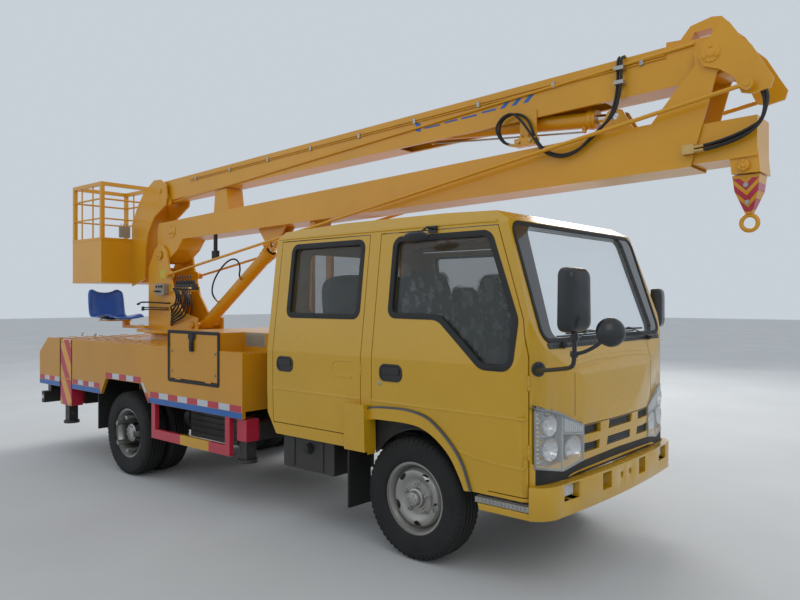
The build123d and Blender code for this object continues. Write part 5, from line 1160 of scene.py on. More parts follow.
# Headlamps: silver housing, bowls, rim and clear lens
for side, sign in SIDES.items():
    outline = [(0.866, 1.040), (0.700, 0.988), (0.466, 0.893), (0.466, 0.700), (0.660, 0.668), (0.866, 0.708)]
    shape = [(sign * y, z) for y, z in outline]
    lamp_top = along([(0.466, 0.891), (0.700, 0.986), (0.866, 1.038)])
    lamp_foot = along([(0.466, 0.702), (0.660, 0.670), (0.866, 0.710)])
    bm = bmesh.new()
    nose_grid(bm, sign * 0.468, sign * 0.864, lamp_foot, lamp_top, -0.052, -0.046, 16, 6)
    for a, b in zip(shape, shape[1:] + shape[:1]):
        for (y0, z0), (y1, z1) in zip(dense([a, b], 0.03, False), dense([a, b], 0.03, False)[1:]):
            quad = [nose(y, z) + nose_normal(y, z) * d for (y, z), d in
                    (((y0, z0), 0.001), ((y1, z1), 0.001), ((y1, z1), -0.048), ((y0, z0), -0.048))]
            bm.faces.new([bm.verts.new(v) for v in quad])
    finish_piece(bm, f"lamp_back_{side}", "lamp_back", "truck")
    bm = bmesh.new()
    for y, z, r in ((0.770, 0.925, 0.056), (0.768, 0.795, 0.062), (0.562, 0.772, 0.074)):
        place = nose(sign * y, z, 0.0)
        n = nose_normal(sign * y, z)
        bowl = [(-0.050, r * 1.02), (-0.002, r * 1.02), (0.001, r), (-0.001, r * 0.97), (-0.016, r * 0.86),
                (-0.030, r * 0.66), (-0.040, r * 0.42), (-0.044, r * 0.22), (-0.030, r * 0.20),
                (-0.014, r * 0.17), (-0.010, r * 0.10), (-0.009, 0.0)]
        add_lathe(bm, bowl, place, tuple(n), 40)
    finish_piece(bm, f"lamp_bowls_{side}", "chrome", "truck")
    bm = bmesh.new()
    nose_strip(bm, shape, 0.012, 0.007, sink=0.004, closed=True)
    nose_strip(bm, [(sign * 0.665, 0.674), (sign * 0.665, 0.972)], 0.014, 0.004, sink=0.040)
    nose_strip(bm, [(sign * 0.665, 0.872), (sign * 0.474, 0.848)], 0.010, 0.004, sink=0.040)
    finish_piece(bm, f"lamp_frame_{side}", "lamp_frame", "truck")
    bm = bmesh.new()
    for k in range(9):
        y = 0.480 + k * 0.020
        nose_strip(bm, [(sign * y, 0.856 + (y - 0.458) * 0.12), (sign * y, 0.888 + (y - 0.455) * 0.35)],
                   0.009, 0.006, sink=0.030, crown=0.7)
    for k in range(12):
        z = 0.735 + k * 0.0235
        nose_strip(bm, [(sign * 0.862, z), (sign * 0.850, z)], 0.009, 0.003, sink=0.030, crown=0.7)
    finish_piece(bm, f"lamp_flutes_{side}", "lamp_flute", "truck")
    bm = bmesh.new()
    nose_grid(bm, sign * 0.468, sign * 0.864, lamp_foot, lamp_top, 0.0042, 0.0062, 20, 8)
    finish_piece(bm, f"lamp_lens_{side}", "lens", "truck")

# Bumper: rectangular lamp pockets
BUMPER_NODES = ["bumper_front"]
bm = bmesh.new()
for sign in (-1, 1):
    add_box(bm, (fx(0.70), sign * 0.650 - 0.075, 0.517), (fx(1.10), sign * 0.650 + 0.075, 0.603))
bmesh.ops.recalc_face_normals(bm, faces=bm.faces)
mesh = bpy.data.meshes.new("fog_cutter")
bm.to_mesh(mesh)
bm.free()
fog_cutter = bpy.data.objects.new("fog_cutter", mesh)
scene.collection.objects.link(fog_cutter)
fog_cutter.hide_render = True
carve("bumper_front", fog_cutter)
NODES["bumper_front"].modifiers.move(len(NODES["bumper_front"].modifiers) - 1, 0)
for side, sign in SIDES.items():
    y0, y1 = sign * 0.650 - 0.075, sign * 0.650 + 0.075
    e0, e1 = [skin_hit(BUMPER_NODES, (fx(1.6), y, 0.480), (-1, 0, 0))[0].x for y in (y0, y1)]

    def slab(bm, a, b, z_low, z_high, ya=0.0, yb=0.0):
        """From depth a to depth b behind the bumper's face, across the pocket."""
        add_prism(bm, [(e0 - a, y0 + ya), (e1 - a, y1 - yb), (e1 - b, y1 - yb), (e0 - b, y0 + ya)], on_xy,
                  z_low, z_high)

    bm = bmesh.new()
    slab(bm, 0.062, 0.056, 0.511, 0.609)
    slab(bm, 0.060, 0.003, 0.511, 0.517)
    slab(bm, 0.060, 0.003, 0.603, 0.609)
    for y, e in ((y0, e0), (y1, e1)):
        add_box(bm, (e - 0.060, y - 0.003, 0.511), (e - 0.003, y + 0.003, 0.609))
    finish_piece(bm, f"fog_pocket_{side}", "cab", "truck")
    bm = bmesh.new()
    slab(bm, 0.057, 0.034, 0.526, 0.594, 0.012, 0.012)
    finish_piece(bm, f"fog_body_{side}", "chrome", "truck", bevel=0.004, segments=3)
    bm = bmesh.new()
    for k in range(11):
        share = (0.020 + k * 0.011) / 0.150
        x = e0 + (e1 - e0) * share - 0.034
        y = y0 + 0.150 * share
        add_box(bm, (x - 0.002, y - 0.0045, 0.531), (x + 0.005, y + 0.0045, 0.589))
    finish_piece(bm, f"fog_lens_{side}", "lamp_flute", "truck", bevel=0.0015)
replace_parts(bpy.data.objects["fog_body_left"], "lamps_front")

# Doorstep under each front door
for side, sign in SIDES.items():
    bm = bmesh.new()
    y0, y1 = sorted((sign * 0.700, sign * 0.893))
    add_box(bm, (fx(0.500), y0, 0.468), (fx(0.860), y1, 0.500))
    for k in range(9):
        y = sign * (0.730 + 0.018 * k)
        add_box(bm, (fx(0.505), y - 0.004, 0.500), (fx(0.855), y + 0.004, 0.504))
    for k in range(14):
        x = fx(0.510 + 0.025 * k)
        add_box(bm, (x, min(sign * 0.891, sign * 0.897), 0.474),
                (x + 0.014, max(sign * 0.891, sign * 0.897), 0.496))
    finish_piece(bm, f"step_tread_{side}", "steel", "truck", bevel=0.0015)
    bm = bmesh.new()
    y0, y1 = sorted((sign * 0.720, sign * 0.902))
    add_prism(bm, [(fx(0.520), 0.466), (fx(0.535), 0.430), (fx(0.866), 0.430), (fx(0.866), 0.466)], on_xz,
              y0, y1)
    finish_piece(bm, f"step_sill_{side}", "cab", "truck", bevel=0.005, segments=3)


# Mirrors

def mirror_head(name, body, centre, width, height, depth, facing):
    """Rounded housing with its glass on the side away from facing."""
    out = Vector(facing).normalized()
    up = Vector((0, 0, 1))
    side_v = up.cross(out).normalized()
    up = out.cross(side_v)
    centre = Vector(centre)
    base = rounded([(-width / 2, -height / 2), (width / 2, -height / 2), (width * 0.46, height / 2),
                    (-width * 0.46, height / 2)], width * 0.24, 7)

    def ring(bm, scale, along, squeeze=0.0):
        return [bm.verts.new(centre + side_v * (u * scale) + up * (v * (scale + squeeze)) + out * along)
                for u, v in base]

    bm = bmesh.new()
    levels = [(0.90, -0.010 + 0.004, 0.02), (0.90, -0.012, 0.02), (1.0, -0.014, 0.0), (1.02, 0.0, 0.0),
              (1.0, depth * 0.40, 0.0), (0.965, depth * 0.66, 0.01), (0.88, depth * 0.86, 0.03),
              (0.72, depth * 0.96, 0.06), (0.40, depth, 0.10)]
    rings = [ring(bm, s, a, q) for s, a, q in levels]
    for a, b in zip(rings, rings[1:]):
        for i in range(len(a)):
            j = (i + 1) % len(a)
            bm.faces.new((a[i], a[j], b[j], b[i]))
    bm.faces.new(rings[-1])
    bm.faces.new(list(reversed(rings[0])))
    shell = finish_piece(bm, name, "mirror_shell", body, smooth=50)
    bm = bmesh.new()
    glass = [ring(bm, 0.87, -0.0115, 0.02), ring(bm, 0.87, -0.0065, 0.02)]
    for i in range(len(base)):
        j = (i + 1) % len(base)
        bm.faces.new((glass[0][i], glass[0][j], glass[1][j], glass[1][i]))
    bm.faces.new(glass[0])
    bm.faces.new(list(reversed(glass[1])))
    finish_piece(bm, name + "_glass", "mirror_glass", body)
    return shell


right = mirror_head("mirror_head_right", "truck", (fx(1.197), -1.095, 1.605), 0.172, 0.305, 0.070,
                    (1.0, -0.18, 0))
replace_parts(right, "mirror_right")
left = mirror_head("mirror_head_left", "door_front_left", (fx(0.748), 1.095, 1.545), 0.165, 0.290, 0.066,
                   (1.0, 0.18, 0))
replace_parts(left, "mirror_left")

bm = bmesh.new()
post = Vector((fx(1.215), -1.095, 0))
add_tube(bm, smooth_line([(fx(0.868), -0.868, 1.232), (fx(0.93), -0.915, 1.236), (fx(1.10), -1.015, 1.262),
                          (fx(1.195), -1.085, 1.285), (fx(1.215), -1.095, 1.335),
                          (fx(1.215), -1.095, 1.470)], 6), 0.011, 12)
add_lathe(bm, [(-0.016, 0.0), (-0.016, 0.014), (-0.008, 0.020), (0.008, 0.020), (0.016, 0.014), (0.016, 0.0)],
          post + Vector((0, 0, 1.345)), "Z", 24)
add_lathe(bm, [(-0.030, 0.0), (-0.030, 0.012), (-0.018, 0.019), (0.000, 0.019), (0.034, 0.013), (0.034, 0.0)],
          post + Vector((0, 0, 1.430)), "Z", 24)
add_tube(bm, smooth_line([(fx(1.215), -1.095, 1.345), (fx(1.27), -1.085, 1.362), (fx(1.330), -1.068, 1.400),
                          (fx(1.358), -1.062, 1.440)], 6), 0.009, 12)
finish_piece(bm, "mirror_arm_right", "mirror_shell", "truck")
bm = bmesh.new()
foot, foot_n = nose(-0.850, 1.235), nose_normal(-0.850, 1.235)
add_lathe(bm, [(-0.004, 0.0), (-0.004, 0.040), (0.004, 0.040), (0.008, 0.034), (0.010, 0.020), (0.024, 0.016),
               (0.026, 0.0)], foot, tuple(foot_n), 28)
for t in (0.4, 2.5, 4.6):
    spoke = foot_n.orthogonal().normalized()
    spoke = Matrix.Rotation(t, 3, foot_n) @ spoke
    add_hex(bm, foot + spoke * 0.028 + foot_n * 0.006, foot_n, 0.0055, 0.006)
finish_piece(bm, "mirror_foot_right", "mirror_shell", "truck")

# Round look-down mirror on the same arm
dome_out = Vector((0.70, -0.68, 0.22)).normalized()
dome_at = Vector((fx(1.383), -1.060, 1.455))
bm = bmesh.new()
add_lathe(bm, [(-0.016, 0.0), (-0.016, 0.058), (-0.017, 0.063), (-0.012, 0.0685), (0.004, 0.0690),
               (0.014, 0.065), (0.026, 0.054), (0.034, 0.040), (0.039, 0.022), (0.041, 0.0)], dome_at,
          tuple(dome_out), 40)
clamp = dome_at - dome_out.cross(Vector((0, 0, 1))).normalized() * -0.058
add_lathe(bm, [(-0.020, 0.0), (-0.020, 0.012), (0.020, 0.012), (0.020, 0.0)], (fx(1.358), -1.062, 1.430),
          "Z", 16)
finish_piece(bm, "mirror_round", "mirror_shell", "truck")
bm = bmesh.new()
add_lathe(bm, [(-0.0165, 0.0595), (-0.021, 0.045), (-0.0235, 0.025), (-0.0245, 0.0)], dome_at,
          tuple(dome_out), 40)
finish_piece(bm, "mirror_round_glass", "mirror_glass", "truck")

# Left mirror's arm on its door
bm = bmesh.new()
add_tube(bm, smooth_line([(fx(0.795), 0.865, 1.322), (fx(0.785), 0.940, 1.330), (fx(0.770), 1.050, 1.338),
                          (fx(0.762), 1.095, 1.365), (fx(0.760), 1.095, 1.420)], 6), 0.011, 12)
add_lathe(bm, [(-0.022, 0.0), (-0.022, 0.014), (-0.010, 0.021), (0.010, 0.021), (0.030, 0.013), (0.030, 0.0)],
          (fx(0.760), 1.095, 1.385), "Z", 24)
finish_piece(bm, "mirror_arm_left", "mirror_shell", "door_front_left")
bm = bmesh.new()
add_box(bm, (fx(0.755), 0.893, 1.285), (fx(0.835), 0.930, 1.362))
finish_piece(bm, "mirror_foot_left", "mirror_shell", "door_front_left", bevel=0.008,
             segments=3)

# Small kerb mirror over the right front window
bm = bmesh.new()
add_lathe(bm, [(-0.012, 0.0), (-0.012, 0.030), (-0.004, 0.038), (0.008, 0.036), (0.018, 0.024), (0.021, 0.0)],
          (fx(0.120), -0.955, 1.975), (0.10, -0.80, -0.60), 28)
for v in bm.verts:
    v.co.x = fx(0.120) + (v.co.x - fx(0.120)) * 2.6
add_tube(bm, [(fx(0.150), -0.828, 2.030), (fx(0.145), -0.880, 2.040), (fx(0.140), -0.925, 2.012),
              (fx(0.140), -0.935, 1.985)], 0.007, 10)
add_box(bm, (fx(0.115), -0.836, 2.008), (fx(0.180), -0.822, 2.050))
finish_piece(bm, "kerb_mirror", "mirror_shell", "door_front_right")

# Bed: reflective tape, blue stripe, locker seal and latch, leg edges, underrun, tail lamps

def side_plate(bm, sign, outline, out=0.0012, sink=0.002, y=0.950):
    """A thin plate on a side face, from (ahead, z) points."""
    add_prism(bm, [(fx(u), v) for u, v in outline], on_xz, sign * (y - sink), sign * (y + out))


def tape_row(side, sign, name, x0, x1, low, high, count, first):
    """Red and white blocks between two places; count blocks, the first one red when first is 0."""
    step = (x1 - x0) / count
    for colour, part in (("red", 0), ("white", 1)):
        bm = bmesh.new()
        for k in range(count):
            if (k + first) % 2 == part:
                side_plate(bm, sign, [(x0 + k * step, low), (x0 + (k + 1) * step - 0.003, low),
                                      (x0 + (k + 1) * step - 0.003, high), (x0 + k * step, high)])
        finish_piece(bm, f"tape_{name}_{colour}_{side}", f"tape_{colour}", "truck")


for side, sign in SIDES.items():
    tape_row(side, sign, "tail", -5.185, -4.705, 0.758, 0.803, 4, 0)
    tape_row(side, sign, "rear", -4.402, -3.830, 0.758, 0.805, 5, 0)
    tape_row(side, sign, "crown", -3.712, -3.062, 0.868, 0.918, 5, 0)
    tape_row(side, sign, "front", -2.905, -1.590, 0.756, 0.805, 9, 0)
    for colour, low, high in (("white", 0.790, 0.872), ("red", 0.712, 0.786)):
        bm = bmesh.new()
        edge = [(-3.060 + (0.862 - z) * 0.764, z) for z in (low, high)]
        side_plate(bm, sign, [(edge[0][0] + 0.006, low), (edge[0][0] + 0.042, low),
                              (edge[1][0] + 0.046, high), (edge[1][0] + 0.006, high)])
        finish_piece(bm, f"tape_slope_{colour}_{side}", f"tape_{colour}", "truck")
    bm = bmesh.new()
    for x0, x1, cut in ((-5.197, -4.700, 0.0), (-4.432, -3.818, 0.012), (-2.925, -1.583, 0.0)):
        side_plate(bm, sign, [(x0, 0.7065), (x1, 0.7065), (x1 - cut, 0.753), (x0, 0.753)])
    finish_piece(bm, f"blue_stripe_{side}", "mark_blue", "truck")
    bm = bmesh.new()
    border = dense(X(rounded([(-2.600, 0.933), (-1.884, 0.933), (-1.884, 1.350), (-2.600, 1.350)], 0.012,
                             3)), 0.05)
    border = [(u, min(v, 1.3395)) for u, v in border]
    normals = [Vector((0, sign, 0))] * len(border)
    add_strip(bm, [Vector((u, sign * 0.9495, v)) for u, v in border], normals, 0.026, 0.0075, sink=0.004)
    finish_piece(bm, f"locker_seal_{side}", "rubber", "truck")
    bm = bmesh.new()
    for x0, x1, low, high, out in ((-2.292, -2.198, 1.286, 1.330, 0.005),
                                   (-2.270, -2.220, 1.185, 1.330, 0.009),
                                   (-2.262, -2.228, 1.196, 1.262, 0.016)):
        side_plate(bm, sign, rounded([(x0, low), (x1, low), (x1, high), (x0, high)], 0.008, 3), out, 0.004,
                   0.958)
    add_lathe(bm, [(0, 0.007), (0.004, 0.007), (0.005, 0.0), ], (fx(-2.245), sign * 0.9745, 1.214),
              (0, sign, 0), 20)
    finish_piece(bm, f"locker_latch_{side}", "rubber", f"locker_lid_{side}", bevel=0.0015)
    bm = bmesh.new()
    for z in (1.180, 1.010):
        for x in (-2.568, -1.907):
            add_hex(bm, (fx(x + (0.02 if x < -2.2 else -0.02)), sign * 0.9575, z), (0, sign, 0), 0.007, 0.006)
    finish_piece(bm, f"locker_hinge_bolts_{side}", "steel", f"locker_lid_{side}")

    # Edges of the rear leg housing, its bolts and the clamp plate over the stripe
    bm = bmesh.new()
    for x in (-4.692, -4.430):
        add_box(bm, (fx(x) - 0.006, min(sign * 0.930, sign * 0.9535), 0.706),
                (fx(x) + 0.006, max(sign * 0.930, sign * 0.9535), 1.200))
    finish_piece(bm, f"leg_gap_{side}", "rubber", "truck", bevel=0.001)
    bm = bmesh.new()
    body = f"outrigger_beam_rear_{side}"
    add_box(bm, (fx(-4.686), min(sign * 0.90, sign * 0.9525), 0.792),
            (fx(-4.434), max(sign * 0.90, sign * 0.9525), 0.806))
    finish_piece(bm, f"leg_band_{side}", "bed", body, bevel=0.001)
    bm = bmesh.new()
    for x in (-4.66, -4.46):
        for z in (0.545, 1.17):
            add_hex(bm, (fx(x), sign * BED_HALF, z), (0, sign, 0), 0.009, 0.007)
    finish_piece(bm, f"leg_bolts_{side}", "steel", body)

    # Collar and foot of each jack
    for row in ("rear", "front"):
        x = -4.560 if row == "rear" else -1.650
        y = sign * (0.890 if row == "rear" else 0.845)
        foot = 0.340 if row == "rear" else 0.360
        bm = bmesh.new()
        add_lathe(bm, [(foot + 0.024, 0.028), (foot + 0.034, 0.044), (foot + 0.046, 0.044),
                       (foot + 0.052, 0.030), (foot + 0.085, 0.026), (foot + 0.088, 0.046),
                       (foot + 0.115, 0.050), (foot + 0.120, 0.040)], (fx(x), y, 0), "Z", 32)
        finish_piece(bm, f"jack_collar_{row}_{side}", "iron", f"outrigger_leg_{row}_{side}",
                     bevel=0.001)
        bm = bmesh.new()
        add_lathe(bm, [(foot + 0.0005, 0.074), (foot, 0.0745), (foot + 0.004, 0.0765),
                       (foot + 0.010, 0.0765), (foot + 0.0135, 0.071), (foot + 0.0145, 0.045)],
                  (fx(x), y, 0), "Z", 40)
        finish_piece(bm, f"jack_foot_rim_{row}_{side}", "iron", f"outrigger_leg_{row}_{side}")

bm = bmesh.new()
add_prism(bm, rounded([(fx(-5.3135), 0.4765), (fx(-5.2475), 0.4765), (fx(-5.2475), 0.6035),
                       (fx(-5.3135), 0.6035)], 0.012, 4), on_xz, -0.8835, 0.8835)
for sign in (-1, 1):
    add_box(bm, (fx(-5.25), sign * 0.45 - 0.04, 0.500), (fx(-5.15), sign * 0.45 + 0.04, 0.585))
finish_piece(bm, "underrun_bar", "black_frame", "truck", bevel=0.002)
bm = bmesh.new()
x = fx(-5.3150)
for k in range(5):
    for sign in (-1, 1):
        y = sign * (0.30 + k * 0.13)
        add_box(bm, (x - 0.0012, y - 0.055, 0.522), (x + 0.003, y + 0.055, 0.562))
for sign in (-1, 1):
    add_box(bm, (fx(-5.306), sign * 0.8842 - 0.001, 0.522), (fx(-5.262), sign * 0.8842 + 0.001, 0.562))
finish_piece(bm, "underrun_tape", "tape_white", "truck")

# Tail: lamps, plate bracket, tape and blue stripe
bm = bmesh.new()
for sign in (-1, 1):
    add_prism(bm, rounded([(sign * 0.62, 0.612), (sign * 0.86, 0.612), (sign * 0.86, 0.690),
                           (sign * 0.62, 0.690)], 0.012, 4), on_yz, fx(-5.205), fx(-5.130))
finish_piece(bm, "tail_lamp_cases", "trim", "truck", bevel=0.003)
for name, y0, y1, mat in (("tail_lens_red", 0.626, 0.730, "tail_red"),
                          ("tail_lens_amber", 0.735, 0.790, "amber"),
                          ("tail_lens_white", 0.795, 0.852, "lamp_flute")):
    bm = bmesh.new()
    for sign in (-1, 1):
        for k in range(5):
            z = 0.620 + k * 0.0126
            add_prism(bm, [(sign * y0, z), (sign * y1, z), (sign * y1, z + 0.0115), (sign * y0, z + 0.0115)],
                      on_yz, fx(-5.2115), fx(-5.203))
    finish_piece(bm, name, mat, "truck", bevel=0.0015)
bm = bmesh.new()
add_prism(bm, rounded([(-0.235, 0.622), (0.235, 0.622), (0.235, 0.700), (-0.235, 0.700)], 0.010, 3),
          on_yz, fx(-5.206), fx(-5.170))
finish_piece(bm, "plate_bracket", "black_frame", "truck", bevel=0.002)
for colour, part in (("red", 0), ("white", 1)):
    bm = bmesh.new()
    for k in range(12):
        if k % 2 == part:
            y = -0.90 + k * 0.15
            add_prism(bm, [(y, 0.752), (y + 0.147, 0.752), (y + 0.147, 0.800), (y, 0.800)],
                      on_yz, fx(-5.2012), fx(-5.195))
    finish_piece(bm, f"tape_back_{colour}", f"tape_{colour}", "truck")
bm = bmesh.new()
add_prism(bm, [(-0.948, 0.7065), (0.948, 0.7065), (0.948, 0.748), (-0.948, 0.748)],
          on_yz, fx(-5.2012), fx(-5.195))
finish_piece(bm, "blue_stripe_back", "mark_blue", "truck")

# Deck: tread bars, a louvred plate on each side of the box behind the cab, and lashing rings
bm = bmesh.new()
for i in range(26):
    for j in range(12):
        x, y = fx(-5.02) + i * 0.118, -0.83 + j * 0.15
        if abs(x - fx(-3.9)) < 0.42 and abs(y) < 0.42:
            continue
        if fx(-2.62) < x < fx(-1.86):
            continue
        lean = 0.030 if (i + j) % 2 else -0.030
        add_tube(bm, [(x - 0.030, y - lean, 1.2000), (x + 0.030, y + lean, 1.2000)], 0.0055, 6, flat=0.6)
finish_piece(bm, "deck_tread", "bed", "truck")
for side, sign in SIDES.items():
    bm = bmesh.new()
    for k in range(8):
        z = 1.245 + k * 0.011
        add_prism(bm, [(fx(-1.86), z), (fx(-1.64), z), (fx(-1.64), z + 0.006), (fx(-1.86), z + 0.006)], on_xz,
                  sign * 0.699, sign * 0.706)
    add_prism(bm, rounded([(fx(-1.875), 1.232), (fx(-1.625), 1.232), (fx(-1.625), 1.340),
                           (fx(-1.875), 1.340)], 0.006, 2), on_xz, sign * 0.698, sign * 0.7015)
    finish_piece(bm, f"louvre_{side}", "box_grey", "truck", bevel=0.001)
bm = bmesh.new()
for k, y in enumerate((-0.52, 0.52)):
    for x in (-5.10, -4.80, -2.78):
        ring = [(fx(x) + 0.035 * math.cos(t * math.pi / 8), y,
                 1.196 + 0.038 * math.sin(t * math.pi / 8)) for t in range(9)]
        add_tube(bm, ring, 0.006, 8)
finish_piece(bm, "lashing_rings", "steel", "truck")

# Underbody seen past the guard: tank straps, filler cap, battery box, air tanks, exhaust
bm = bmesh.new()
for x in (-1.12, -0.82):
    band = rounded([(-0.843, 0.397), (-0.437, 0.397), (-0.437, 0.633), (-0.843, 0.633)], 0.035, 5)
    normals = [Vector((0, p[0] + 0.64, p[1] - 0.515)).normalized() for p in band]
    add_strip(bm, [(fx(x), u, v) for u, v in band], normals, 0.035, 0.004, sink=0.002)
for x in (-2.50, -2.05):
    band = rounded([(0.843, 0.397), (0.437, 0.397), (0.437, 0.633), (0.843, 0.633)], 0.035, 5)
    normals = [Vector((0, p[0] - 0.64, p[1] - 0.515)).normalized() for p in band]
    add_strip(bm, [(fx(x), u, v) for u, v in band], normals, 0.035, 0.004, sink=0.002)
finish_piece(bm, "tank_straps", "black_frame", "truck")
bm = bmesh.new()
add_lathe(bm, [(0, 0.038), (0.020, 0.038), (0.022, 0.030), (0.036, 0.030), (0.040, 0.022), (0.041, 0.0)],
          (fx(-0.95), -0.838, 0.560), (0, -1, 0), 28)
finish_piece(bm, "filler_cap", "rubber", "truck", bevel=0.001)
bm = bmesh.new()
for z in (0.425, 0.475, 0.525, 0.575):
    add_box(bm, (fx(-2.66), -0.700, z), (fx(-1.98), -0.520, z + 0.035))
add_box(bm, (fx(-2.68), -0.690, 0.41), (fx(-1.96), -0.530, 0.70))
finish_piece(bm, "battery_box", "black_frame", "truck", bevel=0.006, segments=3)
bm = bmesh.new()
for y, x0, x1, z, r in ((-0.60, -2.80, -2.70, 0.56, 0.09), (-0.60, -1.94, -1.84, 0.60, 0.07)):
    add_lathe(bm, [(0, 0.0), (0.002, r * 0.6), (0.015, r), (x1 - x0 - 0.015, r), (x1 - x0 - 0.002, r * 0.6),
                   (x1 - x0, 0.0)], (fx(x0), y, z), "X", 32)
finish_piece(bm, "air_tanks", "black_frame", "truck")
bm = bmesh.new()
add_tube(bm, smooth_line([(fx(-1.45), 0.42, 0.50), (fx(-1.9), 0.40, 0.46), (fx(-2.4), 0.36, 0.44),
                          (fx(-2.62), 0.30, 0.46), (fx(-2.70), 0.24, 0.56), (fx(-2.85), 0.22, 0.60)], 6),
         0.032, 14)
add_lathe(bm, [(0, 0.03), (0.02, 0.085), (0.50, 0.085), (0.52, 0.03)], (fx(-1.48), 0.42, 0.52), "X", 32)
finish_piece(bm, "exhaust", "iron", "truck")

# Booms: blue marks, pin caps, covers, pipes, unions, hoses and the bolts of jib and hook

def boom_line(a, b):
    """A point and the slope of the line between two (ahead, z) points."""
    slope = (b[1] - a[1]) / (b[0] - a[0])
    return lambda x: a[1] + (x - a[0]) * slope


upper_top = boom_line((-4.255, 2.870), (1.545, 3.068))
lower_low = boom_line((-3.900, 2.232), (1.428, 2.347))


bm = bmesh.new()
for sign in (-1, 1):
    for outline in ([(-0.592, 2.868), (-0.545, 2.856), (-0.545, 2.921), (-0.592, 2.930)],
                    [(-0.508, 2.872), (-0.365, 2.874), (-0.365, 2.886), (-0.508, 2.884)],
                    [(-0.321, 2.881), (-0.206, 2.885), (-0.206, 2.897), (-0.321, 2.893)],
                    [(-0.170, 2.885), (-0.039, 2.889), (-0.039, 2.902), (-0.170, 2.898)],
                    [(0.006, 2.897), (0.121, 2.901), (0.121, 2.914), (0.006, 2.910)],
                    [(0.150, 2.902), (0.190, 2.903), (0.245, 2.952), (0.205, 2.951)],
                    [(0.240, 2.905), (0.280, 2.906), (0.335, 2.956), (0.295, 2.955)],
                    [(0.330, 2.908), (0.370, 2.909), (0.425, 2.960), (0.385, 2.959)]):
        add_prism(bm, [(fx(u), v) for u, v in outline], on_xz, sign * 0.0985, sign * 0.1008)
finish_piece(bm, "boom_marks", "mark_blue", "upper_boom")


def pin_cap(bm, x, z, y, sign, radius, bolts=3):
    """A round cover plate with bolt heads and a domed nut."""
    add_lathe(bm, [(-0.003, radius), (0.004, radius), (0.007, radius - 0.003), (0.0075, radius * 0.45),
                   (0.012, radius * 0.42), (0.0135, radius * 0.36), (0.014, 0.0)], (fx(x), y, z),
              (0, sign, 0), 44)
    for k in range(bolts):
        t = math.pi / 2 + k * 2 * math.pi / bolts
        add_hex(bm, (fx(x + math.cos(t) * radius * 0.72), y + sign * 0.0065,
                     z + math.sin(t) * radius * 0.72), (0, sign, 0), 0.0085, 0.008)


bm = bmesh.new()
for sign in (-1, 1):
    pin_cap(bm, 1.545, 2.950, sign * 0.157, sign, 0.050)
finish_piece(bm, "elbow_pin_caps", "boom", "upper_boom")
bm = bmesh.new()
for sign in (-1, 1):
    pin_cap(bm, -3.905, 2.330, sign * 0.1352, sign, 0.072)
    pin_cap(bm, -2.350, 2.110, sign * 0.118, sign, 0.036)
finish_piece(bm, "lower_boom_covers", "boom", "lower_boom")

# Thin pipes along the upper boom with clips, and along the fold cylinder
bm = bmesh.new()
for y, drop in ((-0.106, 0.045), (-0.106, 0.060), (0.106, 0.045)):
    pts = [(fx(x), y, upper_top(x) - drop) for x in (-3.6, -2.8, -2.0, -1.2, -0.4, 0.4, 1.0, 1.28)]
    add_tube(bm, pts, 0.0045, 8)
finish_piece(bm, "boom_pipes", "boom", "upper_boom")
bm = bmesh.new()
for k in range(9):
    x = -3.5 + k * 0.58
    for sign in (-1, 1):
        z = upper_top(x) - 0.052
        add_box(bm, (fx(x) - 0.012, sign * 0.106 - 0.0085, z - 0.019),
                (fx(x) + 0.012, sign * 0.106 + 0.0075, z + 0.019))
finish_piece(bm, "pipe_clips", "steel", "upper_boom", bevel=0.0015)

# Rest pad under the lower boom
bm = bmesh.new()
add_box(bm, (fx(-3.175), -0.120, 2.060), (fx(-3.145), -0.090, lower_low(-3.16) + 0.002))
add_box(bm, (fx(-3.195), -0.128, 2.010), (fx(-3.125), -0.082, 2.090))
finish_piece(bm, "rest_pad", "rubber", "lower_boom", bevel=0.003)

# Cylinder glands and hose unions
bm = bmesh.new()


def along_rod(a, b, share):
    """The place at a share of the way from a to b, and the direction of that way."""
    a, b = Vector((fx(a[0]), 0, a[1])), Vector((fx(b[0]), 0, b[1]))
    return a.lerp(b, share), (b - a).normalized()


place, way = along_rod((-3.480, 1.350), (-2.350, 2.110), 0.925)
add_lathe(bm, [(-0.045, 0.0675), (-0.040, 0.072), (-0.012, 0.072), (-0.010, 0.066), (0.010, 0.066),
               (0.014, 0.060), (0.016, 0.048)], place, way, 40)
finish_piece(bm, "lift_gland", "boom", "lift_barrel")
bm = bmesh.new()
place, way = along_rod((-0.600, 2.860), (0.950, 2.730), 0.905)
add_lathe(bm, [(-0.045, 0.0595), (-0.040, 0.063), (-0.012, 0.063), (-0.010, 0.058), (0.006, 0.058),
               (0.008, 0.042)], place, way, 40)
for share in (0.07, 0.86):
    place, way = along_rod((-0.600, 2.860), (0.950, 2.730), share)
    add_lathe(bm, [(0.050, 0.018), (0.066, 0.018), (0.068, 0.013), (0.084, 0.013), (0.085, 0.0)], place,
              Vector((0, -0.25, -1)), 20)
finish_piece(bm, "fold_unions", "boom", "fold_barrel")
bm = bmesh.new()
line = []
for share in (0.09, 0.2, 0.4, 0.6, 0.8, 0.86):
    place, way = along_rod((-0.600, 2.860), (0.950, 2.730), share)
    line.append(place + Vector((0, -0.020, -0.078)))
add_tube(bm, line, 0.006, 8)
finish_piece(bm, "fold_pipe", "steel", "fold_barrel")

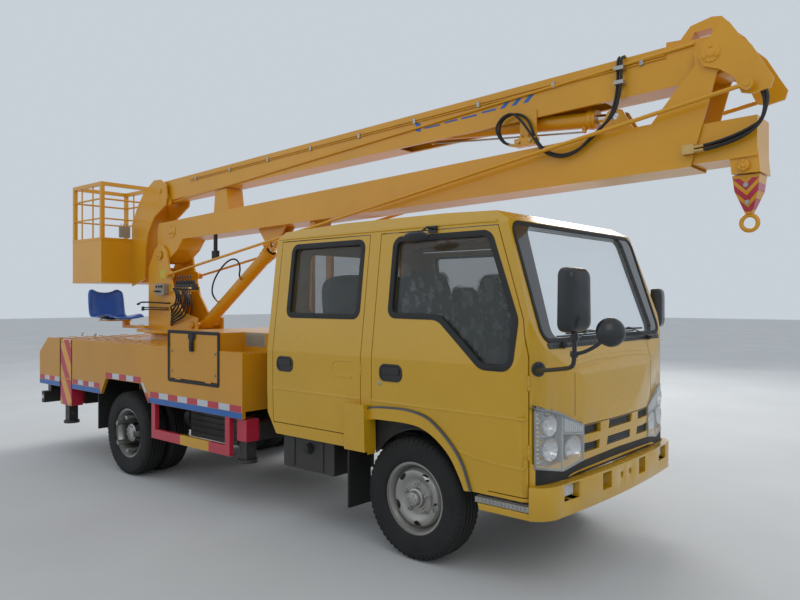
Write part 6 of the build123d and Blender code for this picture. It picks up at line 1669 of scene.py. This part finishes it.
# Blank yellow valve block on the fold cylinder with its unions
bm = bmesh.new()
add_box(bm, (fx(0.300), -0.158, 2.612), (fx(0.455), -0.096, 2.665))
for x in (0.330, 0.380, 0.430):
    add_lathe(bm, [(0, 0.016), (0.014, 0.016), (0.016, 0.011), (0.030, 0.011), (0.031, 0.0)],
              (fx(x), -0.115, 2.664), "Z", 18)
add_box(bm, (fx(0.315), -0.112, 2.655), (fx(0.440), -0.099, 2.850))
finish_piece(bm, "valve_block", "boom", "upper_boom", bevel=0.003)
bm = bmesh.new()
for x in (0.335, 0.420):
    add_hex(bm, (fx(x), -0.158, 2.640), (0, -1, 0), 0.012, 0.014)
finish_piece(bm, "valve_nuts", "brass", "upper_boom")


def hose(name, points, diameter, body, mat="rubber"):
    """A free hose on one NURBS line, with a crimped fitting at each end."""
    curve = bpy.data.curves.new(name, "CURVE")
    curve.dimensions = "3D"
    spline = curve.splines.new("NURBS")
    spline.points.add(len(points) - 1)
    for point, place in zip(spline.points, points):
        point.co = (fx(place[0]), place[1], place[2], 1)
    spline.order_u = 3
    spline.use_endpoint_u = True
    curve.resolution_u = 10
    obj = bpy.data.objects.new(name, curve)
    scene.collection.objects.link(obj)
    curve.materials.append(MATS[mat])
    bpy.context.view_layer.update()
    line = obj.to_mesh()
    reach = [v.co.copy() for v in line.vertices]
    obj.to_mesh_clear()
    curve.bevel_depth = diameter / 2
    curve.bevel_resolution = 3
    curve.use_fill_caps = True
    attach(obj, body)
    ends = bmesh.new()
    r = diameter / 2
    for a, b in ((reach[0], reach[1]), (reach[-1], reach[-2])):
        way = (b - a).normalized()
        add_lathe(ends, [(-0.012, r * 0.75), (-0.010, r * 1.25), (0.004, r * 1.3), (0.006, r * 1.12),
                         (0.030, r * 1.16), (0.042, r * 1.02), (0.043, r * 0.6)], a, way, 18)
    finish_piece(ends, name + "_ends", "brass", body)
    return obj


# Two hoses clamped over the upper boom near the elbow, dropping to the valve block
for k, y in enumerate((-0.118, -0.140)):
    x = 1.000 + k * 0.030
    off = -0.152 - k * 0.022
    hose(f"boom_hose_{k + 1}", [(x, -0.060, 3.054), (x, -0.100, 3.064), (x, y - 0.003, 3.040),
                                (x, y - 0.004, 2.97), (x, y - 0.004, 2.90), (x - 0.012, y - 0.010, 2.80),
                                (x - 0.035, off + 0.006, 2.70), (0.860, off, 2.600),
                                (0.760, off, 2.530 - k * 0.016), (0.640, off, 2.508 - k * 0.016),
                                (0.520, off, 2.560 - k * 0.010), (0.440, y - 0.02, 2.665),
                                (0.395 - k * 0.05, y - 0.014, 2.790), (0.300 - k * 0.02, y - 0.010, 2.845),
                                (0.200, y - 0.008, 2.830), (0.155 - k * 0.012, y - 0.004, 2.765),
                                (0.175, y, 2.690), (0.230, y, 2.640),
                                (0.292, y + 0.004, 2.632 - k * 0.004)], BOOM_HOSE, "upper_boom")
bm = bmesh.new()
for z in (2.985, 2.900):
    add_box(bm, (fx(0.985), -0.155, z - 0.012), (fx(1.046), -0.099, z + 0.012))
finish_piece(bm, "hose_clamps", "steel", "upper_boom", bevel=0.002)

# Bundle from the elbow to the jib's mouth
for k in range(4):
    y, up, dx = -0.152 - (k % 2) * 0.020, (k // 2) * 0.022, (k % 2) * 0.012
    hose(f"jib_hose_{k + 1}", [(1.770 + dx, -0.110 + k * 0.03, 2.760),
                               (1.800 + dx, -0.125 + k * 0.02, 2.690), (1.815 + dx, y, 2.610),
                               (1.795 + dx, y, 2.540), (1.745 + dx, y, 2.490 + up), (1.680, y, 2.460 + up),
                               (1.600, y, 2.440 + up), (1.530, y, 2.428 + up), (1.470, y, 2.424 + up)],
         JIB_HOSE, "lower_boom")
bm = bmesh.new()
add_box(bm, (fx(1.395), -0.180, 2.410), (fx(1.462), -0.134, 2.464))
for k in range(4):
    y, z = -0.152 - (k % 2) * 0.020, 2.424 + (k // 2) * 0.022
    add_tube(bm, [(fx(1.455), y, z), (fx(1.475), y, z)], 0.009, 12)
finish_piece(bm, "jib_manifold", "brass", "lower_boom", bevel=0.002)

# Pin caps on the jib's head and bolts on the hook block
bm = bmesh.new()
for sign in (-1, 1):
    pin_cap(bm, 1.700, 2.325, sign * 0.1182, sign, 0.030)
finish_piece(bm, "jib_pin_caps", "boom", "jib")
bm = bmesh.new()
for sign in (-1, 1):
    for z in (2.225, 2.135):
        add_hex(bm, (fx(1.700), sign * 0.0735 if z > 2.2 else sign * 0.045, z), (0, sign, 0), 0.010, 0.006)
finish_piece(bm, "hook_bolts", "steel", "hook")

# Turret: covers, blank plate, control box, lever, valve bank, hoses, moulded seat

bm = bmesh.new()
for sign in (-1, 1):
    pin_cap(bm, -4.090, 2.080, sign * 0.1732, sign, 0.046)
    pin_cap(bm, -3.480, 1.350, sign * 0.1732, sign, 0.034)
finish_piece(bm, "turret_covers", "boom", "turret")
bm = bmesh.new()
add_prism(bm, rounded([(fx(-4.090), 1.832), (fx(-3.948), 1.832), (fx(-3.948), 1.922), (fx(-4.090), 1.922)],
                      0.006, 3), on_xz, -0.1595, -0.1640)
finish_piece(bm, "turret_plate", "plate_yellow", "turret", bevel=0.001)
bm = bmesh.new()
add_prism(bm, rounded([(fx(-4.092), 1.660), (fx(-3.925), 1.660), (fx(-3.925), 1.772), (fx(-4.092), 1.772)],
                      0.008, 3), on_xz, -0.1600, -0.2150)
add_prism(bm, rounded([(fx(-4.098), 1.654), (fx(-3.919), 1.654), (fx(-3.919), 1.778), (fx(-4.098), 1.778)],
                      0.010, 3), on_xz, -0.2150, -0.2210)
finish_piece(bm, "control_box", "box_grey", "turret", bevel=0.002)
bm = bmesh.new()
for x, z, r in ((-4.060, 1.745, 0.011), (-4.010, 1.745, 0.011), (-3.960, 1.745, 0.014)):
    add_lathe(bm, [(0, r), (0.008, r), (0.012, r * 0.8), (0.013, 0)], (fx(x), -0.2205, z), (0, -1, 0), 20)
for x in (-4.06, -4.02, -3.98):
    add_lathe(bm, [(0, 0.006), (0.024, 0.005), (0.028, 0.008), (0.036, 0.008), (0.040, 0)],
              (fx(x), -0.2205, 1.690), (0, -1, 0.25), 14)
finish_piece(bm, "control_knobs", "trim", "turret")
bm = bmesh.new()
add_tube(bm, smooth_line([(fx(-4.400), -0.235, 1.560), (fx(-4.360), -0.232, 1.578),
                          (fx(-4.20), -0.225, 1.580), (fx(-3.93), -0.220, 1.572),
                          (fx(-3.90), -0.200, 1.570), (fx(-3.90), -0.158, 1.570)], 5), 0.008, 12)
for k, z in enumerate((1.500, 1.520)):
    add_tube(bm, smooth_line([(fx(-4.300), -0.235 - k * 0.02, z), (fx(-4.15), -0.23, z + 0.004),
                              (fx(-3.95), -0.215, z), (fx(-3.93), -0.158, z)], 5), 0.006, 10)
finish_piece(bm, "control_levers", "rubber", "turret")
bm = bmesh.new()
for x, z in ((-4.410, 1.560), (-4.312, 1.500), (-4.312, 1.522)):
    add_lathe(bm, [(-0.025, 0), (-0.020, 0.010), (0.0, 0.013), (0.018, 0.011), (0.024, 0)],
              (fx(x), -0.237, z), (1, 0, 0.1), 18)
finish_piece(bm, "lever_grips", "trim", "turret")

# Valve bank on a bracket beside the near plate, below the level rod
bm = bmesh.new()
add_box(bm, (fx(-3.900), -0.172, 1.690), (fx(-3.345), -0.162, 1.735))
add_box(bm, (fx(-3.705), -0.262, 1.690), (fx(-3.345), -0.165, 1.700))
finish_piece(bm, "valve_bracket", "boom", "turret", bevel=0.002)
bm = bmesh.new()
for k in range(7):
    x = -3.680 + k * 0.047
    add_box(bm, (fx(x), -0.245, 1.700), (fx(x + 0.043), -0.178, 1.762))
    add_lathe(bm, [(0, 0.017), (0.030, 0.017), (0.034, 0.012), (0.040, 0.012), (0.041, 0)],
              (fx(x + 0.0215), -0.212, 1.760), "Z", 18)
finish_piece(bm, "valve_bank", "iron", "turret", bevel=0.002)
bm = bmesh.new()
for k in range(7):
    x = -3.6585 + k * 0.047
    add_tube(bm, [(fx(x), -0.228, 1.760), (fx(x), -0.236, 1.790), (fx(x), -0.245, 1.830)], 0.0035, 8)
    add_lathe(bm, [(-0.010, 0), (-0.007, 0.008), (0.004, 0.009), (0.010, 0.005), (0.011, 0)],
              (fx(x), -0.247, 1.838), "Z", 14)
finish_piece(bm, "valve_levers", "trim", "turret")
for k in range(6):
    x = -3.640 + k * 0.055
    drop = 0.012 * k
    out = 0.012 * (k % 3)
    hose(f"valve_hose_{k + 1}", [(-3.868, -0.1615, 1.490 - k * 0.030),
                                 (-3.818 - k * 0.008, -0.190, 1.500 - k * 0.030),
                                 (x - 0.16, -0.215, 1.530 - k * 0.018),
                                 (x - 0.07, -0.245, 1.545 - k * 0.004), (x + 0.03, -0.285 - out, 1.555),
                                 (x + 0.12, -0.318 - out, 1.595 - drop),
                                 (x + 0.15, -0.335 - out, 1.665 - drop),
                                 (x + 0.09, -0.330 - out, 1.712 - drop), (x + 0.02, -0.292, 1.718),
                                 (x, -0.252, 1.720)], VALVE_HOSE, "turret")
for k in range(5):
    y = -0.080 + k * 0.040
    lean = 0.022 * math.sin(k * 2.1)
    hose(f"riser_hose_{k + 1}", [(-3.930 - 0.006 * k, y, 1.2925), (-3.925, y, 1.38),
                                 (-3.900 + lean, y + lean * 0.3, 1.48), (-3.880 + lean, y, 1.56),
                                 (-3.870, y - lean * 0.3, 1.63), (-3.885 - lean, y, 1.70)], RISER_HOSE,
         "turret", mat="brown_hose")
hose("lift_hose", [(-3.180, -0.066, 1.590), (-3.185, -0.130, 1.640), (-3.160, -0.142, 1.760),
                   (-3.060, -0.142, 1.880), (-2.920, -0.142, 1.975), (-2.800, -0.142, 2.000),
                   (-2.725, -0.142, 1.960), (-2.710, -0.140, 1.890), (-2.760, -0.120, 1.830),
                   (-2.800, -0.066, 1.806)], LIFT_HOSE, "lift_barrel")

# Moulded blue seat on its post
bm = bmesh.new()
profile = smooth_line([(-4.372, 0, 1.405), (-4.392, 0, 1.424), (-4.470, 0, 1.426), (-4.600, 0, 1.412),
                       (-4.720, 0, 1.404), (-4.790, 0, 1.420), (-4.822, 0, 1.475), (-4.838, 0, 1.560),
                       (-4.850, 0, 1.640), (-4.862, 0, 1.688), (-4.880, 0, 1.694)], 5)
rows = []
count = len(profile)
for i, p in enumerate(profile):
    share = i / (count - 1)
    half = 0.206 * (1 - 0.10 * abs(share * 2 - 1) ** 3 - 0.22 * max(0.0, (share - 0.82) / 0.18) ** 2.2)
    before, after = profile[max(i - 1, 0)], profile[min(i + 1, count - 1)]
    way = (after - before).normalized()
    normal = Vector((-way.z, 0, way.x))
    if normal.x < 0 and share > 0.5:
        normal = -normal
    if normal.z < 0 and share <= 0.5:
        normal = -normal
    row = []
    for k in range(21):
        v = k / 10 - 1
        rise = 0.034 * abs(v) ** 2.6 - 0.010 * (1 - v * v)
        lip = -0.018 * max(0.0, abs(v) - 0.9) * 10
        q = p + normal * (rise + lip)
        row.append(bm.verts.new((fx(q.x), -0.390 + v * half, q.z)))
    rows.append(row)
for a, b in zip(rows, rows[1:]):
    for k in range(20):
        bm.faces.new((a[k], a[k + 1], b[k + 1], b[k]))
seat = finish_piece(bm, "operator_seat_shell", "blue_seat", "turret", smooth=60)
wall = seat.modifiers.new("wall", "SOLIDIFY")
wall.thickness = 0.006
wall.offset = 0.0
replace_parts(seat, "operator_seat")
bm = bmesh.new()
add_prism(bm, rounded([(fx(-4.662), -0.292), (fx(-4.598), -0.292), (fx(-4.598), -0.228),
                       (fx(-4.662), -0.228)], 0.008, 3), on_xy, 1.2975, 1.385)
add_box(bm, (fx(-4.660), -0.290, 1.2975), (fx(-4.200), -0.230, 1.330))
add_box(bm, (fx(-4.740), -0.520, 1.378), (fx(-4.520), -0.250, 1.390))
finish_piece(bm, "seat_post", "boom", "turret", bevel=0.003)
bm = bmesh.new()
for x in (-4.72, -4.54):
    for y in (-0.50, -0.27):
        add_hex(bm, (fx(x), y, 1.390), (0, 0, 1), 0.009, 0.008)
for y in (-0.275, -0.245):
    add_hex(bm, (fx(-4.30), y, 1.330), (0, 0, 1), 0.009, 0.008)
finish_piece(bm, "seat_bolts", "steel", "turret")

# Slew ring: bolts round the turntable
bm = bmesh.new()
for k in range(24):
    t = 2 * math.pi * (k + 0.5) / 24
    add_hex(bm, (fx(-3.900) + 0.375 * math.cos(t), 0.375 * math.sin(t), 1.2915), (0, 0, 1), 0.011, 0.010)
finish_piece(bm, "slew_bolts", "steel", "turret")

# Basket: a second rail round it, panel edges, floor tread, bars and controls
X0, X1, Y0, Y1 = -5.410, -4.720, -0.500, 0.160
bm = bmesh.new()
for z, r in ((2.715, 0.010), (2.500, 0.009)):
    ring = rounded([(fx(X0 + 0.012), Y0 + 0.012), (fx(X1 - 0.012), Y0 + 0.012),
                    (fx(X1 - 0.012), Y1 - 0.012), (fx(X0 + 0.012), Y1 - 0.012)], 0.03, 5)
    add_tube(bm, [(u, v, z) for u, v in ring], r, 10, closed=True)
finish_piece(bm, "basket_rails", "boom", "basket")
bm = bmesh.new()
for y in (Y0, Y1):
    out = -1 if y == Y0 else 1
    for low, high in ((1.797, 1.822), (2.262, 2.288)):
        add_box(bm, (fx(X0 + 0.004), min(y - 0.001, y + out * 0.004), low),
                (fx(X1 - 0.004), max(y + 0.001, y + out * 0.004), high))
for x in (X0, X1):
    out = -1 if x == X0 else 1
    for low, high in ((1.797, 1.822), (2.262, 2.288)):
        add_box(bm, (fx(x) + min(-0.001, out * 0.004), Y0 + 0.004, low),
                (fx(x) + max(0.001, out * 0.004), Y1 - 0.004, high))
finish_piece(bm, "basket_panel_edges", "boom", "basket", bevel=0.001)
bm = bmesh.new()
for k in range(9):
    x = X0 + 0.08 + k * 0.066
    for j in range(8):
        y = Y0 + 0.08 + j * 0.072
        lean = 0.016 if (j + k) % 2 else -0.016
        add_tube(bm, [(fx(x) - 0.016, y - lean, 1.8085), (fx(x) + 0.016, y + lean, 1.8085)], 0.003, 6)
finish_piece(bm, "basket_tread", "floor_plate", "basket")
bm = bmesh.new()
for x in (X0 + 0.20, X0 + 0.46):
    add_tube(bm, [(fx(x), Y0 + 0.018, 2.288), (fx(x), Y0 + 0.018, 2.872)], 0.0085, 10)
    add_tube(bm, [(fx(x), Y1 - 0.018, 2.288), (fx(x), Y1 - 0.018, 2.872)], 0.0085, 10)
finish_piece(bm, "basket_bars", "boom", "basket")
bm = bmesh.new()
add_box(bm, (fx(X1) - 0.002, -0.30, 2.30), (fx(X1) + 0.030, -0.18, 2.42))
for y in (-0.28, -0.25, -0.22, -0.20):
    add_tube(bm, [(fx(X1) + 0.015, y, 2.42), (fx(X1) + 0.012, y, 2.455)], 0.004, 8)
finish_piece(bm, "basket_controls", "box_grey", "basket", bevel=0.003)

# Cab seats: padded cushions and high backs in clear film, with seams, bases and belts
from mathutils import noise as field

MATS["seat_cloth"] = plastic("seat_cloth_grey", (0.085, 0.085, 0.092), roughness=0.85, grain=1400, depth=0.3)
MATS["seat_side"] = plastic("seat_side_dark", (0.035, 0.035, 0.038), roughness=0.8, grain=1400, depth=0.3)
# Clear film over the seats: where the noise is high the film turns whitish and nearly opaque, painted
# highlights on the plastic; elsewhere it stays almost clear
film, film_tree, film_shader = new_material("clear_film_painted_highlights")
film_highlight_noise = noise(film_tree, 11, 4, 0.58)
film_tree.links.new(math_node(film_tree, "MULTIPLY",
                              ramp(film_tree, film_highlight_noise, [(0.50, (0.04, 0.04, 0.04)), (0.58, (1, 1, 1))]),
                              0.8), film_shader.inputs["Alpha"])
film_shader.inputs["Base Color"].default_value = (0.80, 0.83, 0.86, 1)
film_tree.links.new(math_node(film_tree, "ADD", math_node(film_tree, "MULTIPLY", film_highlight_noise, 0.1), 0.05),
                    film_shader.inputs["Roughness"])
film_shader.inputs["Coat Weight"].default_value = 0.6
bump(film_tree, film_shader, noise(film_tree, 30, 4, 0.6), 0.6, 0.01)
MATS["film"] = film


def pillow(bm, centre, size, lean, crown, cuts=20, power=5.0, seams=(), puff=0.0, wrinkle=0.0, seed=0.0):
    """A stuffed block: superellipse sides, a domed top, seam grooves across it and soft wrinkles."""
    start = len(bm.verts)
    bmesh.ops.create_cube(bm, size=2.0)
    bm.verts.ensure_lookup_table()
    new = bm.verts[start:]
    edges = list({e for v in new for e in v.link_edges})
    bmesh.ops.subdivide_edges(bm, edges=edges, cuts=cuts, use_grid_fill=True)
    bm.verts.ensure_lookup_table()
    turn = Matrix.Rotation(lean, 3, "Y")
    for v in bm.verts[start:]:
        u = v.co.copy()
        top = max(abs(u.x), abs(u.y), abs(u.z))
        total = (abs(u.x) ** power + abs(u.y) ** power + abs(u.z) ** power) ** (1 / power)
        u = u * (top / max(total, 1e-6))
        dome = crown * (1 - min(1, abs(u.x)) ** 2) * (1 - min(1, abs(u.y)) ** 2) if u.z > 0.2 else 0.0
        q = Vector((u.x * size[0] / 2, u.y * size[1] / 2, u.z * size[2] / 2 + dome))
        if u.z > 0.2:
            for axis, place in seams:
                away = abs(u[axis] - place) * size[axis] / 2
                q.z -= 0.009 * math.exp(-(away / 0.007) ** 2)
        if puff or wrinkle:
            n = Vector((u.x ** 3, u.y ** 3, u.z ** 3)).normalized()
            fold = field.noise(Vector((q.x * 9 + seed, q.y * 9,
                                       q.z * 9))) + 0.5 * field.noise(
                                           Vector((q.x * 26, q.y * 26 + seed, q.z * 26)))
            q += n * (puff + wrinkle * abs(fold))
        v.co = Vector(centre) + turn @ q


SEATS = [("driver", 0.440, 0.480, -0.160), ("passenger", -0.440, 0.480, -0.160),
         ("middle", 0.0, 0.300, -0.160)]
for label, y, width, x in SEATS:
    high = 0.0 if label != "middle" else -0.10
    cushion = (fx(x + 0.235), y, 1.105)
    back_centre = (fx(x - 0.030), y, 1.475 + high / 2)
    cushion_size = (0.500, width - 0.030, 0.130)
    back_size = (0.640 + high, width - 0.040, 0.105)
    for part, centre, size, lean, seams in (("cushion", cushion, cushion_size, -0.07,
                                             [(1, -0.62), (1, 0.62), (0, 0.55)]),
                                            ("back", back_centre, back_size, math.pi / 2 - 0.12,
                                             [(1, -0.60), (1, 0.60), (0, 0.60), (0, -0.1)])):
        bm = bmesh.new()
        pillow(bm, centre, size, lean, 0.020, seams=seams)
        pad = finish_piece(bm, f"seat_{part}_{label}", "seat_cloth", "truck", smooth=80)
        bm = bmesh.new()
        pillow(bm, centre, (size[0] + 0.012, size[1] + 0.012, size[2] + 0.008), lean,
               0.022, cuts=34, power=6.0, puff=0.002, wrinkle=0.012, seed=y * 7 + len(part))
        finish_piece(bm, f"seat_film_{part}_{label}", "film", "truck", smooth=50)
    bm = bmesh.new()
    add_box(bm, (fx(x + 0.02), y - width / 2 + 0.03, 0.905), (fx(x + 0.45), y + width / 2 - 0.03, 1.045))
    add_box(bm, (fx(x + 0.00), y - width / 2 + 0.05, 1.00), (fx(x + 0.06), y + width / 2 - 0.05, 1.20))
    finish_piece(bm, f"seat_base_{label}", "seat_side", "truck", bevel=0.02, segments=4)
bm = bmesh.new()
pillow(bm, (fx(-0.630), 0, 1.105), (0.480, 1.470, 0.130), -0.06, 0.016, cuts=26, power=7,
       seams=[(1, -0.33), (1, 0.33), (0, 0.6)])
pad = finish_piece(bm, "bench_cushion", "seat_cloth", "truck", smooth=80)
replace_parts(bpy.data.objects["seat_cushion_driver"], "seats")
bm = bmesh.new()
pillow(bm, (fx(-0.895), 0, 1.470), (0.640, 1.470, 0.100), math.pi / 2 - 0.10, 0.014, cuts=26, power=7,
       seams=[(1, -0.33), (1, 0.33), (0, -0.6)])
pad = finish_piece(bm, "bench_back", "seat_cloth", "truck", smooth=80)
bm = bmesh.new()
add_box(bm, (fx(-0.850), -0.72, 0.905), (fx(-0.420), 0.72, 1.045))
finish_piece(bm, "bench_base", "seat_side", "truck", bevel=0.02, segments=4)

# Belts on the door pillars
bm = bmesh.new()
for sign in (-1, 1):
    line = smooth_line([(fx(-0.300), sign * 0.775, 1.900), (fx(-0.300), sign * 0.790, 1.600),
                        (fx(-0.300), sign * 0.800, 1.300), (fx(-0.300), sign * 0.805, 1.000)], 6)
    add_strip(bm, line, [Vector((0, sign, 0))] * len(line), 0.046, 0.0015, sink=0.0, closed=False, crown=0.1)
finish_piece(bm, "seat_belts", "seat_side", "truck")
# Floor, lights and camera

def studio():
    floor_mesh = bpy.data.meshes.new("floor")
    size = 60.0
    floor_mesh.from_pydata([(-size, -size, 0), (size, -size, 0), (size, size, 0), (-size, size, 0)], [],
                           [(0, 1, 2, 3)])
    floor = bpy.data.objects.new("floor", floor_mesh)
    scene.collection.objects.link(floor)
    mat, tree, shader = new_material("floor_pale")
    tone = ramp(tree, noise(tree, 0.6, 6), [(0.3, (0.60, 0.60, 0.59)), (0.7, (0.66, 0.66, 0.65))])
    tree.links.new(tone, shader.inputs["Base Color"])
    shader.inputs["Roughness"].default_value = 0.85
    floor_mesh.materials.append(mat)

    world = bpy.data.worlds.new("studio") if scene.world is None else scene.world
    scene.world = world
    world.use_nodes = True
    background = world.node_tree.nodes["Background"]
    background.inputs["Color"].default_value = (0.80, 0.87, 0.95, 1)
    background.inputs["Strength"].default_value = 0.72

    def area(name, place, target, size, power, color):
        light = bpy.data.lights.new(name, "AREA")
        light.size = size
        light.energy = power
        light.color = color
        lamp = bpy.data.objects.new(name, light)
        lamp.location = place
        lamp.rotation_euler = (Vector(target) - Vector(place)).to_track_quat("-Z", "Y").to_euler()
        scene.collection.objects.link(lamp)

    area("key", (9.0, -7.0, 9.0), (1.0, 0, 1.2), 6.0, 130, (1.0, 0.97, 0.92))
    area("fill", (-7.0, -9.0, 6.0), (-0.5, 0, 1.2), 7.0, 40, (0.92, 0.96, 1.0))
    area("back", (-3.0, 9.0, 8.0), (0, 0, 1.5), 6.0, 600, (1, 1, 1))


def camera():
    data = bpy.data.cameras.new("camera")
    data.sensor_width = 36.0
    data.lens = 707.0 / 800.0 * 36.0
    cam = bpy.data.objects.new("camera", data)
    cam.location = (fx(2.79755), -4.17415, 1.60365)
    cam.rotation_euler = (math.radians(90.0), 0.0, math.radians(41.046))
    scene.collection.objects.link(cam)
    scene.camera = cam


studio()
camera()
scene.view_settings.view_transform = "Standard"
